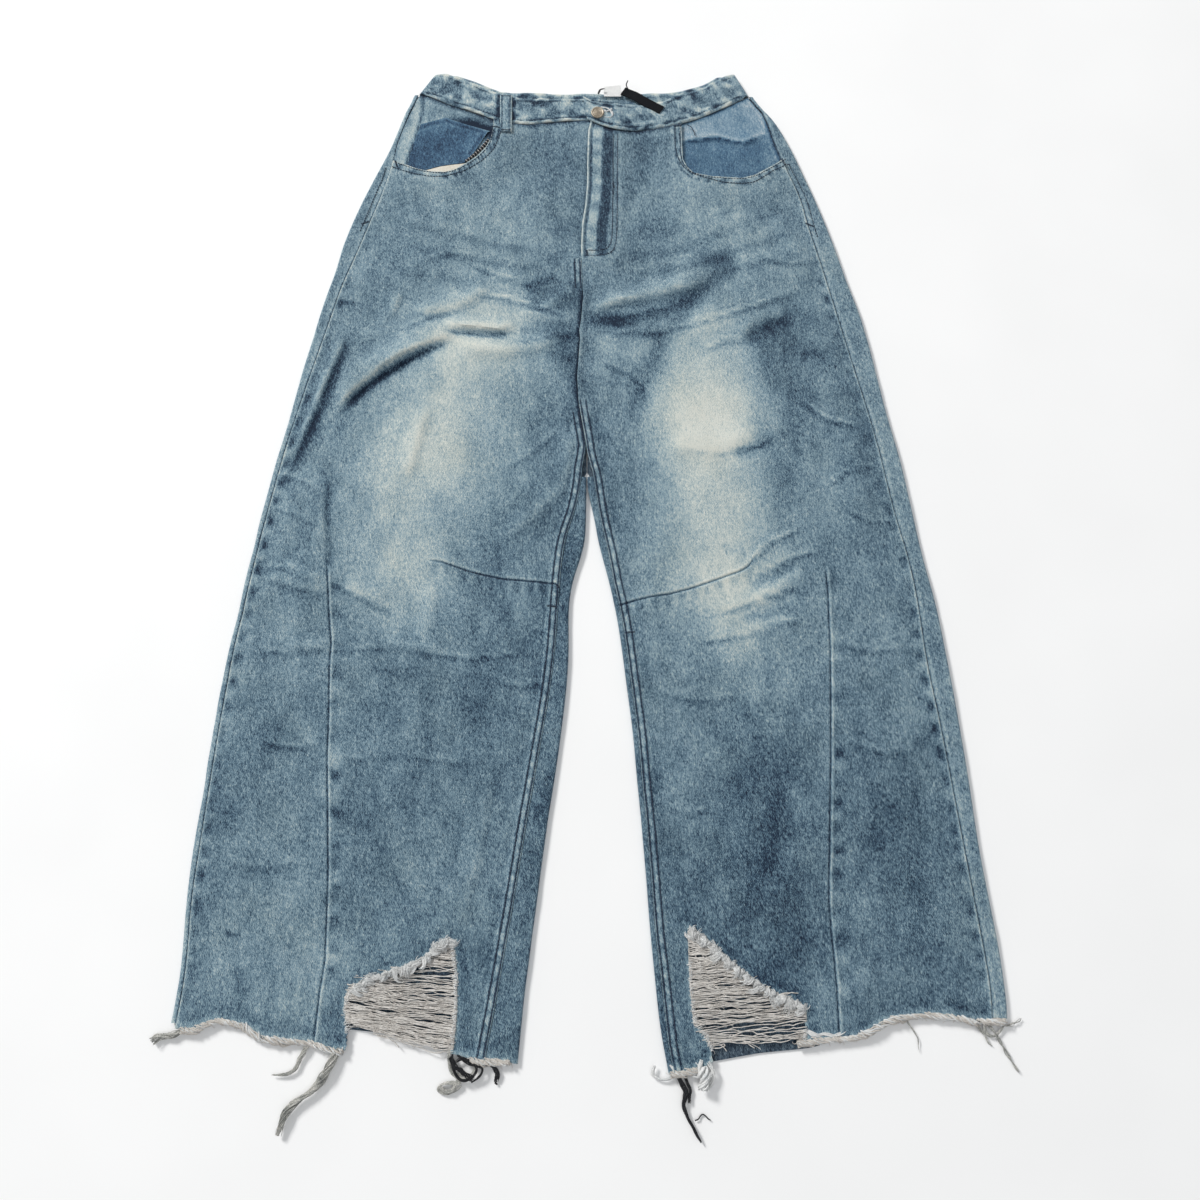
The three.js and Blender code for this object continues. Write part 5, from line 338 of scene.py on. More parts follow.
ENDS = [
    ["tuft_right",[[-374.7,-460.4,3.4],[-384.7,-460.9,3.2],[-391.2,-465.9,3.2]],3,False],
    ["tassel_right_long",[[-227.7,-480.4,4.6],[-233.7,-492.9,4.4],[-241.7,-503.9,4.3],[-254.7,-512.9,4.3],[-264.7,-520.9,4.3],[-269.7,-531.9,4.3],[-272.7,-542.9,4.3]],4.2,False],
    ["tassel_right_short",[[-253.7,-473.4,3.2],[-257.7,-480.9,2.8],[-261.7,-489.9,2.8],[-269.7,-493.4,2.8],[-281.7,-493.2,2.8]],2.6,False],
    ["knot_right",[[-118.7,-484.9,5.4],[-110.7,-490.9,5.4],[-101.2,-496.9,5.4]],5.2,True],
    ["curl_right",[[-116.7,-501.9,2.8],[-120.7,-506.9,2.8],[-127.2,-507.4,2.8],[-131.7,-502.9,2.8]],2.5,False],
    ["tail_right",[[-81.7,-492.1,2.2],[-81.5,-496.9,2.2],[-81.3,-501.9,2.2]],2,True],
    ["knot_left",[[104.3,-493.9,6.6],[104.3,-499.9,6.6],[103.5,-505.9,6.6]],6.3,False],
    ["threads_black_left",[[83.8,-500.9,3.2],[88.3,-505.9,3],[86.8,-511.9,3],[85.3,-518.9,3],[88.3,-527.9,3],[93.3,-535.9,3],[100.3,-548.9,3]],2.6,True],
    ["thread_black_loose",[[95.4,-531.4,1.3],[101.7,-525.4,1.3],[110.0,-530.9,1.3]],1.1,True],
    ["thread_left_thin",[[290.8,-451.4,2.4],[296.7,-460.9,1.4],[298.3,-474.9,1.4]],1.2,False],
    ["thread_corner_a",[[366.8,-457.9,2.8],[374.3,-472.4,1.8],[385.3,-491.4,1.8]],1.6,False],
    ["thread_corner_b",[[381.1,-452.4,2.4],[392.3,-446.5,1.8]],1.6,False],
    ["thread_corner_c",[[355.8,-458.4,2.4],[363.3,-469.9,1.8]],1.5,False],
]
FRINGES = [
    ["hem_fringe_right_outer","R",-365.7,-235.7],
    ["hem_fringe_right_inner","R",-95.7,-78.2],
    ["hem_fringe_left_inner","L",77.3,90.3],
    ["hem_fringe_left_outer","L",194.3,377.3],
]
INNER = [489.1,464.1,442.1,424.1,399.1,372.1,344.1,320.1,294.1,274.1,256.1,238.1,221.1,204.1,186.1,166.1,146.1,126.1,108.1,92.1,75.1,44.1,10.1,-23.9,-53.9,-85.9,-130.9,-185.9,-245.9,-305.9,-365.9,-415.9,-455.9,-485.9]
LOOPS = [
    [[[-123.8,-472.1,4.2],[-124.3,-482.1,5.0],[-121.4,-489.6,4.6],[-115.0,-496.2,4.2],[-107.0,-496.2,4.4],[-100.9,-490.4,4.8],[-100.2,-483.0,5.0],[-104.8,-477.1,4.2]],1.7,12,"g","thread_white","knot_right"],
    [[[-121.0,-475.5,4.2],[-121.6,-483.8,5.0],[-117.7,-492.9,5.6],[-110.4,-498.7,5.8],[-102.5,-495.4,5.6],[-98.3,-488.0,5.2],[-103.8,-481.3,4.6],[-111.9,-478.8,4.2],[-118.1,-483.0,4.0]],1.5,8,"b","thread_dark","knot_right"],
    [[[-116.5,-476.3,4.4],[-109.2,-481.3,5.4],[-100.1,-485.5,6.0],[-92.1,-487.1,5.8],[-95.5,-493.8,5.0],[-103.3,-499.5,4.2]],1.3,7,"b","thread_dark","knot_right"],
    [[[12.4,504.0,9.4],[18.0,502.7,9.9],[23.5,498.9,9.9],[25.7,492.5,9.6],[21.3,489.9,9.4],[15.7,492.5,9.2]],0.7,4,"w","thread_white","waistband_front_left"],
    [[[14.6,498.9,9.5],[20.2,497.6,10.1],[24.6,501.4,9.7]],0.6,4,"w","thread_white","waistband_front_left"],
    [[[41.4,528.6,7.5],[40.3,533.8,8.2],[42.6,539.0,8.4]],0.5,3,"b","label_black","label_black"],
    [[[9.1,522.1,7.4],[11.3,527.3,8.0],[16.9,527.9,7.6]],0.9,6,"b","label_black","label_black"],
    [[[-101.1,-483.8,5.0],[-90.4,-483.8,4.6],[-82.3,-486.3,4.0],[-78.6,-492.1,2.8],[-80.2,-499.5,2.0]],1.6,9,"b","thread_dark","tail_right"],
    [[[-114.1,-496.2,3.6],[-113.9,-501.2,3.2],[-122.9,-499.5,2.4],[-130.8,-502.0,2.0],[-133.3,-506.1,1.8],[-126.1,-509.4,1.8],[-117.3,-507.0,2.2],[-112.1,-502.0,3.0]],1.5,10,"g","thread_white","curl_right"],
    [[[60.3,-485.5,3.4],[57.6,-492.1,3.4],[64.6,-497.9,3.0],[74.4,-496.2,3.2],[79.0,-489.6,4.2],[73.7,-484.6,4.4]],1.5,8,"w","thread_white","hem_fringe_left_inner"],
    [[[85.3,-487.1,3.8],[90.5,-493.8,4.0],[99.4,-495.4,4.4],[103.1,-488.8,4.8],[97.0,-482.1,4.4]],1.7,9,"w","thread_white","knot_left"],
    [[[102.4,-480.5,5.0],[99.5,-488.8,6.2],[102.9,-497.1,6.0],[107.1,-504.5,4.6],[111.7,-498.7,5.0],[112.9,-488.8,6.0],[107.7,-482.1,5.0]],2.4,16,"w","thread_white","knot_left"],
    [[[85.2,-490.4,3.0],[89.5,-498.7,3.0],[92.0,-507.0,2.6],[90.0,-516.8,2.4]],1.5,7,"b","thread_dark","threads_black_left"],
    [[[231.4,-455.3,3.8],[231.9,-462.1,3.0],[235.3,-464.6,2.6],[238.3,-460.4,3.0],[234.9,-456.2,3.6]],0.9,5,"w","thread_white","hem_fringe_left_outer"],
    [[[195.4,-455.3,4.4],[204.2,-460.4,5.2],[214.1,-458.7,4.8],[223.0,-461.2,5.2],[232.3,-455.3,4.4]],2.0,14,"w","thread_white","hem_fringe_left_outer"],
    [[[357.5,-450.3,3.6],[358.6,-458.7,2.8],[365.5,-462.1,2.4],[373.3,-455.3,3.0],[376.5,-449.4,3.6],[371.3,-446.9,3.8]],1.1,6,"g","thread_white","thread_corner_a"],
]
SERGE = [
    [-135.0,437.0],
    [-127.2,444.3],
    [-118.7,453.3],
    [-111.3,463.7],
]

DENIM, BAND, SEAM, LEVEL = 1.2, 2.2, 0.3, 3.2
SEAT_RAISE, POCKET_RAISE, FLY_RAISE, UNDERLAP, FOLD_MIN = 1.7, 2.7, 1.9, 9, 4.6
CENTRE = -1.9
Y_CROTCH, Y_WRAP, Y_FLY, Y_KNEE, Y_KNEE_IN = 108.1, 75.1, 320.1, -13.9, -53.9
TOP = {"R": 521.6, "L": 519.6}
BOTTOM = {"R": -453.9, "L": -446.9}
LOOP_W, BUTTON_D, RISE = 12.5, 14.5, 4.0
C = {k: np.array(v, float) for k, v in CURVES.items()}
LEG = {"R": dict(s=-1, out="out_r", inn="inn_r", os="os_r", isn="is_r", vs="vs_r", kd="kd_r", hem="hemf_r", hemb="hemb_r", poc="poc_r"),
       "L": dict(s=1, out="out_l", inn="inn_l", os="os_l", isn="is_l", vs="vs_l", kd="kd_l", hem="hemf_l", hemb="hemb_l", poc="poc_l")}


# ------------------------------------------------------------------ small maths
def smooth(t):
    t = np.clip(t, 0, 1)
    return t * t * (3 - 2 * t)


def mix(a, b, t):
    return a + (b - a) * t


def x_at(name, y):
    p = C[name]
    a, b = p[0], p[1]
    c, d = p[-2], p[-1]
    top = a + (a - b) / max(1e-6, a[1] - b[1]) * 300 if a[1] > b[1] else a
    bot = d + (d - c) / max(1e-6, c[1] - d[1]) * 300 if c[1] > d[1] else d
    q = np.vstack([top, p, bot])
    return np.interp(-np.asarray(y, float), -q[:, 1], q[:, 0])


def y_at(name, x):
    p = C[name]
    if p[0, 0] > p[-1, 0]:
        p = p[::-1]
    return np.interp(x, p[:, 0], p[:, 1])


def x_soft(name, y, r=14):
    p = C[name]
    y = np.asarray(y, float)
    return sum(x_at(name, np.clip(y + k * r / 2, p[-1, 1], p[0, 1])) for k in (-2, -1, 0, 1, 2)) / 5


def to_line(pts, x, y):
    """distance, position 0..1 along, side (+ = left of travel), length"""
    P = np.asarray(pts, float)
    x, y = np.asarray(x, float), np.asarray(y, float)
    best = np.full(x.shape, 1e9)
    at, side = np.zeros(x.shape), np.ones(x.shape)
    run = 0.0
    for (ax, ay), (bx, by) in zip(P[:-1], P[1:]):
        dx, dy = bx - ax, by - ay
        ln = math.hypot(dx, dy) or 1e-6
        t = np.clip(((x - ax) * dx + (y - ay) * dy) / ln**2, 0, 1)
        ex, ey = x - ax - t * dx, y - ay - t * dy
        d = np.hypot(ex, ey)
        m = d < best
        best = np.where(m, d, best)
        at = np.where(m, run + t * ln, at)
        side = np.where(m, np.where(dx * ey - dy * ex >= 0, 1.0, -1.0), side)
        run += ln
    return best, at / run, side, run


def resample(pts, step):
    P = np.asarray(pts, float)
    d = np.r_[0, np.cumsum(np.hypot(*np.diff(P[:, :2], axis=0).T))]
    n = max(2, int(round(d[-1] / step)) + 1)
    s = np.linspace(0, d[-1], n)
    return np.stack([np.interp(s, d, P[:, k]) for k in range(P.shape[1])], 1)


def rounded(pts, n=2):
    """corner-cut version of a line, ends kept"""
    P = np.asarray(pts, float)
    for _ in range(n):
        Q = [P[0]]
        for a, b in zip(P[:-1], P[1:]):
            Q += [a * 0.75 + b * 0.25, a * 0.25 + b * 0.75]
        Q.append(P[-1])
        P = np.array(Q)
    return P


def noise(x, y, size, seed, stretch=1.0):
    """smooth value noise -1..1"""
    r = np.random.default_rng(seed).uniform(-1, 1, (256, 256))
    u, v = np.asarray(x, float) / size + 31.7, np.asarray(y, float) / (size * stretch) + 57.3
    i, j = np.floor(u).astype(int), np.floor(v).astype(int)
    fu, fv = smooth(u - i), smooth(v - j)
    g = lambda a, b: r[a % 256, b % 256]
    return mix(mix(g(i, j), g(i + 1, j), fu), mix(g(i, j + 1), g(i + 1, j + 1), fu), fv)


def inside(poly, x, y):
    P = np.asarray(poly, float)
    c = np.zeros(np.shape(x), bool)
    j = len(P) - 1
    for i in range(len(P)):
        xi, yi = P[i]
        xj, yj = P[j]
        cond = ((yi > y) != (yj > y)) & (x < (xj - xi) * (y - yi) / ((yj - yi) or 1e-9) + xi)
        c ^= cond
        j = i
    return c


# ------------------------------------------------------------------ form
def back_pocket(s):
    return [[CENTRE + s * a, b] for a, b in [(28, 406.1), (28, 296.1), (92, 266.1), (156, 294.1), (162, 418.1)]]


BACK_LOOPS = [CENTRE - 62, CENTRE, CENTRE + 62]


def near_poly(poly, x, y, r):
    d = to_line(list(poly) + [poly[0]], x, y)[0]
    return np.where(inside(poly, x, y), 1.0, 1 - smooth(np.maximum(0, d - 22) / r))


def ground(x, y):
    x, y = np.asarray(x, float), np.asarray(y, float)
    g = np.maximum(near_poly(back_pocket(-1), x, y, 22), near_poly(back_pocket(1), x, y, 22))
    for lx in BACK_LOOPS:
        d = np.maximum(np.abs(x - lx) - LOOP_W / 2 - 3, 0)
        dy = np.maximum(y_at("wbk_b", x) - 3 - y, 0)
        g = np.maximum(g, (1 - smooth(d / 14)) * (1 - smooth(dy / 6)))
    return SEAT_RAISE * np.clip(g, 0, 1)


def band_low(x):
    return np.where(x < CENTRE, y_at("wbb_r", x), y_at("wbb_l", x))


# soft creases of the hidden side: line, height, half width
BACK_CREASES = {
    "R": [([[-60, 150], [-110, 128], [-170, 132]], 1.2, 9), ([[-40, 190], [-90, 172], [-150, 184]], 1.0, 8), ([[-70, 60], [-120, 20], [-190, 10]], 1.1, 10),
          ([[-90, -40], [-150, -62], [-230, -50]], 1.3, 9), ([[-80, -90], [-140, -104], [-210, -96]], 1.1, 8), ([[-150, -180], [-190, -260], [-200, -360]], 0.9, 14),
          ([[-260, -120], [-290, -210], [-300, -300]], 1.0, 12), ([[-120, -300], [-135, -380], [-130, -440]], 0.9, 12), ([[-230, 40], [-250, -20], [-262, -70]], 1.0, 10)],
    "L": [([[56, 152], [108, 130], [168, 138]], 1.2, 9), ([[40, 196], [92, 176], [150, 186]], 1.0, 8), ([[66, 52], [118, 24], [182, 18]], 1.1, 10),
          ([[92, -36], [152, -66], [226, -56]], 1.3, 9), ([[84, -96], [146, -110], [206, -98]], 1.1, 8), ([[160, -190], [186, -270], [204, -350]], 0.9, 14),
          ([[256, -110], [284, -220], [306, -310]], 1.0, 12), ([[118, -290], [130, -370], [128, -430]], 0.9, 12), ([[226, 36], [246, -24], [266, -80]], 1.0, 10)],
}


def back_lift(side, x, y):
    z = np.zeros(np.shape(x))
    for p, a, w in BACK_CREASES[side]:
        d, t, _, _ = to_line(p, x, y)
        z = np.maximum(z, a * np.exp(-((d / w) ** 2)) * smooth(np.minimum(t, 1 - t) * 4 + 0.15))
    # doubled seams press into the cloth from outside
    d = np.abs(x - CENTRE)
    z = np.maximum(z, 0.35 * np.exp(-(((d - 4.6) / 1.6) ** 2)) * (y > Y_CROTCH))
    return z


def back_top(side, x, y):
    return ground(x, y) + back_lift(side, x, y) + np.where(y > y_at("wbk_b", x) - 4, BAND, DENIM)


def out_edge(side, y):
    g = LEG[side]
    fold, seam = x_soft(g["out"], y), x_soft(g["os"], y)
    return np.maximum(seam, fold + FOLD_MIN) if side == "R" else np.minimum(seam, fold - FOLD_MIN)


def in_edge(side, y):
    g = LEG[side]
    c = x_at("cf", np.maximum(y, Y_CROTCH))
    fold, seam = x_soft(g["inn"], y), x_soft(g["isn"], y)
    lim = np.minimum(seam, fold - FOLD_MIN) if side == "R" else np.maximum(seam, fold + FOLD_MIN)
    return np.where(y >= Y_CROTCH, c, mix(c, lim, smooth((Y_CROTCH - y) / (Y_CROTCH - Y_WRAP))))


def in_fold(side, y):
    g = LEG[side]
    if side == "R":
        return np.where(y > Y_WRAP, CENTRE - 0.35, np.minimum(CENTRE - 0.35, x_soft(g["inn"], y)))
    return np.where(y > Y_WRAP, CENTRE + 0.35, np.maximum(CENTRE + 0.35, x_soft(g["inn"], y)))


def outer_y(side, yi):
    knots = [(INNER[0], TOP[side]), (Y_FLY, Y_FLY + 22), (Y_CROTCH, Y_CROTCH + 34), (Y_KNEE_IN, Y_KNEE), (INNER[-1], BOTTOM[side])]
    a = np.array(knots)[::-1]
    return np.interp(yi, a[:, 0], a[:, 1])


def in_mouth(side, x, y):
    return y > (y_at("poc_rx", x) if side == "R" else y_at("poc_lx", x))


def creases(side, x, y):
    """fullness and every fold placed on the upper layer"""
    z = np.zeros(np.shape(x))
    for px, py, wx, wy, a in PUFF[side]:
        z += a * np.exp(-(((x - px) / wx) ** 2) - ((y - py) / wy) ** 2)
    up, down = np.zeros(np.shape(x)), np.zeros(np.shape(x))
    n1, n2, n3 = 1 + 0.22 * noise(x, y, 34, 18), 1.5 * noise(x, y, 15, 19), 1 + 0.35 * noise(x, y, 26, 21)
    for p, a, w1, w2 in FOLDS[side]:
        d, t, sd, ln = to_line(p, x, y)
        w = np.where(sd > 0, w1, w2) * n1 * (1.0 if a > 3 else 1.25)
        e = a * n3 * np.exp(-(((d + n2) / w) ** 2)) * smooth(np.minimum(t, 1 - t) * 4 + 0.12)
        up = np.where(e > 0, np.maximum(up, e) + 0.25 * np.minimum(up, e), up)
        down = np.where(e < 0, np.minimum(down, e), down)
    z = z + up + down
    z += 0.55 * noise(x, y, 62, 3, 1.5) + 0.28 * noise(x, y, 24, 4, 1.6) + 0.10 * noise(x, y, 9, 5, 1.4)
    return z


SEAM_TOP = {"R": 150.0, "L": 164.0}


def crotch_row(side, y):
    """the felled crotch seam shows only just under the fly, on the wearer's right"""
    return smooth((Y_FLY + 4 - y) / 4) * smooth((y - Y_FLY + 38) / 14) * (side == "R")


def seam_relief(side, x, y):
    """small relief of sewn seams: grooves, felled strips, puckers"""
    g = LEG[side]
    s = g["s"]
    z = np.zeros(np.shape(x))
    # felled inseam and crotch seam
    di = (in_edge(side, y) - x) * -s
    leg = smooth((SEAM_TOP[side] - y) / 24)
    up = crotch_row(side, y)
    leg = np.maximum(leg, up)
    z += leg * 0.75 * (1 - smooth((di - 8.6) / 2.2)) * smooth(di / 0.9 + 0.2)
    z -= leg * 0.35 * (np.exp(-(((di - 1.9) / 0.8) ** 2)) + np.exp(-(((di - 7.6) / 0.8) ** 2)))
    z += leg * 0.22 * np.sin(y / 2.1 + 2.2 * noise(x, y, 30, 8)) * np.exp(-(((di - 4.8) / 2.6) ** 2))
    z += leg * 0.30 * np.sin(y / 5.6 + 3 * noise(x, y, 40, 9)) * np.exp(-(((di - 12) / 5) ** 2))
    # below the fly one panel stands over the other
    cf = smooth((Y_FLY - 30 - y) / 20) * smooth((y - 120) / 60)
    if side == "L":
        z += cf * (1.5 * np.exp(-((di / 5) ** 2)) + 0.5 * np.sin(y / 7 + 3 * noise(x, y, 40, 16)) * np.exp(-((di / 16) ** 2)))
    else:
        z += cf * (-0.7 * np.exp(-((di / 3) ** 2)) + 0.6 * np.sin(y / 6 + 3 * noise(x, y, 40, 17)) * np.exp(-((di / 18) ** 2)))
    # outseam: plain pressed seam with slow puckers
    do = (x - out_edge(side, y)) * -s
    z += 0.35 * np.exp(-((do / 3.2) ** 2)) + 0.55 * np.sin(y / 3.6 + 3 * noise(x, y, 50, 10)) * np.exp(-(((do - 6) / 4.5) ** 2)) * smooth((330 - y) / 60)
    # long dart seam
    yv = smooth((Y_KNEE - 4 - y) / 16)
    dv = (x - x_at(g["vs"], y))
    z += yv * (-0.70 * np.exp(-((dv / 0.8) ** 2)) + 0.60 * np.exp(-(((dv - 2.2) / 1.5) ** 2)) + 0.20 * np.exp(-(((dv + 2.6) / 1.8) ** 2)))
    z += yv * 0.5 * np.sin(y / 4.9 + 2.6 * noise(x, y, 40, 11)) * np.exp(-(((dv - 7) / 6.5) ** 2))
    z += yv * 0.28 * np.sin(y / 5.7 + 2.6 * noise(x, y, 40, 12)) * np.exp(-(((dv + 6) / 5) ** 2))
    # knee dart
    d, t, sd, ln = to_line(C[g["kd"]], x, y)
    z += smooth(t * 9) * (-0.85 * np.exp(-((d / 0.9) ** 2)) + np.where(sd > 0, 0.30, 0.55) * np.exp(-(((d - 2.6) / 1.9) ** 2)))
    # pocket mouth hem
    d, t, sd, ln = to_line(C[g["poc"]], x, y)
    z += 0.55 * (1 - smooth((d - 6.6) / 1.6)) - 0.35 * np.exp(-(((d - 1.5) / 0.9) ** 2)) - 0.4 * np.exp(-(((d - 6.2) / 0.9) ** 2))
    z += 0.18 * np.sin(t * ln / 2.2) * np.exp(-(((d - 4) / 2.4) ** 2))
    if side == "L":
        # fly placket, J seam and the piped free edge
        m = smooth((y - Y_FLY + 4) / 10)
        ex = x - x_at("cf", y)
        z += m * (0.7 * np.exp(-(((ex - 1.4) / 1.5) ** 2)) - 0.5 * np.exp(-(((ex - 4.2) / 1.2) ** 2)))
        z += m * 0.25 * np.sin(y / 3.4 + 2 * noise(x, y, 30, 14)) * np.exp(-(((ex - 8) / 4.5) ** 2))
        d, t, sd, ln = to_line(C["fly_j"], x, y)
        z += 0.30 * np.where(sd < 0, 1 - smooth((d - 2) / 5), 0) - 0.35 * np.exp(-((d / 1.1) ** 2))
        z += 0.22 * np.sin(t * ln / 3.4) * np.exp(-(((d - 3) / 3) ** 2))
    # raw hem curls up a little
    yh = y_at(g["hem"], x)
    z += 0.5 * np.exp(-(((y - yh - 2) / 3.5) ** 2)) + 0.35 * np.exp(-(((y - yh) / 9) ** 2)) * noise(x, y, 9, 15)
    return z


def low(side, x, y):
    """underside of the front panels"""
    g = LEG[side]
    x, y = np.asarray(x, float), np.asarray(y, float)
    edge = smooth(np.abs(x - x_soft(g["os"], y)) / 24)
    mid = np.where(y > Y_CROTCH, smooth(np.abs(x - CENTRE) / 16), smooth(np.abs(x - x_soft(g["isn"], y)) / 20))
    z = LEVEL + creases(side, x, y) * edge * mid
    d = to_line(C[g["poc"]], x, y)[0]
    z = np.maximum(z, LEVEL + POCKET_RAISE * np.where(in_mouth(side, x, y), 1.0, 1 - smooth((d - 9) / 42)) + 0.12 * noise(x, y, 14, 20))
    if side == "L":
        fx = x_at("cf", y)
        lift = (1 - smooth((x - fx - 34) / 20)) * smooth((y - Y_FLY + 16) / 14)
        z = np.maximum(z, LEVEL + FLY_RAISE * lift)
    z = np.maximum(z, back_top(side, x, y) + 0.35)
    if side == "R":
        lap = (y > Y_FLY) & (x > x_at("cf", y) - 12)
        z = np.where(lap, np.maximum(LEVEL, back_top(side, x, y) + 0.3), z)
    lapm = 1.0 if side == "L" else 1 - smooth((x - x_at("cf", y) + 14) / 6) * (y > Y_FLY)
    return z + seam_relief(side, x, y) * lapm


def top(side, x, y):
    return low(side, x, y) + DENIM


# ------------------------------------------------------------------ tone of the cloth: dye, wear, painted shade and painted highlights
def tone(x, y, base=0.40, side=None):
    """0 deep indigo .. 1 bleached; the strokes add worn fades and also painted shade and painted highlights along the
    folds
    """
    v = np.full(np.shape(x), base, float)
    for p, w, a in FADE_AND_SHADE_STROKES:
        d, t, _, ln = to_line(p, x, y)
        k = 0.4 if a > 0 and w < 6 and ln > 30 else 1.0
        v += k * a * np.exp(-((d / w) ** 2)) * (1.0 if w > 12 else smooth(np.minimum(t, 1 - t) * 5 + 0.2))
    v += 0.045 * noise(x, y, 46, 30, 1.8) + 0.035 * noise(x, y, 17, 31, 2.0) + 0.03 * noise(x, y, 6, 32, 3.0)
    return v


def tone_front(side, x, y, z=None):
    g = LEG[side]
    s = g["s"]
    v = tone(x, y, 0.40)
    # height sets the tone: crests pale and hollows dark, partly worn dye and partly painted highlight on the crests and
    # painted shade in the hollows
    c = creases(side, x, y)
    r = 4.0
    turn = c - (creases(side, x + r, y) + creases(side, x - r, y) + creases(side, x, y + r) + creases(side, x, y - r)) / 4
    v += np.clip(0.26 * turn, -0.24, 0.20) + 0.012 * np.clip(c, -3, 5)
    di = (in_edge(side, y) - x) * -s
    leg = np.maximum(smooth((SEAM_TOP[side] - y) / 24), crotch_row(side, y))
    v += leg * (0.30 * np.exp(-((di / 0.8) ** 2)) - 0.40 * np.exp(-(((di - 1.9) / 0.9) ** 2)) - 0.42 * np.exp(-(((di - 7.6) / 0.9) ** 2))
                + 0.15 * np.exp(-(((di - 4.6) / 1.8) ** 2)) * (1 + np.sin(y / 2.1 + 2.2 * noise(x, y, 30, 8))) - 0.06 * np.exp(-(((di - 13) / 7) ** 2))
                + 0.08 * np.exp(-(((di - 10) / 1.6) ** 2)))
    cf = smooth((Y_FLY - 30 - y) / 20) * smooth((y - 92) / 30)
    # below the fly a painted shadow darkens the wearer's right panel along the centre line, where the left panel's edge
    # stands over it; the left panel gets a pale edge line
    v += cf * ((0.10 * np.exp(-(((di - 1.5) / 1.6) ** 2)) - 0.06 * np.exp(-(((di - 10) / 9) ** 2))) if side == "L" else (-0.42 * np.exp(-((di / 2.4) ** 2)) - 0.10 * np.exp(-((di / 14) ** 2))))
    do = (x - out_edge(side, y)) * -s
    v += 0.27 * np.exp(-(((do - 1) / 1.3) ** 2)) - 0.15 * np.exp(-((do / 0.6) ** 2)) + 0.27 * smooth((330 - y) / 60) * (np.sin(y / 3.6 + 3 * noise(x, y, 50, 10)) - 0.35) * np.exp(-(((do - 6) / 3.6) ** 2)) * (0.6 + 0.6 * noise(x, y, 60, 45))
    yv = smooth((Y_KNEE - 4 - y) / 16)
    dv = x - x_at(g["vs"], y)
    # long dart seam: dark seam line, with a painted highlight beside it on the +x side
    v += yv * (-0.34 * np.exp(-((dv / 0.75) ** 2)) + 0.26 * np.exp(-(((dv - 2.0) / 1.1) ** 2)) + 0.04 * np.exp(-(((dv + 2.6) / 1.5) ** 2)))
    v += yv * 0.10 * np.sin(y / 4.9 + 2.6 * noise(x, y, 40, 11)) * np.exp(-(((dv - 7) / 5.5) ** 2))
    for py in PUCK[side]:
        off = 8 if side == "R" or py > -330 else -8
        v -= yv * 0.34 * np.exp(-(((dv - off) / 4.6) ** 2) - ((y - py) / 3.6) ** 2)
        v += yv * 0.13 * np.exp(-(((dv - off) / 5.0) ** 2) - ((y - py - 12) / 6) ** 2)
    d, t, sd, ln = to_line(C[g["kd"]], x, y)
    k = smooth(t * 9)
    under_ = y < y_at(g["kd"], x)
    # knee dart: dark seam line and a painted highlight along its upper side; puckers below
    v += k * (-0.40 * np.exp(-((d / 0.9) ** 2)) + 0.16 * np.exp(-(((d - 2.2) / 1.3) ** 2)) * ~under_)
    v += k * under_ * (0.15 * np.sin(x / 2.15 + 1.6 * noise(x, y, 30, 46)) * np.exp(-(((d - 7) / 6) ** 2)) - 0.05 * np.exp(-(((d - 6) / 5) ** 2)))
    d, t, sd, ln = to_line(C[g["poc"]], x, y)
    v += 0.36 * np.exp(-((d / 1.2) ** 2)) - 0.30 * np.exp(-(((d - 2.3) / 0.7) ** 2)) - 0.34 * np.exp(-(((d - 6.8) / 1.0) ** 2)) + 0.12 * np.exp(-(((d - 4.4) / 1.5) ** 2)) * (1 + np.sin(t * ln / 2.2)) + 0.12 * np.exp(-(((d - 9.4) / 2.2) ** 2))
    if side == "L":
        m = smooth((y - Y_FLY + 4) / 10)
        ex = x - x_at("cf", y)
        v += m * (0.45 * np.exp(-(((ex - 0.8) / 1.3) ** 2)) - 0.26 * np.exp(-(((ex - 4.4) / 1.3) ** 2)))
        v += m * 0.14 * (1 - smooth((ex - 14) / 3)) * smooth((ex - 5) / 2) * (1 + 0.9 * np.sin(y / 3.4 + 2 * noise(x, y, 30, 14)))
        v -= m * 0.32 * smooth((ex - 15) / 3) * (1 - smooth((ex - 26) / 2.2))
        d, t, sd, ln = to_line(C["fly_j"], x, y)
        v += 0.10 * np.exp(-(((d - 3.6) / 1.8) ** 2)) * np.where(sd < 0, 0, 1) - 0.10 * np.exp(-((d / 1.2) ** 2))
    else:
        m = smooth((y - Y_FLY + 4) / 10) * (x > x_at("cf", y) - 30)
        v += m * -0.10 * np.exp(-(((x_at("cf", y) - x) / 4) ** 2))
    yh = y_at(g["hem"], x)
    v += 0.16 * np.exp(-(((y - yh) / 5) ** 2)) * (1 + noise(x, y, 4, 41)) - 0.10 * np.exp(-(((y - yh - 10) / 5) ** 2))
    d, t, sd, ln = to_line(list(C["rip_rn" if side == "R" else "rip_ln"]), x, y)
    v += 0.20 * np.exp(-((d / 2.2) ** 2)) - 0.10 * np.exp(-(((d - 8) / 5) ** 2))
    # waist seam: painted shadow just under the band, then a worn pale line below it
    yb = band_low(x)
    v += -0.36 * np.exp(-(((yb - y) / 3) ** 2)) + 0.08 * np.exp(-(((yb - y - 8) / 5) ** 2)) * (1 + noise(x, y, 7, 44))
    return v


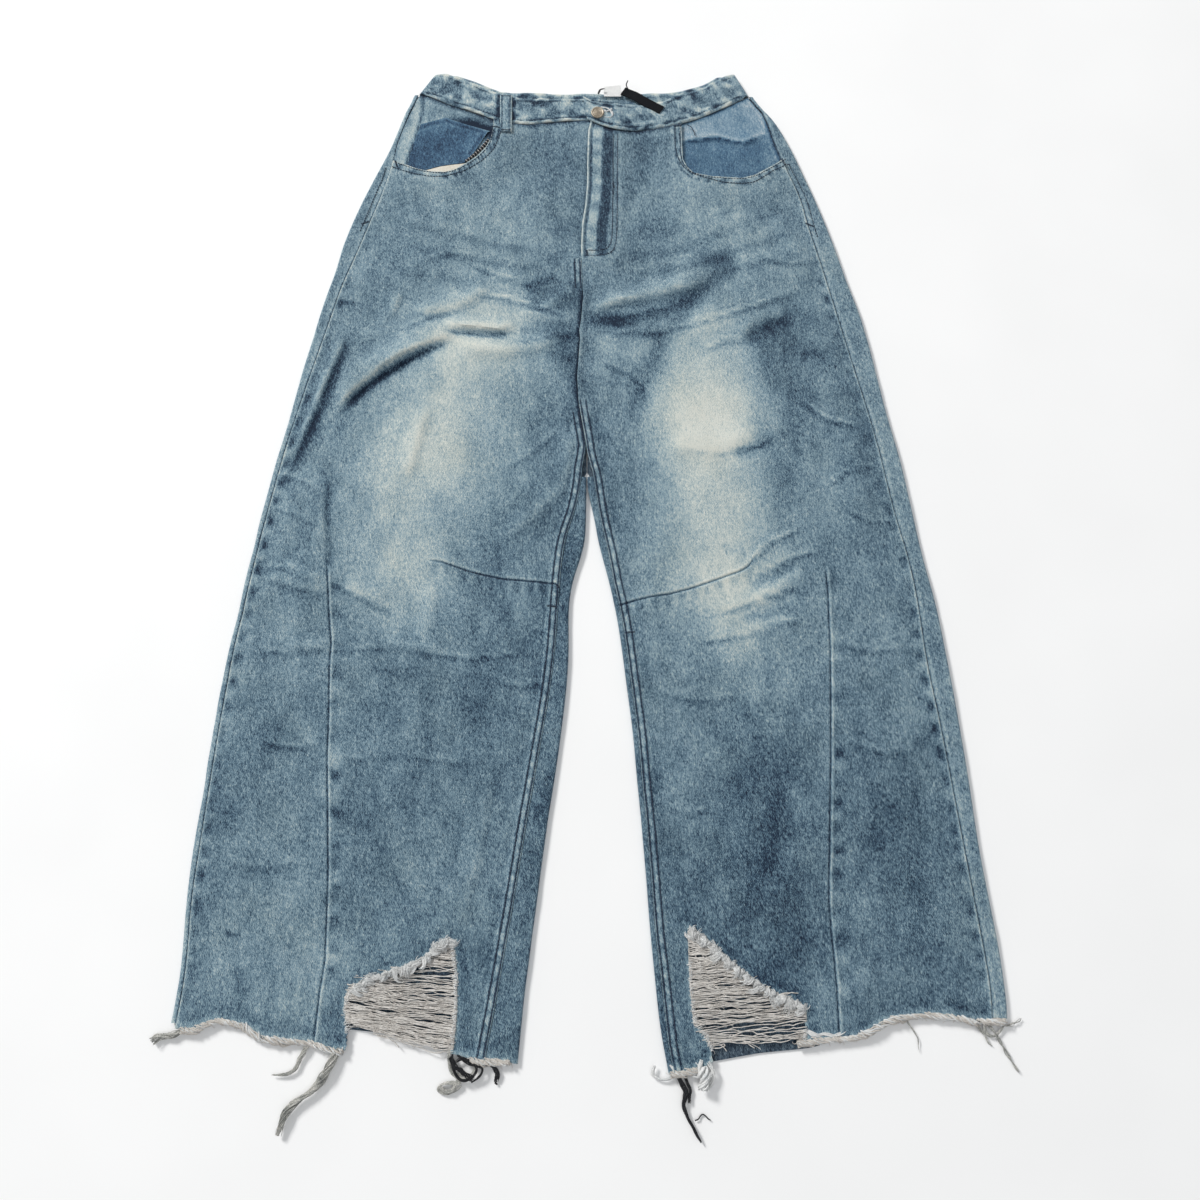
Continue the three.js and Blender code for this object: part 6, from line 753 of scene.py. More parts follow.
# ------------------------------------------------------------------ meshes
def mesh_of(name, V, polys, mat, smooth_angle=40):
    """polys: list of integer arrays (n, 3) or (n, 4)"""
    me = bpy.data.meshes.new(name)
    V = np.asarray(V, np.float32) * 0.001
    loops = np.concatenate([p.reshape(-1) for p in polys]).astype(np.int32)
    tot = np.concatenate([np.full(len(p), p.shape[1]) for p in polys])
    start = np.r_[0, np.cumsum(tot)[:-1]].astype(np.int32)
    me.vertices.add(len(V))
    me.vertices.foreach_set("co", V.ravel())
    me.loops.add(len(loops))
    me.loops.foreach_set("vertex_index", loops)
    me.polygons.add(len(tot))
    me.polygons.foreach_set("loop_start", start)
    me.update(calc_edges=True)
    me.validate()
    me.polygons.foreach_set("use_smooth", np.ones(len(me.polygons), bool))
    if smooth_angle:
        me.set_sharp_from_angle(angle=math.radians(smooth_angle))
    ob = bpy.data.objects.new(name, me)
    bpy.context.scene.collection.objects.link(ob)
    if mat:
        me.materials.append(mat)
    return ob


def fill_wall(O, I, mask=None):
    m, n = O.shape[:2]
    N = m * n
    idx = np.arange(N).reshape(m, n)
    Q = np.stack([idx[:-1, :-1], idx[1:, :-1], idx[1:, 1:], idx[:-1, 1:]], -1).reshape(-1, 4)
    if mask is not None:
        Q = Q[mask.ravel()]
    E = np.concatenate([Q[:, [0, 1]], Q[:, [1, 2]], Q[:, [2, 3]], Q[:, [3, 0]]])
    key = E.min(1) * N + E.max(1)
    _, inv, cnt = np.unique(key, return_inverse=True, return_counts=True)
    B = E[cnt[inv] == 1]
    side = np.stack([B[:, 1], B[:, 0], B[:, 0] + N, B[:, 1] + N], -1)
    F = np.concatenate([Q, Q[:, ::-1] + N, side])
    V = np.concatenate([O.reshape(-1, 3), I.reshape(-1, 3)])
    layer = np.r_[np.zeros(N), np.ones(N)]
    used = np.unique(F)
    remap = np.full(2 * N, -1)
    remap[used] = np.arange(len(used))
    F = remap[F]
    V, layer = V[used], layer[used]
    a, b, c, d = V[F[:, 0]], V[F[:, 1]], V[F[:, 2]], V[F[:, 3]]
    vol = (np.einsum("ij,ij->i", a, np.cross(b, c)) + np.einsum("ij,ij->i", a, np.cross(c, d))).sum()
    if vol < 0:
        F = F[:, ::-1]
    return V, F, layer


def prism(name, outline, z0=-20, z1=60):
    P = np.asarray(outline, float)
    if np.allclose(P[0], P[-1]):
        P = P[:-1]
    area = (P[:, 0] * np.roll(P[:, 1], -1) - np.roll(P[:, 0], -1) * P[:, 1]).sum()
    if area < 0:
        P = P[::-1]
    n = len(P)
    from mathutils.geometry import tessellate_polygon
    from mathutils import Vector
    tri = np.array(tessellate_polygon([[Vector((x, y, 0)) for x, y in P]]))
    a, b, c = P[tri[:, 0]], P[tri[:, 1]], P[tri[:, 2]]
    cr = (b[:, 0] - a[:, 0]) * (c[:, 1] - a[:, 1]) - (b[:, 1] - a[:, 1]) * (c[:, 0] - a[:, 0])
    tri[cr < 0] = tri[cr < 0][:, ::-1]
    V = np.concatenate([np.c_[P, np.full(n, z0)], np.c_[P, np.full(n, z1)]])
    i = np.arange(n)
    j = (i + 1) % n
    side = np.stack([i, j, j + n, i + n], -1)
    return mesh_of(name, V, [tri[:, ::-1], tri + n, side], None, 0)


def cut(ob, outline, operation="DIFFERENCE"):
    tool = prism("tool", outline)
    m = ob.modifiers.new("cut", "BOOLEAN")
    m.operation, m.solver, m.object = operation, "MANIFOLD", tool
    dg = bpy.context.evaluated_depsgraph_get()
    new = bpy.data.meshes.new_from_object(ob.evaluated_get(dg))
    ob.modifiers.remove(m)
    old = ob.data
    ob.data = new
    new.name = old.name
    bpy.data.meshes.remove(old)
    t = tool.data
    bpy.data.objects.remove(tool)
    bpy.data.meshes.remove(t)
    if not new.materials and len(ob.material_slots) == 0:
        pass
    return ob


def coords(ob):
    co = np.zeros(len(ob.data.vertices) * 3, np.float32)
    ob.data.vertices.foreach_get("co", co)
    return co.reshape(-1, 3) * 1000.0


def put_attr(ob, name, values):
    at = ob.data.attributes.get(name) or ob.data.attributes.new(name, "FLOAT", "POINT")
    at.data.foreach_set("value", np.asarray(values, np.float32))


def keep_largest(ob):
    """drops crumbs that a cut leaves loose"""
    import bmesh
    bm = bmesh.new()
    bm.from_mesh(ob.data)
    bm.verts.ensure_lookup_table()
    seen = np.zeros(len(bm.verts), int)
    groups = []
    for v in bm.verts:
        if seen[v.index]:
            continue
        stack, grp = [v], []
        seen[v.index] = 1
        while stack:
            w = stack.pop()
            grp.append(w)
            for e in w.link_edges:
                o = e.other_vert(w)
                if not seen[o.index]:
                    seen[o.index] = 1
                    stack.append(o)
        groups.append(grp)
    groups.sort(key=len, reverse=True)
    for grp in groups[1:]:
        bmesh.ops.delete(bm, geom=grp, context="VERTS")
    bm.to_mesh(ob.data)
    bm.free()


def finish_cloth(ob, mat, angle=42):
    me = ob.data
    me.materials.clear()
    me.materials.append(mat)
    me.polygons.foreach_set("use_smooth", np.ones(len(me.polygons), bool))
    me.polygons.foreach_set("material_index", np.zeros(len(me.polygons), np.int32))
    me.set_sharp_from_angle(angle=math.radians(angle))
    return ob


def tubes(paths, radii, sides=5):
    """joined closed tubes; paths (k, n, 3), radii (k,) or (k, n)"""
    P = np.asarray(paths, float)
    k, n = P.shape[:2]
    R = np.broadcast_to(np.asarray(radii, float).reshape(k, -1), (k, n))
    T = np.gradient(P, axis=1)
    T /= np.linalg.norm(T, axis=2, keepdims=True) + 1e-9
    ref = np.zeros_like(T)
    ref[..., 2] = 1
    flat = np.abs(T[..., 2]) > 0.9
    ref[flat] = (1, 0, 0)
    U = np.cross(T, ref)
    U /= np.linalg.norm(U, axis=2, keepdims=True) + 1e-9
    W = np.cross(U, T)
    a = np.arange(sides) * 2 * np.pi / sides
    ring = (P[:, :, None] + R[:, :, None, None] * (U[:, :, None] * np.cos(a)[None, None, :, None] + W[:, :, None] * np.sin(a)[None, None, :, None]))
    V = ring.reshape(-1, 3)
    base = (np.arange(k) * n * sides)[:, None, None]
    i = (np.arange(n - 1) * sides)[None, :, None]
    j = np.arange(sides)[None, None, :]
    jn = (j + 1) % sides
    A, B = base + i + j, base + i + jn
    Q = np.stack([A, B, B + sides, A + sides], -1).reshape(-1, 4)
    ends = [Q[:, ::-1]]
    cap = np.arange(sides)
    c0 = (np.arange(k) * n * sides)[:, None] + cap[None]
    c1 = c0 + (n - 1) * sides
    fan = lambda c, f: np.concatenate([np.stack([c[:, 0], c[:, q], c[:, q + 1]], -1)[:, ::f] for q in range(1, sides - 1)])
    ends += [fan(c0, 1), fan(c1, -1)]
    return V, ends


def join_parts(parts):
    Vs, Ps, o = [], {3: [], 4: []}, 0
    for V, polys in parts:
        Vs.append(V)
        for p in polys:
            Ps[p.shape[1]].append(p + o)
        o += len(V)
    return np.concatenate(Vs), [np.concatenate(p) for p in Ps.values() if p]


def stitch_row(pts, zf, pitch=3.1, length=2.6, r=0.44, seed=0, dz=0.12, jitter=0.12):
    """one row of sewing thread: a short rounded stitch at each pitch"""
    P = resample(rounded(pts, 2), pitch)
    rg = np.random.default_rng(seed)
    mid = (P[:-1] + P[1:]) / 2
    d = P[1:] - P[:-1]
    d /= np.linalg.norm(d, axis=1, keepdims=True) + 1e-9
    n = len(mid)
    mid = mid + rg.normal(0, jitter, mid.shape)
    u = np.array([-0.5, -0.3, 0.3, 0.5]) * length
    x = mid[:, None, 0] + d[:, None, 0] * u
    y = mid[:, None, 1] + d[:, None, 1] * u
    z = zf(x, y) + dz + r * np.array([-0.9, 0.4, 0.4, -0.9])[None]
    R = np.broadcast_to(r * np.array([0.4, 1.0, 1.0, 0.4]), (n, 4))
    return tubes(np.stack([x, y, z], -1), R, 4)


def bar_tack(c, h, zf, n=9, w=1.9, r=0.3, seed=1):
    rg = np.random.default_rng(seed)
    c, h = np.array(c, float), np.array(h, float)
    ln = np.linalg.norm(h)
    d = h / ln
    q = np.array([-d[1], d[0]])
    t = np.linspace(-1, 1, max(5, int(ln * 2 / 0.75)))
    ps = []
    for k in t:
        m = c + h * k + rg.normal(0, 0.08, 2)
        a, b = m - q * w / 2, m + q * w / 2
        pts = [a * (1 - f) + b * f for f in (0, 0.2, 0.5, 0.8, 1)]
        ps.append([[p[0], p[1], 0] for p in pts])
    P = np.array(ps)
    P[..., 2] = zf(P[..., 0], P[..., 1]) + np.array([-0.2, 0.22, 0.32, 0.22, -0.2])
    return tubes(P, np.full(len(P), r), 5)


# ------------------------------------------------------------------ materials
def lin(c):
    return tuple(((v / 255) / 12.92 if v / 255 <= 0.04045 else ((v / 255 + 0.055) / 1.055) ** 2.4) for v in c) + (1.0,)


class Nodes:
    """a few short helpers for writing node trees"""

    def __init__(self, name):
        self.m = bpy.data.materials.new(name)
        self.m.use_nodes = True
        self.t = self.m.node_tree
        self.b = self.t.nodes["Principled BSDF"]
        self.co = self.t.nodes.new("ShaderNodeTexCoord").outputs["Object"]

    def link(self, a, b):
        self.t.links.new(a, b)

    def sock(self, node, key, val):
        if val is None:
            return
        if isinstance(val, bpy.types.NodeSocket):
            self.link(val, node.inputs[key])
        else:
            node.inputs[key].default_value = val

    def attr(self, name):
        n = self.t.nodes.new("ShaderNodeAttribute")
        n.attribute_name = name
        return n.outputs["Fac"]

    def mapped(self, scale, rot=(0, 0, 0), src=None):
        n = self.t.nodes.new("ShaderNodeMapping")
        self.link(src or self.co, n.inputs["Vector"])
        n.inputs["Scale"].default_value = scale
        n.inputs["Rotation"].default_value = rot
        return n.outputs["Vector"]

    def turned(self, scale, angle):
        """turned by an angle first, then scaled"""
        n = self.t.nodes.new("ShaderNodeMapping")
        n.vector_type = "TEXTURE"
        self.link(self.co, n.inputs["Vector"])
        n.inputs["Scale"].default_value = [1 / v for v in scale]
        n.inputs["Rotation"].default_value = (0, 0, angle)
        return n.outputs["Vector"]

    def noise(self, vec, scale, detail=2.0, rough=0.5, dist=0.0):
        n = self.t.nodes.new("ShaderNodeTexNoise")
        self.link(vec, n.inputs["Vector"])
        self.sock(n, "Scale", scale)
        self.sock(n, "Detail", detail)
        self.sock(n, "Roughness", rough)
        self.sock(n, "Distortion", dist)
        return n.outputs["Fac"]

    def wave(self, vec, scale, dist=0.0, dscale=1.0, detail=1.0, profile="SIN", axis="X"):
        n = self.t.nodes.new("ShaderNodeTexWave")
        n.wave_type, n.bands_direction, n.wave_profile = "BANDS", axis, profile
        self.link(vec, n.inputs["Vector"])
        self.sock(n, "Scale", scale)
        self.sock(n, "Distortion", dist)
        self.sock(n, "Detail", detail)
        self.sock(n, "Detail Scale", dscale)
        return n.outputs["Fac"]

    def math(self, op, a, b=None, c=None, clamp=False):
        n = self.t.nodes.new("ShaderNodeMath")
        n.operation, n.use_clamp = op, clamp
        self.sock(n, 0, a)
        self.sock(n, 1, b)
        self.sock(n, 2, c)
        return n.outputs[0]

    def ramp(self, fac, stops, interp="LINEAR"):
        n = self.t.nodes.new("ShaderNodeValToRGB")
        e = n.color_ramp.elements
        n.color_ramp.interpolation = interp
        while len(e) < len(stops):
            e.new(0.5)
        for el, (p, c) in zip(e, stops):
            el.position, el.color = p, c
        self.link(fac, n.inputs["Fac"])
        return n.outputs["Color"]

    def mix(self, fac, a, b, blend="MIX"):
        n = self.t.nodes.new("ShaderNodeMix")
        n.data_type, n.blend_type = "RGBA", blend
        self.sock(n, "Factor", fac)
        for k, v in ((6, a), (7, b)):
            if isinstance(v, bpy.types.NodeSocket):
                self.link(v, n.inputs[k])
            else:
                n.inputs[k].default_value = v
        return n.outputs[2]

    def bump(self, height, dist, strength=1.0, normal=None):
        n = self.t.nodes.new("ShaderNodeBump")
        self.sock(n, "Height", height)
        n.inputs["Distance"].default_value = dist
        n.inputs["Strength"].default_value = strength
        if normal:
            self.link(normal, n.inputs["Normal"])
        return n.outputs["Normal"]

    def out(self, color, rough, normal=None, **fixed):
        self.sock(self.b, "Base Color", color)
        self.sock(self.b, "Roughness", rough)
        if normal:
            self.link(normal, self.b.inputs["Normal"])
        for k, v in fixed.items():
            self.b.inputs[k.replace("_", " ")].default_value = v
        return self.m


DENIM_STOPS = [(0.0, lin((20, 36, 56))), (0.12, lin((50, 75, 96))), (0.26, lin((82, 107, 124))), (0.42, lin((113, 139, 154))),
               (0.58, lin((145, 167, 177))), (0.74, lin((176, 190, 191))), (0.88, lin((198, 207, 204))), (1.0, lin((216, 220, 214)))]


def denim(name, contrast=1.0, shift=0.0, rot=0.0, stops=None, streak=1.0):
    """washed twill: warp threads with slubs, white weft showing through, fine diagonal"""
    N = Nodes(name)
    v = N.attr("tone")
    warp = N.turned((1, 0.16, 1), rot)
    fine = N.turned((1, 0.45, 1), rot + math.radians(24))
    slub = N.noise(warp, 1150, 3.0, 0.62)
    heather = N.noise(fine, 1250, 3.0, 0.70)
    grain = N.noise(N.turned((1, 0.5, 1), rot + math.radians(24)), 520, 3.0, 0.7)
    thread = N.wave(N.turned((1, 1, 1), rot), 330, 2.4, 1.6, 2.0)
    line = N.wave(N.turned((1, 1, 1), rot + math.radians(28)), 210, 3.0, 2.2, 2.0)
    cloud = N.noise(N.turned((1, 0.55, 1), rot), 60, 4.0, 0.62)
    h = N.math("MULTIPLY_ADD", N.math("SUBTRACT", heather, 0.5), 1.22 * contrast, N.math("MULTIPLY", N.math("SUBTRACT", slub, 0.5), 0.70 * contrast * streak))
    h = N.math("MULTIPLY_ADD", N.math("SUBTRACT", grain, 0.5), 0.70 * contrast, h)
    h = N.math("MULTIPLY_ADD", N.math("SUBTRACT", line, 0.5), 0.11 * contrast, h)
    h = N.math("MULTIPLY_ADD", N.math("SUBTRACT", thread, 0.5), 0.06 * contrast, h)
    h = N.math("MULTIPLY_ADD", N.math("SUBTRACT", cloud, 0.5), 0.42 * contrast, h)
    # the weave shows less where the dye is worn right out
    keep = N.math("SUBTRACT", 1.15, N.math("MULTIPLY", v, 0.30))
    tonev = N.math("ADD", N.math("MULTIPLY", h, keep), N.math("ADD", v, shift), clamp=True)
    col = N.ramp(tonev, stops or DENIM_STOPS)
    # cloth inside the garment: weft side, pale threads over a dark ground; a low intone, as on the back panels, takes
    # it dark as painted shade on the inside seen through gaps
    ins = N.attr("inside")
    incol = N.ramp(N.math("ADD", N.math("MULTIPLY", h, 0.9), N.math("ADD", N.attr("intone"), 0.0), clamp=True),
                   [(0.0, lin((22, 30, 42))), (0.3, lin((52, 68, 84))), (0.6, lin((120, 138, 150))), (1.0, lin((196, 204, 206)))])
    col = N.mix(ins, col, incol)
    # a little yellowing and grey dirt
    age = N.noise(N.co, 18, 3.0, 0.6)
    col = N.mix(N.math("MULTIPLY", N.math("SUBTRACT", age, 0.45, clamp=True), 0.45), col, lin((196, 188, 166)), "MULTIPLY")
    # the bleached places go a little sandy
    col = N.mix(N.math("MULTIPLY", N.math("SUBTRACT", v, 0.56, clamp=True), 0.30), col, lin((222, 208, 184)), "MULTIPLY")
    hb = N.math("ADD", N.math("MULTIPLY", line, 0.5), N.math("ADD", N.math("MULTIPLY", heather, 0.9), N.math("MULTIPLY", slub, 0.7)))
    nrm = N.bump(hb, 0.00055, 0.75)
    rough = N.math("ADD", 0.84, N.math("MULTIPLY", heather, 0.14))
    return N.out(col, rough, nrm, Sheen_Weight=0.12, Sheen_Roughness=0.55, Specular_IOR_Level=0.18)


def yarn(name, stops, scale=900, bump=0.0004):
    """cotton thread: fine twist, colour that changes along and between threads"""
    N = Nodes(name)
    f = N.noise(N.mapped((1, 1, 1)), scale, 3.0, 0.65)
    g = N.noise(N.mapped((1, 1, 1)), 120, 2.0, 0.5)
    w = N.wave(N.mapped((1, 1, 1), (0, 0, 0.7)), scale * 0.9, 3.0, 2.0)
    v = N.math("ADD", N.math("MULTIPLY", f, 0.55), N.math("ADD", N.math("MULTIPLY", g, 0.35), N.math("MULTIPLY", w, 0.14)), clamp=True)
    return N.out(N.ramp(v, stops), N.math("ADD", 0.8, N.math("MULTIPLY", f, 0.15)), N.bump(N.math("ADD", w, f), bump, 0.8), Sheen_Weight=0.2, Specular_IOR_Level=0.2)


M_FRONT = denim("denim_front", 1.0, -0.028)
M_BACK = denim("denim_back", 1.0, 0.0)
M_BAND = denim("denim_band", 1.05)
M_PALE = denim("denim_pale", 0.9)
M_DARK = denim("denim_dark", 0.8, 0.0, 0.0,
               [(0.0, lin((26, 44, 66))), (0.15, lin((48, 76, 104))), (0.32, lin((72, 106, 133))), (0.5, lin((104, 135, 156))), (0.7, lin((146, 168, 183))), (1.0, lin((206, 212, 212)))])
M_WHITE = yarn("thread_white", [(0.22, lin((150, 142, 134))), (0.42, lin((214, 207, 199))), (0.58, lin((238, 233, 226))), (0.8, lin((250, 248, 244)))])
M_FRAY = yarn("thread_fray", [(0.24, lin((128, 146, 158))), (0.36, lin((214, 222, 226))), (0.48, lin((250, 251, 250))), (0.76, lin((255, 255, 254)))])
M_WEFT = yarn("thread_weft", [(0.28, lin((104, 98, 95))), (0.38, lin((198, 191, 184))), (0.5, lin((248, 243, 236))), (0.68, lin((255, 253, 250)))])
M_TASSEL = yarn("thread_tassel", [(0.32, lin((62, 68, 72))), (0.44, lin((146, 149, 146))), (0.56, lin((208, 207, 200))), (0.70, lin((246, 244, 238)))])
M_NAVY = yarn("thread_dark", [(0.25, lin((16, 26, 44))), (0.5, lin((34, 52, 78))), (0.8, lin((66, 88, 114)))])
M_BLACK = yarn("thread_black", [(0.25, lin((8, 9, 13))), (0.5, lin((18, 20, 27))), (0.8, lin((44, 47, 56)))])


def pocketing():
    N = Nodes("pocket_cloth")
    a = N.wave(N.mapped((1, 1, 1)), 420, 1.0, 2.0)
    b = N.wave(N.mapped((1, 1, 1), (0, 0, math.pi / 2)), 420, 1.0, 2.0)
    w = N.math("ADD", a, b)
    f = N.noise(N.co, 500, 3.0, 0.6)
    g = N.noise(N.co, 60, 3.0, 0.6)
    v = N.math("ADD", N.math("MULTIPLY", w, 0.16), N.math("ADD", N.math("MULTIPLY", f, 0.35), N.math("MULTIPLY", g, 0.4)), clamp=True)
    return N.out(N.ramp(v, [(0.2, lin((186, 178, 160))), (0.5, lin((222, 216, 202))), (0.8, lin((240, 236, 226)))]), 0.9, N.bump(w, 0.0002, 0.6), Sheen_Weight=0.1, Specular_IOR_Level=0.2)


def label_mat(name, stops):
    N = Nodes(name)
    a = N.wave(N.mapped((1, 1, 1), (0, 0, 0.45)), 520, 0.6, 2.0)
    b = N.wave(N.mapped((1, 1, 1), (0, 0, 0.45 + math.pi / 2)), 300, 0.6, 2.0)
    f = N.noise(N.co, 700, 3.0, 0.6)
    v = N.math("ADD", N.math("MULTIPLY", a, 0.3), N.math("ADD", N.math("MULTIPLY", b, 0.2), N.math("MULTIPLY", f, 0.5)), clamp=True)
    return N.out(N.ramp(v, stops), N.math("ADD", 0.55, N.math("MULTIPLY", f, 0.2)), N.bump(N.math("ADD", a, b), 0.00025, 0.8), Sheen_Weight=0.02, Specular_IOR_Level=0.12)


def metal():
    N = Nodes("button_metal")
    f = N.noise(N.co, 900, 4.0, 0.7)
    g = N.noise(N.co, 160, 3.0, 0.6)
    col = N.ramp(N.math("ADD", N.math("MULTIPLY", f, 0.4), N.math("MULTIPLY", g, 0.6), clamp=True),
                 [(0.3, lin((74, 66, 58))), (0.5, lin((158, 147, 131))), (0.7, lin((214, 204, 188)))])
    rough = N.math("ADD", 0.34, N.math("MULTIPLY", g, 0.35))
    return N.out(col, rough, N.bump(f, 0.0002, 0.8), Metallic=0.8)


M_BAG, M_METAL = pocketing(), metal()
M_LABEL_B = label_mat("label_black", [(0.2, lin((5, 6, 10))), (0.5, lin((12, 14, 20))), (0.85, lin((30, 33, 42)))])
M_LABEL_W = label_mat("label_white", [(0.2, lin((228, 228, 226))), (0.5, lin((246, 246, 245))), (0.85, lin((253, 253, 252)))])


def own(ob, slot, *nodes):
    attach(ob, "root")
    if nodes:
        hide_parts(*nodes)
    return ob


def mesh_area(ob):
    me = ob.data
    a = np.zeros(len(me.polygons), np.float32)
    me.polygons.foreach_get("area", a)
    return float(a.sum())


# ------------------------------------------------------------------ front panels
def ladder(width_mid, step, near_a, near_b):
    """column offsets from the first line and from the second, with n even ones between"""
    return np.array(near_a, float), np.array(near_b, float), max(4, int(round(width_mid / step)))


def front_panel(side):
    g = LEG[side]
    s = g["s"]
    near_os = np.array([0, 0.5, 1.2, 2.2, 3.6, 5.4])
    near_vs = np.array([0, 0.45, 0.95, 1.8, 2.8, 4.2, 6.0])
    near_is = np.array([0, 0.35, 0.9, 1.5, 2.1, 2.9, 3.9, 4.9, 5.9, 6.8, 7.4, 8.0, 8.7, 9.6, 10.8, 12.4, 14.4])
    n1, n2 = 37, 46
    yi = np.unique(np.round(np.r_[np.linspace(INNER[0], INNER[-1], 246), INNER[0] - np.array([0.8, 1.8, 3.2]),
                                  Y_KNEE_IN + np.array([-6, -4.2, -2.8, -1.8, -0.9, -0.4, 0, 0.4, 0.9, 1.8, 2.8, 4.2, 6]),
                                  INNER[-1] + np.array([0.6, 1.3, 2.2])], 2))[::-1]
    # drop rows that crowd the knee dart
    keep = [0]
    for i in range(1, len(yi)):
        if yi[keep[-1]] - yi[i] > 0.35:
            keep.append(i)
    yi = yi[keep]
    K = len(yi)
    J = len(near_os) + n1 + len(near_vs) * 2 - 1 + n2 + len(near_is)
    YI = np.repeat(yi[:, None], J, 1)
    YO = np.repeat(outer_y(side, yi)[:, None], J, 1)
    y = mix(YO, YI, np.linspace(0, 1, J)[None])
    col = np.arange(J)[None].repeat(K, 0)
    kd_end = C[g["kd"]][0 if side == "R" else -1][0]
    for it in range(9):
        xo = out_edge(side, y) - s * 0.5
        xi = in_edge(side, y) + s * np.where(y > Y_CROTCH, SEAM / 2, 0.30)
        if side == "R":
            xi = xi + UNDERLAP * smooth((y - Y_FLY) / 3)
        own_ = mix(xo, xi, 5 / 14)
        xv = mix(x_soft(g["vs"], np.minimum(y, C[g["vs"]][0, 1])), own_, smooth((y - Y_KNEE - 40) / 90))
        d1 = np.abs(xv - xo)
        d2 = np.abs(xi - xv)
        x = np.zeros_like(y)
        a = len(near_os)
        for j, o in enumerate(near_os):
            x[:, j] = xo[:, j] - s * o
        for j in range(n1):
            u = (j + 1) / (n1 + 1)
            jj = a + j
            x[:, jj] = xo[:, jj] - s * mix(near_os[-1], d1[:, jj] - near_vs[-1], u)
        a += n1
        for j, o in enumerate(near_vs[::-1]):
            x[:, a + j] = xv[:, a + j] + s * o
        a += len(near_vs)
        for j, o in enumerate(near_vs[1:]):
            x[:, a + j] = xv[:, a + j] - s * o
        a += len(near_vs) - 1
        for j in range(n2):
            u = (j + 1) / (n2 + 1)
            jj = a + j
            x[:, jj] = xv[:, jj] - s * mix(near_vs[-1], d2[:, jj] - near_is[-1], u)
        a += n2
        for j, o in enumerate(near_is[::-1]):
            x[:, a + j] = xi[:, a + j] + s * o
        t = (x - xo) / (xi - xo)
        base = mix(YO, YI, t)
        w_top = 1 - smooth((INNER[0] - YI) / 110)
        w_knee = 1 - smooth(np.abs(YI - Y_KNEE_IN) / 75)
        w_hem = 1 - smooth((YI - INNER[-1]) / 70)
        yb = np.where((side == "R") & (x > CENTRE - 2), np.minimum(y_at("wbb_l", x), y_at("wbb_r", x)), band_low(x)) - 0.5
        row = lambda k: mix(outer_y(side, k), k, t)
        y = base + w_top * (yb - row(INNER[0])) + w_knee * (y_at(g["kd"], x) - row(Y_KNEE_IN)) + w_hem * (y_at(g["hem"], x) - row(INNER[-1]))
    z = low(side, x, y)
    # edges of the cloth are a little rounded
    e = np.zeros((K, J))
    e[:, 0] = e[:, -1] = 0.3
    e[0, :] = e[-1, :] = 0.3
    O = np.stack([x, y, z + DENIM - e], -1)
    I = np.stack([x, y, z + e * 0.5], -1)
    V, F, layer = fill_wall(O, I)
    ob = mesh_of("denim_front_" + ("right" if side == "R" else "left"), V, [F], M_FRONT, 0)
    cut(ob, C["mouth_r" if side == "R" else "mouth_l"])
    rip = ragged(C["rip_rn" if side == "R" else "rip_ln"], 0.9, 60 if side == "R" else 61)
    cut(ob, rip)
    keep_largest(ob)
    P = coords(ob)
    lo = low(side, P[:, 0], P[:, 1])
    ins = (P[:, 2] < lo + DENIM * 0.5).astype(float)
    put_attr(ob, "tone", tone_front(side, P[:, 0], P[:, 1]))
    put_attr(ob, "inside", ins)
    put_attr(ob, "intone", np.full(len(P), 0.42))
    finish_cloth(ob, M_FRONT)
    return ob


def ragged(poly, amp, seed):
    """torn outline: small teeth on an even polygon"""
    P = np.asarray(poly, float)
    P = np.vstack([P, P[:1]])
    Q = resample(P, 1.6)[:-1]
    rg = np.random.default_rng(seed)
    d = np.roll(Q, -1, 0) - np.roll(Q, 1, 0)
    d /= np.linalg.norm(d, axis=1, keepdims=True) + 1e-9
    n = np.stack([-d[:, 1], d[:, 0]], 1)
    return Q + n * rg.uniform(-amp, amp, len(Q))[:, None]


# ------------------------------------------------------------------ back panels
def back_rows(side, piece):
    YOKE, YOKE_OUT = 3, 26
    if piece == "yoke":
        a = (TOP[side], INNER[0])
        b = (float(outer_y(side, INNER[YOKE])) + YOKE_OUT + SEAM, INNER[YOKE] + SEAM)
        t = np.unique(np.r_[0, 0.02, np.linspace(0, 1, 26), 0.98])
        return [(mix(a[0], b[0], k), mix(a[1], b[1], k), i == 0) for i, k in enumerate(t)]
    a, b = (float(outer_y(side, INNER[YOKE])) + YOKE_OUT, INNER[YOKE]), (float(outer_y(side, INNER[YOKE + 1])), INNER[YOKE + 1])
    rows = [(mix(a[0], b[0], k), mix(a[1], b[1], k)) for k in np.r_[0, 0.03, np.linspace(0.08, 1, 9)]]
    ys = np.linspace(INNER[YOKE + 1], INNER[-1], 158)[1:]
    rows += [(float(outer_y(side, v)), v) for v in ys]
    return [(p, q, i == len(rows) - 1) for i, (p, q) in enumerate(rows)]


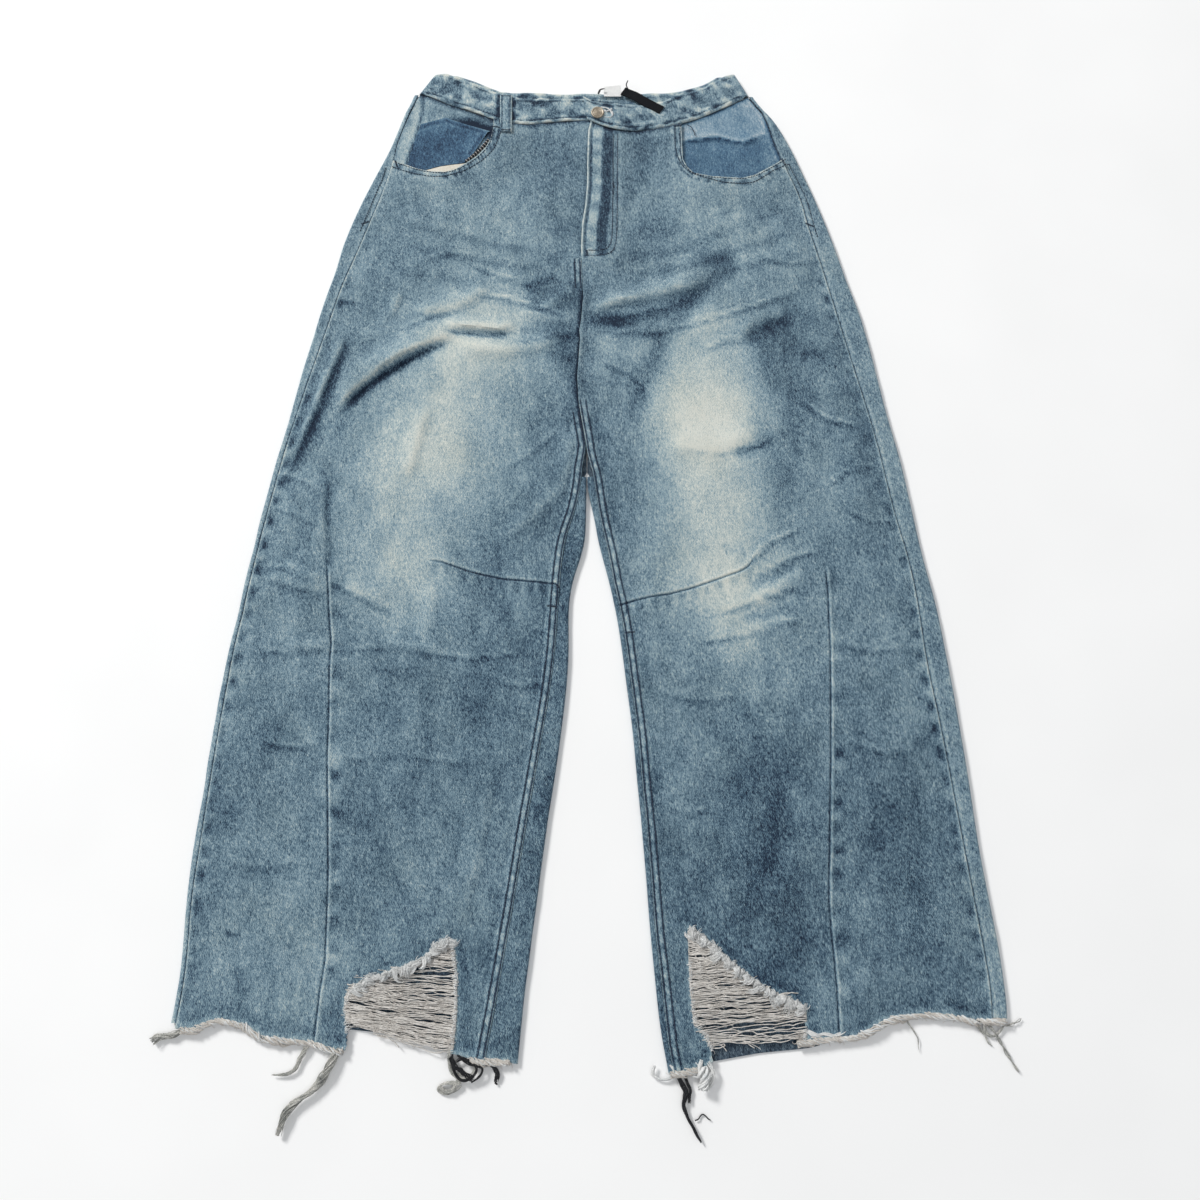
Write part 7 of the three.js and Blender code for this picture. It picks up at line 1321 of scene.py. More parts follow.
def back_panel(side, piece):
    g = LEG[side]
    s = g["s"]
    yoke = piece == "yoke"
    rows = back_rows(side, piece)
    yo = np.array([r[0] for r in rows])
    yi = np.array([r[1] for r in rows])
    line = "wbk_b" if yoke else g["hemb"]
    off = -0.5 if yoke else 0
    at = np.array([r[2] for r in rows])
    for i in np.where(at)[0]:
        yo[i] = y_at(line, x_soft(g["out"], yo[i])) + off
        yi[i] = y_at(line, in_fold(side, yi[i])) + off
    wrap = (yi <= Y_WRAP) & (not yoke)
    fo, fi = x_soft(g["out"], yo), in_fold(side, yi)
    so, si = out_edge(side, yo), np.where(wrap, in_edge(side, yi), fi)
    near = np.array([0, 0.35, 0.9, 1.8, 3.0])
    nstrip, narc = 6, 8
    MID = 56 if not yoke else 50
    R1, R2, zc = 2.2, 1.0, 2.2

    def edge(f, d, seam):
        """strip, turned edge, foot: columns of x and z, outside and inside; d is +1 when the cloth lies at +x of the fold"""
        end = f + d * R1
        wide = np.abs(end - seam)
        near_k = np.minimum(near[None], wide[:, None] * near[None] / 6)
        xs = [seam + (-d) * near_k[:, k] for k in range(len(near))]
        for k in range(1, nstrip + 1):
            xs.append(mix(seam + (-d) * near_k[:, -1], end, k / nstrip))
        xo_, zo_ = np.stack(xs, 1), np.full((len(f), len(xs)), LEVEL + DENIM)
        xi_, zi_ = xo_.copy(), np.full_like(xo_, LEVEL)
        th = np.linspace(np.pi / 2, 3 * np.pi / 2, narc + 2)[1:]
        ax, az = d * -np.cos(th), np.sin(th)
        c = f + d * R1
        xo2 = c[:, None] - ax[None] * 0 + (np.cos(th) * d)[None] * R1
        xi2 = c[:, None] + (np.cos(th) * d)[None] * R2
        zo2, zi2 = np.broadcast_to(zc + az * R1, xo2.shape), np.broadcast_to(zc + az * R2, xo2.shape)
        return np.c_[xo_, xo2], np.c_[zo_, zo2], np.c_[xi_, xi2], np.c_[zi_, zi2]

    A = edge(fo, -s, so)
    ne = A[0].shape[1]
    # soft waver of the turned strip
    Y1 = np.repeat(yo[:, None], ne, 1)
    a, b = fo - s * 2.9, np.where(wrap, fi + s * 2.9, fi)
    t = np.linspace(0, 1, MID + 1)[1:]
    if not yoke:
        t = t
    XM = mix(a[:, None], b[:, None], t[None])
    YM = mix(yo[:, None], yi[:, None], t[None])
    for i in np.where(at)[0]:
        YM[i] = y_at(line, XM[i]) + off
        Y1[i] = y_at(line, A[0][i]) + off
    ZM = ground(XM, YM) + back_lift(side, XM, YM)
    if yoke or True:
        ys = yi[0] if not yoke else yi[-1]
    B = edge(fi, s, si)
    XB, ZB, XBi, ZBi = [q[:, ::-1] for q in B]
    Y2 = np.repeat(yi[:, None], ne, 1)
    for i in np.where(at)[0]:
        Y2[i] = y_at(line, XB[i]) + off
    Xo, Yo, Zo = np.c_[A[0], XM, XB], np.c_[Y1, YM, Y2], np.c_[A[1], ZM, ZB]
    Xi, Zi = np.c_[A[2], XM, XBi], np.c_[A[3], ZM + DENIM, ZBi]
    full = Xo.shape[1]
    n0 = ne + MID
    mask = np.ones((len(yo) - 1, full - 1), bool)
    for i in range(len(yo) - 1):
        if not (wrap[i] and wrap[i + 1]):
            mask[i, n0 - 1:] = False
    if yoke:
        mask[:, n0 - 1:] = False
    # small relief where the strip shows on top
    # rows keep their order where the cut edge cuts across them
    m = len(yo)
    for i in range(1, m - 1):
        if yoke:
            Yo[i] = np.minimum(Yo[i], y_at(line, Xo[i]) + off - 0.4 * i)
        elif m - 1 - i < 60:
            Yo[i] = np.maximum(Yo[i], y_at(line, Xo[i]) + 0.4 * (m - 1 - i))
    strip = np.zeros_like(Xo)
    strip[:, :ne] = 1
    strip[:, n0:] = 1
    topz = (Zo > 3.0) * strip
    dz = topz * (0.28 * noise(Xo, Yo, 16, 70) + 0.30 * np.sin(Yo / 6.1 + 3 * noise(Xo, Yo, 50, 71)) * np.exp(-((np.abs(Xo - np.where(np.arange(full)[None] < ne, so[:, None], si[:, None])) - 4) / 4) ** 2))
    Zo = Zo + dz
    Zi = Zi + dz * (Zi > 2.8)
    O, I = np.stack([Xo, Yo, Zo], -1), np.stack([Xi, Yo, Zi], -1)
    V, F, layer = fill_wall(O, I, mask)
    nm = ("denim_yoke_" if yoke else "denim_back_") + ("right" if side == "R" else "left")
    ob = mesh_of(nm, V, [F], M_BACK, 42)
    x, y, z = V.T
    v = tone_back(side, x, y, z)
    put_attr(ob, "tone", v)
    put_attr(ob, "inside", layer)
    # the inside is set dark: painted shade where it shows through the gaps
    put_attr(ob, "intone", np.full(len(V), 0.30))
    return ob


def tone_back(side, x, y, z):
    g = LEG[side]
    under = z < 2.2
    v = np.full(x.shape, 0.36)
    # worn seat and thighs, a pale track below the knee
    cx = -105 if side == "R" else 100
    v += under * (0.20 * np.exp(-(((x - cx) / 62) ** 2) - ((y - 330) / 90) ** 2) + 0.16 * np.exp(-(((x - cx * 1.25) / 70) ** 2) - ((y - 90) / 130) ** 2) + 0.10 * np.exp(-(((x - cx * 1.8) / 80) ** 2) - ((y + 220) / 160) ** 2))
    lift = back_lift(side, x, y)
    v += under * (-0.16 * lift)
    for p, a, w in BACK_CREASES[side]:
        d, t, _, _ = to_line(p, x, y)
        v += under * 0.12 * np.exp(-(((d - w * 1.5) / (w * 0.5)) ** 2)) * smooth(np.minimum(t, 1 - t) * 4)
    ins = np.abs(x - in_edge(side, y))
    v += np.where(under, 0, 1) * np.where((np.abs(x - out_edge(side, y)) < 60) & (y < 330), 0.0 if side == "R" else 0.04, 0)
    # painted shade on the upper face near the inseam below the crotch, where it shows between the legs
    innr = (~under) & (ins < 45) & (y < Y_CROTCH)
    v -= innr * 0.10
    d = np.abs(x - CENTRE)
    v += under * (y > Y_CROTCH) * (-0.22 * np.exp(-(((d - 4.6) / 1.2) ** 2)) + 0.12 * np.exp(-(((d - 2) / 1.6) ** 2)))
    yoke_y = mix(INNER[3], float(outer_y(side, INNER[3])) + 26, np.clip(np.abs(x - CENTRE) / 190, 0, 1))
    v += under * (-0.20 * np.exp(-(((y - yoke_y) / 1.2) ** 2)) + 0.10 * np.exp(-(((y - yoke_y - 4) / 2.5) ** 2)))
    do = np.abs(x - out_edge(side, y))
    v += ~under * (-0.22 * np.exp(-((do / 0.9) ** 2)) + 0.14 * np.exp(-(((do - 2.4) / 1.6) ** 2)))
    fold = np.abs(x - x_soft(g["out"], y))
    v += 0.07 * np.exp(-((fold / 2.5) ** 2))
    yh = y_at(g["hemb"], x)
    v += 0.18 * np.exp(-(((y - yh) / 4) ** 2))
    v += 0.05 * noise(x, y, 46, 80, 1.8) + 0.035 * noise(x, y, 17, 81, 2.0) + 0.03 * noise(x, y, 6, 82, 3.0)
    return v


# ------------------------------------------------------------------ flat patches
def patch_cloth(name, outline, lowf, thick, step, mat, tonef, more=(), inside_tone=0.4, grow_z=0.25):
    """closed cloth over an outline: an even grid trimmed to it"""
    P = np.asarray(outline, float)
    x0, y0 = P.min(0) - 3
    x1, y1 = P.max(0) + 3
    nx, ny = max(3, int((x1 - x0) / step)), max(3, int((y1 - y0) / step))
    X, Y = np.meshgrid(np.linspace(x0, x1, nx), np.linspace(y0, y1, ny))
    Z = lowf(X, Y)
    V, F, _ = fill_wall(np.stack([X, Y, Z + thick], -1), np.stack([X, Y, Z], -1))
    ob = mesh_of(name, V, [F], mat, 0)
    cut(ob, P, "INTERSECT")
    for q in more:
        cut(ob, q, "INTERSECT")
    keep_largest(ob)
    Q = coords(ob)
    lo = lowf(Q[:, 0], Q[:, 1])
    put_attr(ob, "tone", tonef(Q[:, 0], Q[:, 1]))
    put_attr(ob, "inside", (Q[:, 2] < lo + thick * 0.5).astype(float))
    put_attr(ob, "intone", np.full(len(Q), inside_tone))
    return finish_cloth(ob, mat)


def grow(outline, d):
    P = np.asarray(outline, float)
    if np.allclose(P[0], P[-1]):
        P = P[:-1]
    area = (P[:, 0] * np.roll(P[:, 1], -1) - np.roll(P[:, 0], -1) * P[:, 1]).sum()
    sg = 1 if area > 0 else -1
    a = P - np.roll(P, 1, 0)
    b = np.roll(P, -1, 0) - P
    a /= np.linalg.norm(a, axis=1, keepdims=True)
    b /= np.linalg.norm(b, axis=1, keepdims=True)
    na, nb = np.stack([a[:, 1], -a[:, 0]], 1), np.stack([b[:, 1], -b[:, 0]], 1)
    m = na + nb
    m /= np.linalg.norm(m, axis=1, keepdims=True) + 1e-9
    k = sg * d / np.maximum(0.5, (m * na).sum(1))
    return P + m * k[:, None]


def facing_keep(side):
    s = LEG[side]["s"]
    lo = 414.1
    inner = -83.7 if side == "R" else 81.3
    ys = np.arange(lo, 564, 0.5)
    xs = out_edge(side, ys) - s * 2.3
    ok = ys < band_low(xs) - 1.0
    stop = int(np.argmin(ok)) if not ok.all() else len(ok) - 1
    top_y = ys[stop]
    t = np.linspace(0, 1, 11)
    yy = mix(lo, top_y, t)
    a = np.stack([out_edge(side, yy) - s * (0.3 + 2 * t**3), yy], 1)
    x0 = float(out_edge(side, top_y)) - s * 2.8
    xx = mix(x0, inner, np.linspace(0, 1, 40)[1:])
    b = np.stack([xx, band_low(xx) - 0.5], 1)
    return np.vstack([a, b, [[inner, lo]]])


def facing(side):
    name = "denim_pocket_facing_" + ("right" if side == "R" else "left")

    def lowf(x, y):
        z = 2.95 + 0.25 * (1 + noise(x, y, 16, 90))
        if side == "R":
            dc = to_line(C["coinpoly"][:4], x, y)[0]
            yb = band_low(x)
            z = z + 1.7 * np.exp(-(((yb - y - 9) / 5.5) ** 2)) + 0.5 * noise(x, y, 20, 95)
        if side == "L":
            # the cloth slumps in the mouth: one soft fold under the waist seam
            for p, a, w1, w2 in [(FOLD_L, 2.1, 9, 2.6)] + FACING_FOLDS[1:]:
                d, t, sd, _ = to_line(p, x, y)
                z = z + a * np.exp(-((d / np.where(sd > 0, w1, w2)) ** 2)) * smooth(np.minimum(t, 1 - t) * 5 + 0.2)
        return np.clip(z, 2.75, 5.4)

    def tf(x, y):
        if side == "R":
            v = 0.53 + 0.09 * noise(x, y, 12, 91) + 0.06 * noise(x, y, 5, 92)
            fx = np.interp(-y, [-FOLD_R[0][1], -FOLD_R[1][1]], [FOLD_R[0][0], FOLD_R[1][0]])
            # a pale worn strip outside the fold, and a painted shadow line along the fold itself
            v += 0.12 * np.exp(-(((x - fx + 6) / 4) ** 2)) - 0.50 * np.exp(-(((x - fx) / 1.5) ** 2))
            d = np.abs(x - out_edge("R", y))
            v += -0.16 * np.exp(-((d / 3.5) ** 2))
            yb = band_low(x)
            # painted shadow just under the waistband
            v += -0.40 * np.exp(-(((yb - y) / 4) ** 2))
            w = C["coinpoly"]
            dc = to_line(w[:4], x, y)[0]
            k = smooth((x + 168) / 40)
            # painted shadow wedge along the watch pocket's top edge, wider and darker to the right; darker beside the
            # overlock edge; a pale line along the pocket edge on its left part; the whole facing painted darker towards
            # the right as shade
            v += -0.62 * k * np.exp(-((dc / (2.0 + 3.2 * k)) ** 2)) - 0.34 * k * np.exp(-((dc / (4.0 + 5.0 * k)) ** 2)) - 0.28 * np.exp(-((to_line(SERGE, x, y)[0] / 3.4) ** 2)) + 0.08 * (1 - k) * np.exp(-((dc / 4) ** 2)) - 0.16 * smooth((x + 190) / 60)
            return v
        v = 0.345 + 0.06 * noise(x, y, 14, 93) + 0.05 * noise(x, y, 5, 94)
        yb = band_low(x)
        d, t, sd, _ = to_line(FOLD_L, x, y)
        over = np.where(sd > 0, 1.0, 0.0) * (x < FOLD_L[-1][0] + 4)
        # pale cloth above the fold, and painted shadow along the fold line below it
        v += 0.25 * over * smooth(d / 3) * (1 - 0.35 * smooth((x - 130) / 40)) - 0.32 * np.exp(-((d / 2.4) ** 2)) * (sd < 0) * smooth(np.minimum(t, 1 - t) * 6 + 0.2)
        v += 0.16 * np.exp(-(((d - 3) / 2.5) ** 2)) * over
        # lighter near the band to the right of the fold; painted shadow just under the waistband
        v += 0.18 * (1 - smooth((yb - y - 22) / 12)) * smooth((x - FOLD_L[-1][0]) / 20) - 0.34 * np.exp(-(((yb - y) / 3.5) ** 2))
        do = np.abs(x - out_edge("L", y))
        v += 0.22 * np.exp(-(((do - 5) / 2) ** 2)) - 0.3 * np.exp(-((do / 2.2) ** 2)) + 0.10 * np.exp(-(((do - 14) / 7) ** 2))
        return v

    m = grow(C["mouth_rc" if side == "R" else "mouth_lc"], 6)
    return patch_cloth(name, m, lowf, 1.0, 2.4, M_PALE if side == "R" else M_DARK, tf, [facing_keep(side)])


FOLD_R = [[-185.9,497.6],[-200.4,434.3]]
FOLD_L = [[102.6,463.2],[122.5,465.7],[140.1,467.6],[155.4,463.2],[169.7,460.7],[180.8,465.7],[189.8,470.8]]
FACING_FOLDS = [([[96, 466], [118, 470], [136, 470], [152, 463], [166, 458]], 1.9, 9, 3.5), ([[98, 461], [120, 464], [138, 463], [156, 456]], -0.9, 3, 6), ([[150, 500], [170, 478], [180, 462]], 0.9, 5, 6)]


# ------------------------------------------------------------------ waistband
def band_tone(x, y, yb, yt, base):
    t = np.clip((y - yb) / np.maximum(1, yt - yb), 0, 1)
    v = base + 0.0 * x
    b1 = noise(x + y * 0.55, y, 10.5, 103, 0.8)
    b2 = noise(x - y * 0.4, y, 5.5, 113, 0.9)
    v += 0.16 * np.tanh(3.2 * b1) + 0.10 * np.tanh(3.5 * b2) - 0.14 * np.exp(-((b1 / 0.10) ** 2))
    edge = 0.4 + 0.6 * np.exp(-(((t - 0.12) / 0.16) ** 2)) + 0.7 * np.exp(-(((1 - t) / 0.25) ** 2))
    v += edge * (0.24 * noise(x + y * 0.55, y, 9.5, 100, 0.75) + 0.19 * noise(x - y * 0.3, y, 4.6, 101, 0.9)) + 0.09 * noise(x, y, 22, 102)
    v += 0.20 * np.exp(-(((1 - t) / 0.08) ** 2)) + 0.14 * np.exp(-((t / 0.07) ** 2)) - 0.30 * np.exp(-(((t - 0.13) / 0.04) ** 2)) - 0.14 * np.exp(-(((t - 0.87) / 0.045) ** 2))
    return v


def band_front(side):
    s = -1 if side == "R" else 1
    lo, hi = ("wbb_r", "wbt_r") if side == "R" else ("wbb_l", "wbt_l")
    F = C["bandfold_r" if side == "R" else "bandfold_l"]
    E = C["bandend_r" if side == "R" else "bandend_l"]
    rows = np.r_[0, 0.012, 0.035, 0.075, 0.12, 0.16, np.linspace(0.21, 0.79, 8), 0.84, 0.88, 0.925, 0.965, 0.988, 1]
    th = np.radians(np.linspace(-90, -270, 12))
    d_o, z_o = np.r_[9, 6, 3.1 + 3.1 * np.cos(th)], np.r_[0, 0, 3.1 + 3.1 * np.sin(th)]
    d_i, z_i = np.r_[9, 6, 3.1 + 0.9 * np.cos(th)], np.r_[BAND, BAND, 3.1 + 0.9 * np.sin(th)]
    NC = 96
    u = np.linspace(0, 1, NC + 1)[1:]
    u = np.r_[u, []]
    Xo, Zo, Xi, Zi, Y = [], [], [], [], []
    for t in rows:
        fx, fy = mix(F[0, 0], F[1, 0], t), mix(F[0, 1], F[1, 1], t)
        xb, xt = mix(F[0, 0] - s * 6, E[0, 0], u), mix(F[1, 0] - s * 6, E[1, 0], u)
        x, y = mix(xb, xt, t), mix(y_at(lo, xb), y_at(hi, xt), t)
        lift = 2.5 * (1 - smooth((x - 27.3) / 28)) if side == "L" else 0 * x
        w = smooth((np.abs(x - F[0, 0]) - 8) / 14)
        relief = w * (0.85 * noise(x + y * 0.55, y, 10.5, 103, 0.8) + 0.62 * noise(x - y * 0.4, y, 5.5, 113, 0.9) + 0.50 * np.sin(x / 1.9 + 2 * noise(x, y, 14, 105)) * (np.exp(-(((t - 0.09) / 0.06) ** 2)) + 0.7 * np.exp(-(((t - 0.91) / 0.06) ** 2))))
        relief += w * (-0.40 * np.exp(-(((t - 0.13) / 0.025) ** 2)) - 0.34 * np.exp(-(((t - 0.87) / 0.025) ** 2)) + 0.25 * np.sin(np.pi * t))
        rim = 0.9 * (np.exp(-((t / 0.02) ** 2)) + np.exp(-(((1 - t) / 0.02) ** 2)))
        z = RISE + lift
        Xo.append(np.r_[fx - s * d_o, x])
        Xi.append(np.r_[fx - s * d_i, x])
        Y.append(np.r_[np.full(len(d_o), fy), y])
        Zo.append(np.r_[z_o, z + BAND + relief - rim])
        Zi.append(np.r_[z_i, z + 0 * x + rim * 0.3])
    Xo, Xi, Y, Zo, Zi = map(np.array, (Xo, Xi, Y, Zo, Zi))
    V, Fc, layer = fill_wall(np.stack([Xo, Y, Zo], -1), np.stack([Xi, Y, Zi], -1))
    ob = mesh_of("denim_waistband_front_" + ("right" if side == "R" else "left"), V, [Fc], M_BAND, 50)
    x, y, z = V.T
    base = 0.45 + 0.08 * np.exp(-(((x + 40) / 60) ** 2)) - (0.10 * smooth((x - 30) / 30) - 0.15 * smooth((x - 105) / 30) if side == "L" else 0)
    v = band_tone(x, y, y_at(lo, x), y_at(hi, x), base)
    if side == "R":
        a, b = C["loop"][0][0], C["loop"][1][0]
        # painted shadow on the band along both sides of the belt loop
        v -= 0.58 * (np.exp(-(((x - a + 1.8) / 2.3) ** 2)) + np.exp(-(((x - b - 1.8) / 2.3) ** 2)))
    if side == "L":
        v += 0.26 * np.exp(-(((x - E[0, 0] - 3) / 3.2) ** 2))
    put_attr(ob, "tone", v)
    put_attr(ob, "inside", layer)
    put_attr(ob, "intone", 0.45 + 0.2 * noise(x, y, 7, 106))
    return ob


def band_back():
    A, B = C["bandfold_r"], C["bandfold_l"]
    rows = np.r_[0, 0.015, 0.05, 0.10, 0.15, np.linspace(0.2, 0.8, 8), 0.85, 0.9, 0.95, 0.985, 1]
    NC = 150
    u = np.linspace(0, 1, NC + 1)
    X, Y, Zo, Zi = [], [], [], []
    for t in rows:
        xa, xb = mix(A[0, 0], A[1, 0], t) + 9 + SEAM, mix(B[0, 0], B[1, 0], t) - 9 - SEAM
        x = mix(xa, xb, u)
        bl = smooth(np.minimum(u, 1 - u) * 8)
        fy = mix(np.where(u < 0.5, A[0, 1], B[0, 1]), np.where(u < 0.5, A[1, 1], B[1, 1]), t)
        y = mix(fy, mix(y_at("wbk_b", x), y_at("wbk_t", x), t), np.where((u == 0) | (u == 1), 0, np.clip(bl * 3, 0, 1)))
        g = ground(x, y)
        w = smooth(np.minimum(u, 1 - u) * 20)
        relief = w * (0.2 * noise(x, y, 8, 107) + 0.22 * np.sin(x / 1.9 + 2 * noise(x, y, 14, 108)) * (np.exp(-(((t - 0.09) / 0.06) ** 2)) + np.exp(-(((t - 0.91) / 0.06) ** 2))))
        rim = 0.8 * (np.exp(-((t / 0.02) ** 2)) + np.exp(-(((1 - t) / 0.02) ** 2)))
        X.append(x)
        Y.append(y)
        Zo.append(g + BAND + relief - rim)
        Zi.append(g + 0.25 * rim + w * 0.0)
    X, Y, Zo, Zi = map(np.array, (X, Y, Zo, Zi))
    V, Fc, layer = fill_wall(np.stack([X, Y, Zo], -1), np.stack([X, Y, Zi], -1))
    ob = mesh_of("denim_waistband_back", V, [Fc], M_BAND, 50)
    x, y, z = V.T
    v = band_tone(x, y, y_at("wbk_b", x), y_at("wbk_t", x), 0.46)
    put_attr(ob, "tone", v)
    put_attr(ob, "inside", np.zeros(len(V)))
    put_attr(ob, "intone", np.full(len(V), 0.4))
    return ob


def belt_loop():
    a, b, c, d = C["loop"]
    t = np.r_[0, 0.02, np.linspace(0.05, 0.95, 26), 0.98, 1][:, None]
    w = np.r_[0, 0.03, 0.08, np.linspace(0.15, 0.85, 8), 0.92, 0.97, 1][None]
    x = mix(mix(a[0], d[0], t), mix(b[0], c[0], t), w)
    y = mix(mix(a[1], d[1], t), mix(b[1], c[1], t), w)
    base = 6.5 + 1.15 * (1 - smooth((y - (d[1] + 15)) / 8))
    rim = 0.75 * (np.exp(-((w / 0.03) ** 2)) + np.exp(-(((1 - w) / 0.03) ** 2))) + 0 * t
    ends = 0.5 * (np.exp(-((t / 0.02) ** 2)) + np.exp(-(((1 - t) / 0.02) ** 2))) + 0 * w
    z = base + 1.5 - rim - ends * 0.6 + 0.22 * np.sin(np.pi * w) - 0.28 * (np.exp(-(((w - 0.17) / 0.05) ** 2)) + np.exp(-(((w - 0.83) / 0.05) ** 2))) + 0.12 * np.sin(y / 2.1)
    V, F, layer = fill_wall(np.stack([x, y, z], -1), np.stack([x, y, base + rim * 0.3], -1))
    ob = mesh_of("denim_belt_loop_front", V, [F], M_BAND, 50)
    X, Y, Z = V.T
    e = np.minimum(np.abs(X - a[0]), np.abs(X - b[0]))
    v = 0.44 + 0.26 * np.exp(-((e / 1.0) ** 2)) - 0.30 * np.exp(-(((e - 2.3) / 0.9) ** 2)) + 0.10 * noise(X, Y, 4, 110) + 0.08 * noise(X, Y, 10, 111)
    put_attr(ob, "tone", v)
    put_attr(ob, "inside", layer)
    put_attr(ob, "intone", np.full(len(V), 0.4))
    zf = lambda px, py: 6.5 + 1.15 * (1 - smooth((py - (d[1] + 15)) / 8)) + 1.55
    parts = [stitch_row([mix(a, b, k) + [0, -1.5], mix(d, c, k) + [0, 1.5]], zf, 2.6, 2.1, 0.28, int(k * 100), 0.0) for k in (0.17, 0.83)]
    parts += [bar_tack(mix(mix(a, b, 0.5), mix(d, c, 0.5), k), (4.8, 0), zf, r=0.24, w=1.6) for k in (0.035, 0.965)]
    V, P = join_parts(parts)
    st = mesh_of("sewing_belt_loop_front", V, P, M_NAVY, 0)
    return ob, st


def flat_patch_back(name, outline, tone_base, inset_rows=(2.0,), seed=5):
    """sewn-on patch of the hidden side; its outer face lies on the surface"""
    def lowf(x, y):
        d = to_line(list(outline) + [outline[0]], x, y)[0]
        return 0.0 + 0.30 * np.exp(-((d / 0.7) ** 2)) + 0.16 * (1 + noise(x, y, 13, seed)) * smooth(d / 8) + 0.22 * np.exp(-(((d - 2.0) / 0.8) ** 2))

    def tf(x, y):
        d = to_line(list(outline) + [outline[0]], x, y)[0]
        return tone_base + 0.16 * np.exp(-((d / 1.3) ** 2)) - 0.16 * np.exp(-(((d - 2.2) / 1.0) ** 2)) + 0.05 * noise(x, y, 20, seed + 1) + 0.04 * noise(x, y, 6, seed + 2) + 0.06 * smooth(d / 40)

    ob = patch_cloth(name, outline, lowf, DENIM - 0.2, 2.2, M_BACK, tf)
    # the outer face is the lower one here
    Q = coords(ob)
    put_attr(ob, "inside", (Q[:, 2] > lowf(Q[:, 0], Q[:, 1]) + 0.5).astype(float))
    return ob


# ------------------------------------------------------------------ button and labels
def lathe(name, prof, centre, mat, seg=64):
    P = np.asarray(prof, float)
    a = np.arange(seg) * 2 * np.pi / seg
    V = [[centre[0], centre[1], centre[2] + P[0, 1]]]
    for r, z in P[1:-1]:
        V += [[centre[0] + r * math.cos(t), centre[1] + r * math.sin(t), centre[2] + z] for t in a]
    V.append([centre[0], centre[1], centre[2] + P[-1, 1]])
    V = np.array(V)
    n = len(P) - 2
    i = np.arange(seg)
    j = (i + 1) % seg
    tri = [np.stack([np.zeros(seg, int), j + 1, i + 1], 1)]
    quads = []
    for k in range(n - 1):
        o = 1 + k * seg
        quads.append(np.stack([o + i, o + j, o + seg + j, o + seg + i], 1))
    o = 1 + (n - 1) * seg
    tri.append(np.stack([o + i, o + j, np.full(seg, len(V) - 1)], 1))
    return mesh_of(name, V, [np.concatenate(tri), np.concatenate(quads)], mat, 35)


def button():
    r = BUTTON_D / 2
    prof = [(0, 0), (r * 0.8, 0), (r * 0.93, 0.2), (r * 0.985, 0.6), (r, 1.15), (r * 0.985, 1.65), (r * 0.94, 2.05), (r * 0.88, 2.26), (r * 0.82, 2.28), (r * 0.77, 2.1), (r * 0.74, 1.8), (r * 0.70, 1.62),
            (r * 0.64, 1.6), (r * 0.6, 1.72), (r * 0.55, 1.78), (r * 0.5, 1.72), (r * 0.42, 1.66), (r * 0.3, 1.78), (r * 0.16, 1.9), (0, 1.94)]
    return lathe("metal_button", prof, (C["button"][0][0], C["button"][0][1], RISE + 2.5 + BAND + SEAM), M_METAL)


def label_black():
    p, H = C["label"], 5.3
    d = np.r_[0, np.cumsum(np.hypot(*np.diff(p, axis=0).T))]
    t = np.r_[0, 0.01, 0.03, np.linspace(0.06, 0.94, 34), 0.97, 0.99, 1]
    s = np.interp(t, np.linspace(0, 1, len(p)), d)
    x, y = np.interp(s, d, p[:, 0]), np.interp(s, d, p[:, 1])
    v = p[-1] - p[0]
    v = v / np.linalg.norm(v)
    n = np.array([-v[1], v[0]])
    w = np.r_[-1, -0.97, -0.9, np.linspace(-0.8, 0.8, 9), 0.9, 0.97, 1]
    X = x[:, None] + n[0] * H * w[None]
    Y = y[:, None] + n[1] * H * w[None]
    Z = mix(5.7, 6.9, smooth(t * 2))[:, None] + 0.25 * noise(X, Y, 7, 120)
    rim = 0.3 * (np.abs(w) > 0.96)[None] + 0.2 * ((t < 0.005) | (t > 0.995))[:, None]
    V, F, _ = fill_wall(np.stack([X, Y, Z + 0.9 - rim], -1), np.stack([X, Y, Z], -1))
    return mesh_of("woven_label_black", V, [F], M_LABEL_B, 45)


def label_white():
    P = np.array(C["labelwhite"])
    ob = patch_cloth("woven_label_white", P, lambda x, y: 4.2 + 0.12 * noise(x, y, 6, 121), 0.8, 1.2, M_LABEL_W, lambda x, y: 0 * x)
    return ob


# ------------------------------------------------------------------ loose yarn
def span(poly, y):
    """left and right crossing of an outline at a level"""
    P = np.asarray(poly, float)
    xs = []
    for (ax, ay), (bx, by) in zip(P, np.roll(P, -1, 0)):
        if (ay > y) != (by > y):
            xs.append(ax + (y - ay) * (bx - ax) / (by - ay))
    return (min(xs), max(xs)) if len(xs) > 1 else None


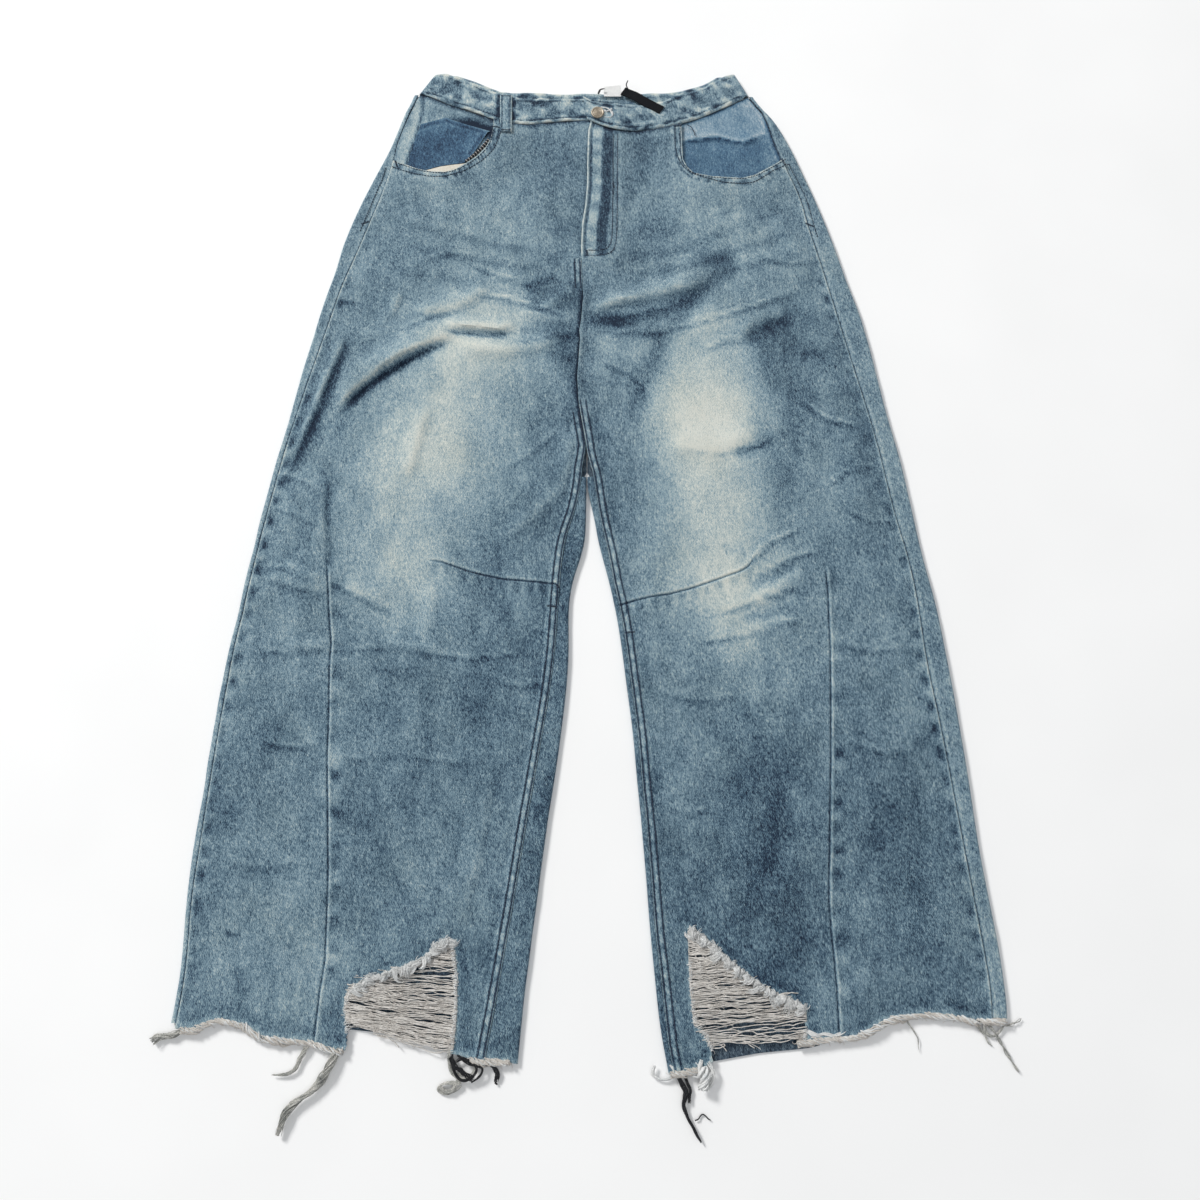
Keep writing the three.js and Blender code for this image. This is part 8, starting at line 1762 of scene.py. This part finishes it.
def weft(side, seed):
    """the cross threads left in a torn notch"""
    poly = C["rip_r" if side == "R" else "rip_l"]
    rg = np.random.default_rng(seed)
    y0, y1 = poly[:, 1].min(), poly[:, 1].max()
    xl, xr = poly[:, 0].min(), poly[:, 0].max()
    paths, rad = [], []
    n = 32
    u = np.linspace(0, 1, n)
    bow = np.sin(np.pi * u)
    # (height share, how open the threads lie there)
    open_at = {"R": [(0.0, 0.62), (0.30, 0.75), (0.36, 1.4), (0.42, 0.7), (0.60, 0.8), (0.66, 2.6), (0.74, 2.2), (0.78, 0.9), (1.0, 0.8)],
               "L": [(0.0, 1.6), (0.10, 0.9), (0.17, 2.2), (0.25, 1.0), (0.33, 1.6), (0.42, 0.8), (1.0, 0.62)]}[side]
    low_slope = {"R": -0.20, "L": 0.075}[side]
    level = y0 + (9 if side == "R" else 1)
    while level < y1 - 3:
        f = (level - y0) / (y1 - y0)
        slope = low_slope * (1 - f) ** 1.3 + rg.normal(0, 0.012)
        sp = span(poly, level)
        gap = np.interp(f, [q[0] for q in open_at], [q[1] for q in open_at])
        level += rg.uniform(0.5, 1.2) * gap
        if sp is None or sp[1] - sp[0] < 5:
            continue
        for _ in range(rg.choice([1, 2, 3], p=[0.45, 0.4, 0.15])):
            a, b = sp[0] - 1.6, sp[1] + 1.6
            c = (a + b) / 2
            x = mix(a, b, u)
            sag = rg.normal(0, 1.3) - (2.2 if f < 0.15 else 0) + (rg.uniform(-6, -2) if rg.random() < 0.06 else 0)
            me_ = rg.uniform(0, 900)
            cross = rg.normal(0, 0.022) if rg.random() < 0.72 else rg.uniform(-0.15, 0.15)
            slope_ = slope + cross
            wav = 2.0 * noise(x, np.full(n, level), 17, seed + 1, 0.16) + 1.1 * noise(x, np.full(n, me_), 8, seed + 2) + 1.1 * noise(x, np.full(n, me_), 19, seed + 9)
            yy = level + slope_ * (x - c) + sag * bow * (0.6 + 0.4 * u) + wav * bow**0.5 + 0.5 * noise(x, np.full(n, me_), 3.6, seed + 3)
            zz = 3.6 + rg.uniform(0, 1.5) + rg.uniform(0.3, 0.9) * np.sin(x / rg.uniform(2.2, 6) + rg.uniform(0, 9)) * bow**0.4
            zz = zz + (1 - bow**0.25) * 0.9
            if rg.random() < 0.12:
                m = int(n * rg.uniform(0.3, 0.8))
                ss = np.linspace(0, m - 1, n)
                x, yy, zz = [np.interp(ss, np.arange(m), q[:m]) for q in (x, yy, zz)]
                yy = yy - 7 * np.linspace(0, 1, n) ** 4
            paths.append(np.stack([x, yy, np.maximum(zz, 3.3)], 1))
            rad.append(rg.uniform(0.24, 0.50) * (1 + 0.25 * noise(x, np.full(n, me_), 5, seed + 12)))
    V, P = tubes(np.array(paths), np.array(rad), 5)
    return V, P


def fray(edge, zf, outward, seed, per_mm=1.0, reach=(4, 10), r=(0.22, 0.38), curl=2.4, drop=1.0, floor=0.5, n=8, tuck=1.4):
    """short curled fibres standing out of a torn edge"""
    E = resample(edge, 1.0 / per_mm)
    rg = np.random.default_rng(seed)
    T = np.gradient(E, axis=0)
    T /= np.linalg.norm(T, axis=1, keepdims=True) + 1e-9
    N = np.stack([T[:, 1], -T[:, 0]], 1) * outward
    paths, rad = [], []
    for p, nrm in zip(E, N):
        L = rg.uniform(*reach)
        th = math.atan2(nrm[1], nrm[0]) + rg.normal(0, 0.5)
        k = rg.normal(0, curl)
        q = p - nrm * tuck + rg.normal(0, 0.5, 2)
        pts = []
        z0 = float(zf(np.array([q[0]]), np.array([q[1]]))[0])
        st = L / (n - 1)
        for i in range(n):
            u = i / (n - 1)
            z = max(floor, z0 + 0.25 + 1.1 * math.sin(math.pi * min(1, u * 1.3)) - drop * u * 2.2)
            pts.append([q[0], q[1], z])
            a = th + k * u * u
            q = q + st * np.array([math.cos(a), math.sin(a)])
        paths.append(pts)
        rad.append(np.linspace(1.0, 0.6, n) * rg.uniform(*r))
    return tubes(np.array(paths), np.array(rad), 4)


def rope_hem(edge, zf, seed, r0=2.9, strands=19, pitch=24.0, thick=(0.42, 0.72), zmin=0.4):
    """rolled raw hem: yarns twisted loosely round the edge, thick and thin by turns"""
    E = resample(edge, 1.9)
    n = len(E)
    s_ = np.arange(n) * 1.9
    rg = np.random.default_rng(seed)
    T = np.gradient(E, axis=0)
    T /= np.linalg.norm(T, axis=1, keepdims=True) + 1e-9
    N = np.stack([-T[:, 1], T[:, 0]], 1)
    bulk = 1 + 0.42 * noise(s_, s_ * 0, 15, seed + 1) + 0.18 * noise(s_, s_ * 0, 5, seed + 2)
    cz = np.maximum(zf(E[:, 0], E[:, 1] + 2) - 0.9, zmin + r0 * 0.8)
    cx = E - N * (0.4 + 0.9 * noise(s_, s_ * 0, 19, seed + 3))[:, None]
    paths, rad = [], []
    for k in range(strands):
        rho = r0 * rg.uniform(0.55, 1.12)
        a = 2 * np.pi * (k / strands + s_ / (pitch * rg.uniform(0.75, 1.3))) + 1.2 * noise(s_, s_ * 0, 9, seed + 10 + k)
        loose = 1 + 0.35 * noise(s_, s_ * 0, 7, seed + 40 + k)
        lat, ver = rho * bulk * loose * np.cos(a), rho * 0.75 * bulk * loose * np.sin(a)
        q = np.c_[cx + N * lat[:, None], np.maximum(cz + ver, zmin)]
        paths.append(q)
        rad.append(rg.uniform(*thick) * (1 + 0.3 * noise(s_, s_ * 0, 6, seed + 70 + k)))
    return tubes(np.array(paths), np.array(rad), 5)


def tufts(edge, zf, away, seed, step=4.0, length=(9, 20), strands=9, lean=0.0, r=0.33, width=6.6):
    """flat ribbons of frayed warp that curl over a torn edge"""
    E = resample(edge, step)
    rg = np.random.default_rng(seed)
    paths, rad = [], []
    n = 11
    u = np.linspace(0, 1, n)
    for p in E[1:-1] if len(E) > 3 else E:
        base = math.atan2(away[1], away[0]) + lean + rg.normal(0, 0.55)
        k = rg.choice([-1, 1], p=[0.65, 0.35]) * rg.uniform(0.8, 4.4)
        L = rg.uniform(*length)
        W = width * rg.uniform(0.6, 1.2)
        h = rg.uniform(1.8, 4.2)
        a = base + k * u**2
        st = L / (n - 1)
        cx = p[0] - 2.2 * math.cos(base) + np.r_[0, np.cumsum(st * np.cos(a[1:]))]
        cy = p[1] - 2.2 * math.sin(base) + np.r_[0, np.cumsum(st * np.sin(a[1:]))]
        nx, ny = -np.sin(a), np.cos(a)
        z0 = float(zf(np.array([p[0]]), np.array([p[1]]))[0])
        hump = z0 + 0.1 + h * np.sin(np.pi * np.clip(u * 1.15, 0, 1)) * 0.9 - 1.6 * u**2
        for j in range(strands):
            o = (j / (strands - 1) - 0.5) * W
            w = o * (1 + 0.35 * np.sin(3 * u + k)) + 0.35 * noise(u * 30, np.full(n, j * 5.0 + p[0]), 6, seed + 5)
            m = int(n * rg.uniform(0.62, 1.0))
            q = np.stack([cx + nx * w, cy + ny * w, np.maximum(hump + 1.1 * rg.random() - 0.35 * (2 * o / W) ** 2, 3.9)], 1)
            ss = np.linspace(0, m - 1, n)
            q = np.stack([np.interp(ss, np.arange(n), q[:, i]) for i in range(3)], 1)
            paths.append(q)
            rad.append(r * rg.uniform(0.8, 1.2) * np.interp(u, [0, 0.1, 0.8, 1], [0.6, 1, 0.9, 0.4]))
    return tubes(np.array(paths), np.array(rad), 4)


def bundle(path, r, seed, strands=16, twist=1.6, taper=(1.0, 0.9), thick=0.34, n=26, splay=0.0, floor=0.35, wob=0.35):
    """loose yarns lying along one path, twisted and flattened together"""
    P = resample(rounded(path, 2), 0.5)
    d = np.r_[0, np.cumsum(np.linalg.norm(np.diff(P, axis=0), axis=1))]
    s = np.linspace(0, d[-1], n)
    Q = np.stack([np.interp(s, d, P[:, k]) for k in range(3)], 1)
    T = np.gradient(Q, axis=0)
    T /= np.linalg.norm(T, axis=1, keepdims=True) + 1e-9
    U = np.stack([-T[:, 1], T[:, 0], np.zeros(n)], 1)
    U /= np.linalg.norm(U, axis=1, keepdims=True) + 1e-9
    rg = np.random.default_rng(seed)
    u = np.linspace(0, 1, n)
    env = np.interp(u, [0, 0.12, 0.6, 1], [0.8, 1.0, taper[0], taper[1]]) * (1 + 0.18 * np.sin(u * 11 + seed))
    paths, rad = [], []
    for k in range(strands):
        rho = r * math.sqrt(rg.random()) * 0.78
        ph = rg.uniform(0, 2 * np.pi)
        a = ph + twist * 2 * np.pi * u * rg.uniform(0.8, 1.2)
        lat = rho * env * np.cos(a) + wob * noise(u * 40, np.full(n, k * 7.3), 6, seed + 3) + splay * r * (u**3) * rg.normal(0, 1)
        ver = rho * 0.62 * env * np.sin(a)
        q = Q + U * lat[:, None]
        q[:, 2] = np.maximum(q[:, 2] + ver, floor)
        cutn = n if rg.random() < 0.65 else int(n * rg.uniform(0.7, 0.98))
        if cutn < n:
            qq = q[:cutn]
            ss = np.linspace(0, cutn - 1, n)
            q = np.stack([np.interp(ss, np.arange(cutn), qq[:, j]) for j in range(3)], 1)
        paths.append(q)
        rad.append(np.interp(u, [0, 0.05, 0.9, 1], [0.6, 1, 0.9, 0.35]) * thick * rg.uniform(0.7, 1.4) * (1 + 0.2 * noise(s, np.full(n, k * 3.1), 5, seed + 6)))
    return tubes(np.array(paths), np.array(rad), 5)


# ------------------------------------------------------------------ build
front = {s: front_panel(s) for s in "RL"}
back = {s: back_panel(s, "leg") for s in "RL"}
yoke = {s: back_panel(s, "yoke") for s in "RL"}
own(front["R"], "denim_front", "front_right")
own(front["L"], "denim_front", "front_left")
own(back["R"], "denim_back", "back_right")
own(back["L"], "denim_back", "back_left")
own(yoke["R"], "denim_back", "yoke_right")
own(yoke["L"], "denim_back", "yoke_left")
fac = {s: facing(s) for s in "RL"}
own(fac["R"], "denim_pale", "pocket_facing_right")
own(fac["L"], "denim_dark", "pocket_facing_left")


def coin_low(x, y):
    d = to_line(C["coinpoly"][:6], x, y)[0]
    return 4.35 + 0.18 * noise(x, y, 12, 130) + 0.35 * (1 - smooth((d - 6) / 1.5))


def coin_tone(x, y):
    d, t, sd, ln = to_line(C["coinpoly"][:6], x, y)
    v = 0.20 + 0.06 * noise(x, y, 15, 131) + 0.05 * noise(x, y, 5, 132)
    v += 0.22 * np.exp(-((d / 1.4) ** 2)) + 0.16 * np.exp(-(((d - 6.5) / 1.5) ** 2)) - 0.10 * np.exp(-(((d - 3.6) / 1.4) ** 2)) + 0.07 * np.exp(-(((d - 10) / 3) ** 2))
    x0, y0 = C["coinpoly"].min(0)
    v -= 0.12 * np.exp(-(((x - x0) / 5) ** 2))
    return v


coin = own(patch_cloth("denim_watch_pocket", C["coinpoly"], coin_low, 0.95, 2.0, M_DARK, coin_tone), "denim_dark", "watch_pocket")
BAG_SHOWN = np.array([[-180.97, 425.86], [-162.6, 431.48], [-150.63, 433.36], [-137.55, 435.23], [-131.5, 436.0], [-127.5, 433.5], [-135.2, 429.61], [-145.91, 422.75], [-157.82, 419.63], [-174.21, 420.26], [-185.19, 422.12]])
bag = own(patch_cloth("pocket_bag_right_edge", BAG_SHOWN, lambda x, y: 4.35 + 0.2 * noise(x, y, 9, 133), 0.8, 1.6, M_BAG, lambda x, y: 0 * x), "pocket_cloth", "pocket_bag_right")
band = {s: band_front(s) for s in "RL"}
own(band["R"], "denim_band", "waistband_front_right")
own(band["L"], "denim_band", "waistband_front_left")
bandb = own(band_back(), "denim_band", "waistband_back")
loop, loop_st = belt_loop()
own(loop, "denim_band", "belt_loop_front")
own(loop_st, "thread_dark")
for s, nm in ((-1, "right"), (1, "left")):
    own(flat_patch_back("denim_back_pocket_" + nm, back_pocket(s), 0.40, seed=140 + s), "denim_back", "back_pocket_" + nm)
for x, nm in zip(BACK_LOOPS, ("right", "centre", "left")):
    yb = float(max(y_at("wbk_b", x - 6), y_at("wbk_b", x + 6))) + 1
    yt = float(min(y_at("wbk_t", x - 6), y_at("wbk_t", x + 6))) - 1.5
    h = LOOP_W / 2
    own(flat_patch_back("denim_belt_loop_back_" + nm, [[x - h, yb], [x + h, yb], [x + h, yt], [x - h, yt]], 0.44, seed=150), "denim_band", "belt_loop_back_" + nm)
own(button(), "button_metal", "button")
own(label_black(), "label_black", "label_black")
own(label_white(), "label_white", "label_white")

# sewing on the front
zR = lambda x, y: top("R", x, y)
zL = lambda x, y: top("L", x, y)
Z = {"R": zR, "L": zL}
rows = {"R": [], "L": []}
for i, (s, p) in enumerate(SEW):
    rows[s].append(stitch_row(p, Z[s], length=2.75, r=0.5, seed=200 + i))
ys = np.linspace(Y_FLY - 4, BOTTOM["R"] - 24, 240)
starts = {"R": SEAM_TOP["R"] - 6, "L": SEAM_TOP["L"] - 6}
for s in "RL":
    k = -LEG[s]["s"]
    for j, off in enumerate((1.9, 7.6)):
        yy = ys[(ys > (y_at(LEG[s]["hem"], in_edge(s, ys)) + 1.5)) & (ys < starts[s])]
        x = in_edge(s, yy) + LEG[s]["s"] * off
        rows[s].append(stitch_row(np.stack([x, yy], 1), Z[s], pitch=3.0, length=2.65, r=0.52, seed=220 + j))
        if s == "R":
            yy = np.linspace(Y_FLY - 3, Y_FLY - 36, 24)
            rows[s].append(stitch_row(np.stack([in_edge(s, yy) + LEG[s]["s"] * off, yy], 1), Z[s], length=2.75, r=0.52, seed=224 + j))
# second row beside the outseam at the hip, down to the tack
for s, yend in (("R", 352.0), ("L", 345.0)):
    yy = np.linspace(float(C[LEG[s]["poc"]][-1][1]) - 6, yend, 60)
    x = out_edge(s, yy) + LEG[s]["s"] * 6.0
    rows[s].append(stitch_row(np.stack([x, yy], 1), lambda x, y: LEVEL + DENIM + 0.2 + 0 * x, r=0.42, seed=230))
for i, (s, c, h) in enumerate(TACKS):
    rows[s].append(bar_tack(c, h, Z[s], seed=240 + i))
for s, nm in (("R", "right"), ("L", "left")):
    V, P = join_parts(rows[s])
    own(mesh_of("sewing_front_" + nm, V, P, M_NAVY, 0), "thread_dark")

# sewing on the band
parts = []
for s in "RL":
    lo, hi = ("wbb_r", "wbt_r") if s == "R" else ("wbb_l", "wbt_l")
    F = C["bandfold_r" if s == "R" else "bandfold_l"]
    E = C["bandend_r" if s == "R" else "bandend_l"]
    sg = -1 if s == "R" else 1
    for t in (0.13, 0.87):
        xb = np.linspace(F[0, 0] - sg * 8, E[0, 0] + sg * 3, 120)
        xt = np.linspace(F[1, 0] - sg * 8, E[1, 0] + sg * 3, 120)
        x, y = mix(xb, xt, t), mix(y_at(lo, xb), y_at(hi, xt), t)
        zf = (lambda px, py: RISE + BAND + 2.5 * (1 - smooth((px - 27.3) / 28)) - 0.1) if s == "L" else (lambda px, py: RISE + BAND - 0.1 + 0 * px)
        parts.append(stitch_row(np.stack([x, y], 1), zf, pitch=3.1, length=2.5, r=0.30, seed=260))
# buttonhole: short close stitches round a slot
bx, by = C["button"][0]
zb = RISE + BAND + 2.5
ring = []
for k in range(34):
    a = k / 34 * 2 * np.pi
    ox, oy = 6.4 * math.cos(a) + 6.5, 1.6 * math.sin(a) + 0.4
    ix, iy = ox + 2.0 * math.cos(a) * 0.7, oy + 1.6 * math.sin(a)
    ring.append([[bx + ox, by + oy, zb + 0.05], [bx + (ox + ix) / 2, by + (oy + iy) / 2, zb + 0.5], [bx + ix, by + iy, zb + 0.05]])
parts.append(tubes(np.array(ring), np.full(len(ring), 0.3), 5))
V, P = join_parts(parts)
own(mesh_of("sewing_waistband", V, P, M_NAVY, 0), "thread_dark")

# sewing on the hidden side
parts = []
down = lambda f: (lambda x, y: f(x, y))
for s in "RL":
    sg = LEG[s]["s"]
    zf = lambda x, y, s=s: ground(x, y) + back_lift(s, x, y) - 0.15
    a = np.array([CENTRE + sg * 1.0, INNER[3]])
    yo_ = float(outer_y(s, INNER[3])) + 26
    b = np.array([float(x_soft(LEG[s]["out"], yo_)) - sg * 4, yo_])
    for off in (2.4, 7.6):
        parts.append(stitch_row([a + [0, off], b + [0, off]], zf, r=0.32, seed=270, dz=-0.05))
    parts.append(stitch_row([[CENTRE + sg * 4.6, INNER[0] - 4], [CENTRE + sg * 4.6, Y_WRAP + 34]], zf, r=0.32, seed=272, dz=-0.05))
for s in (-1, 1):
    q = back_pocket(s)
    for d in (2.0, 7.0):
        g_ = grow(q, -d)
        zf = lambda x, y: 0.05 + 0 * x
        parts.append(stitch_row(np.vstack([g_[0:5]]) if d < 5 else g_[0:5], zf, r=0.36, seed=274, dz=0.08))
    g_ = grow(q, -9)
    parts.append(stitch_row([g_[0], g_[4]], lambda x, y: 0.05 + 0 * x, r=0.36, seed=275, dz=0.08))
V, P = join_parts(parts)
V[:, 2] = np.maximum(V[:, 2], 0.02)
own(mesh_of("sewing_back", V, P, M_NAVY, 0), "thread_dark")

# torn notches
yarns = []
for s, nm, key in (("R", "right", "rip_rn"), ("L", "left", "rip_ln")):
    parts = [weft(s, 300 if s == "R" else 310)]
    E = C[key]
    up = E[2:10] if s == "R" else E[0:8]
    o = -1 if s == "R" else -1
    zf = Z[s]
    fr = [tufts(up, zf, (-0.35, -1) if s == "R" else (0.15, -1), 320 + (s == "L"), lean=0.25 if s == "R" else -0.2)]
    fr.append(tufts(up, zf, (0.3, 1) if s == "R" else (-0.25, 1), 325 + (s == "L"), step=5.5, length=(5, 10), strands=5, width=4.4))
    fr.append(fray(up, zf, (1 if s == "R" else 1), 320, 1.1, (3, 8), (0.26, 0.44), 2.6))
    sides_ = [E[0:3], E[9:13]] if s == "R" else [E[8:10], E[12:]]
    for j, q in enumerate(sides_):
        fr.append(fray(q, zf, (1 if s == "R" else 1), 330 + j, 1.15, (3.5, 8), (0.28, 0.46), 2.8))
        fr.append(fray(q, zf, -(1 if s == "R" else 1), 334 + j, 0.5, (2.5, 5), (0.26, 0.4), 2.8, drop=-0.1))
    V, P = join_parts(parts)
    o_ = own(mesh_of("yarn_rip_" + nm, V, P, M_WEFT, 0), "thread_white", "rip_threads_" + nm)
    V, P = join_parts(fr)
    o2 = own(mesh_of("fray_rip_" + nm, V, P, M_FRAY, 0), "thread_white", "rip_threads_" + nm)
    yarns.append(o_)

# rolled raw hems
HEM_ON = {"hem_fringe_right_outer": (0, 17), "hem_fringe_right_inner": (9, 9), "hem_fringe_left_inner": (3, 8), "hem_fringe_left_outer": (6, 0)}
hems = {}
for nm, s, x0, x1 in FRINGES:
    H = LEG[s]["hem"]
    x0, x1 = x0 - HEM_ON[nm][0], x1 + HEM_ON[nm][1]
    xs = np.linspace(x0, x1, max(4, int(abs(x1 - x0) / 2)))
    E = np.stack([xs, y_at(H, xs)], 1)
    V, P = rope_hem(E, Z[s], 360, r0=2.5, strands=12)
    V[:, 2] = np.maximum(V[:, 2], 0.15)
    blue = own(mesh_of("fray_" + nm, V, P, M_FRAY, 0), "thread_white", nm)
    V, P = join_parts([rope_hem(E, Z[s], 340, strands=13), fray(E, Z[s], 1, 341, 0.55, (4, 8), (0.22, 0.36), 3.4, drop=1.2), fray(E, Z[s], -1, 342, 0.35, (2, 5), (0.22, 0.34), 3.4, drop=-0.2)])
    V[:, 2] = np.maximum(V[:, 2], 0.15)
    hems[nm] = own(mesh_of("yarn_" + nm, V, P, M_WHITE, 0), "thread_white", nm)

# tassels, knots and single threads
# where each loose end comes out of the hem
ROOT = {"tassel_right_long": [[-222.0, -470.5, 3.6], [-224.5, -475.0, 4.4]], "tassel_right_short": [[-250.5, -467.0, 3.2]], "knot_right": [[-123.0, -478.0, 4.6]], "curl_right": [[-114.0, -492.0, 3.6]], "tail_right": [[-84.0, -485.0, 3.2]],
        "knot_left": [[102.0, -486.5, 4.6]], "threads_black_left": [[80.0, -493.5, 3.4]], "thread_left_thin": [[287.0, -446.5, 3.4]], "thread_corner_a": [[361.0, -450.5, 3.4]], "thread_corner_b": [[372.0, -450.5, 3.0]],
        "thread_corner_c": [[351.0, -450.5, 3.0]], "tuft_right": [[-366.0, -457.0, 3.4]]}
SPEC = {"tuft_right": dict(strands=26, thick=0.48, splay=0.5, twist=0.5, wob=0.8), "tassel_right_long": dict(strands=40, thick=0.50, splay=0.16, twist=1.5, n=46, wob=1.5, taper=(0.8, 0.55)), "tassel_right_short": dict(strands=22, thick=0.42, taper=(0.5, 0.12), n=34, wob=1.1, twist=1.3),
        "knot_right": dict(strands=12, thick=0.46, twist=1.6, wob=1.6, splay=0.4), "curl_right": dict(strands=14, thick=0.5, twist=0.6, wob=0.9), "tail_right": dict(strands=7, thick=0.45), "knot_left": dict(strands=34, thick=0.72, twist=0.9, wob=1.2),
        "threads_black_left": dict(strands=9, thick=0.62, taper=(0.6, 0.3), n=34), "thread_black_loose": dict(strands=1, thick=0.5), "thread_left_thin": dict(strands=2, thick=0.4),
        "thread_corner_a": dict(strands=3, thick=0.48), "thread_corner_b": dict(strands=3, thick=0.45), "thread_corner_c": dict(strands=3, thick=0.45)}
tass = {}
for i, (nm, pts, r, dark) in enumerate(ENDS):
    if nm in ROOT:
        pts = ROOT[nm] + pts
    V, P = bundle(pts, r * (0.42 if nm == "knot_right" else 1), 400 + i, **SPEC[nm])
    tass[nm] = own(mesh_of("yarn_" + nm, V, P, M_BLACK if dark else (M_FRAY if "knot" in nm else M_TASSEL), 0), "thread_dark" if dark else "thread_white", nm)

# yarn loops hanging at the wearer's right hem
for i, (pts, r, strands, mat, slot, node) in enumerate(LOOPS):
    V, P = bundle(pts, r, 450 + i, strands=strands, twist=0.8, thick=0.46, n=40, wob=0.7, taper=(1.0, 0.8))
    own(mesh_of("yarn_loop_%d" % i, V, P, {"w": M_FRAY, "g": M_TASSEL, "b": M_BLACK}[mat], 0), slot, node)

# overlocked edge inside the wearer's right pocket
E = resample(SERGE, 0.7)
T = np.gradient(E, axis=0)
T /= np.linalg.norm(T, axis=1, keepdims=True)
Nn = np.stack([-T[:, 1], T[:, 0]], 1)
core = np.c_[E, np.full(len(E), 5.7)][None]
V, P = join_parts([tubes(core, np.array([1.7]), 7)] + [tubes(np.array([[[*(e - n_ * 2.1), 5.5], [*(e - n_ * 0.8), 6.7], [*e, 7.05], [*(e + n_ * 0.8), 6.7], [*(e + n_ * 2.1), 5.5]]]), np.array([0.34]), 5) for e, n_ in zip(E[::2], Nn[::2])])
serge_b = own(mesh_of("sewing_overlock_dark", V, P, M_BLACK, 0), "thread_dark", "pocket_bag_right")
V, P = join_parts([tubes(np.array([[[*(e - n_ * 2.2 - t_ * 0.5), 5.6], [*(e - n_ * 0.8), 7.0], [*e, 7.35], [*(e + n_ * 0.8), 7.0], [*(e + n_ * 2.2 + t_ * 0.5), 5.6]]]), np.array([0.36]), 5) for e, n_, t_ in zip(E[1::5], Nn[1::5], T[1::5])])
serge_w = own(mesh_of("sewing_overlock_pale", V, P, M_WHITE, 0), "thread_white", "pocket_bag_right")

# ------------------------------------------------------------------ stage, light, camera
bpy.ops.mesh.primitive_plane_add(size=6, location=(0, 0, -0.0004))
floor = bpy.context.active_object
floor.name = "floor"
fm = Nodes("floor_pale")
fn = fm.noise(fm.co, 6, 2.0, 0.5)
floor.data.materials.append(fm.out(fm.ramp(fn, [(0.3, lin((247, 247, 247))), (0.7, lin((250, 250, 250)))]), 0.95, None, Specular_IOR_Level=0.05))



def area_light(name, loc, target, size, power, color=(1, 1, 1), size_y=None):
    d = bpy.data.lights.new(name, "AREA")
    d.energy, d.size, d.color = power, size, color
    if size_y:
        d.shape, d.size_y = "RECTANGLE", size_y
    o = bpy.data.objects.new(name, d)
    bpy.context.scene.collection.objects.link(o)
    o.location = loc
    from mathutils import Vector
    v = Vector(target) - Vector(loc)
    o.rotation_euler = v.to_track_quat("-Z", "Y").to_euler()
    return o


area_light("key", (-4.2, 3.9, 3.7), (0, 0, 0), 1.5, 430, (1.0, 0.99, 0.97))
area_light("fill", (1.5, -1.6, 5.0), (0, 0, 0), 4.0, 44, (0.97, 0.985, 1.0))
w = bpy.data.worlds.new("studio")
bpy.context.scene.world = w
w.use_nodes = True
w.node_tree.nodes["Background"].inputs[0].default_value = (0.96, 0.98, 1.0, 1)
w.node_tree.nodes["Background"].inputs[1].default_value = 0.42
bpy.context.scene.view_settings.view_transform = "Standard"
bpy.context.scene.view_settings.look = "None"

cam_d = bpy.data.cameras.new("camera")
cam_d.lens, cam_d.sensor_width, cam_d.clip_start = 33.0, 36.0, 0.05
cam = bpy.data.objects.new("camera", cam_d)
bpy.context.scene.collection.objects.link(cam)
E_, D_ = math.radians(76), 1.09
cam.location = (0.0113, -0.0559 - D_ * math.cos(E_), D_ * math.sin(E_))
cam.rotation_euler = (math.pi / 2 - E_, 0, 0)
bpy.context.scene.camera = cam
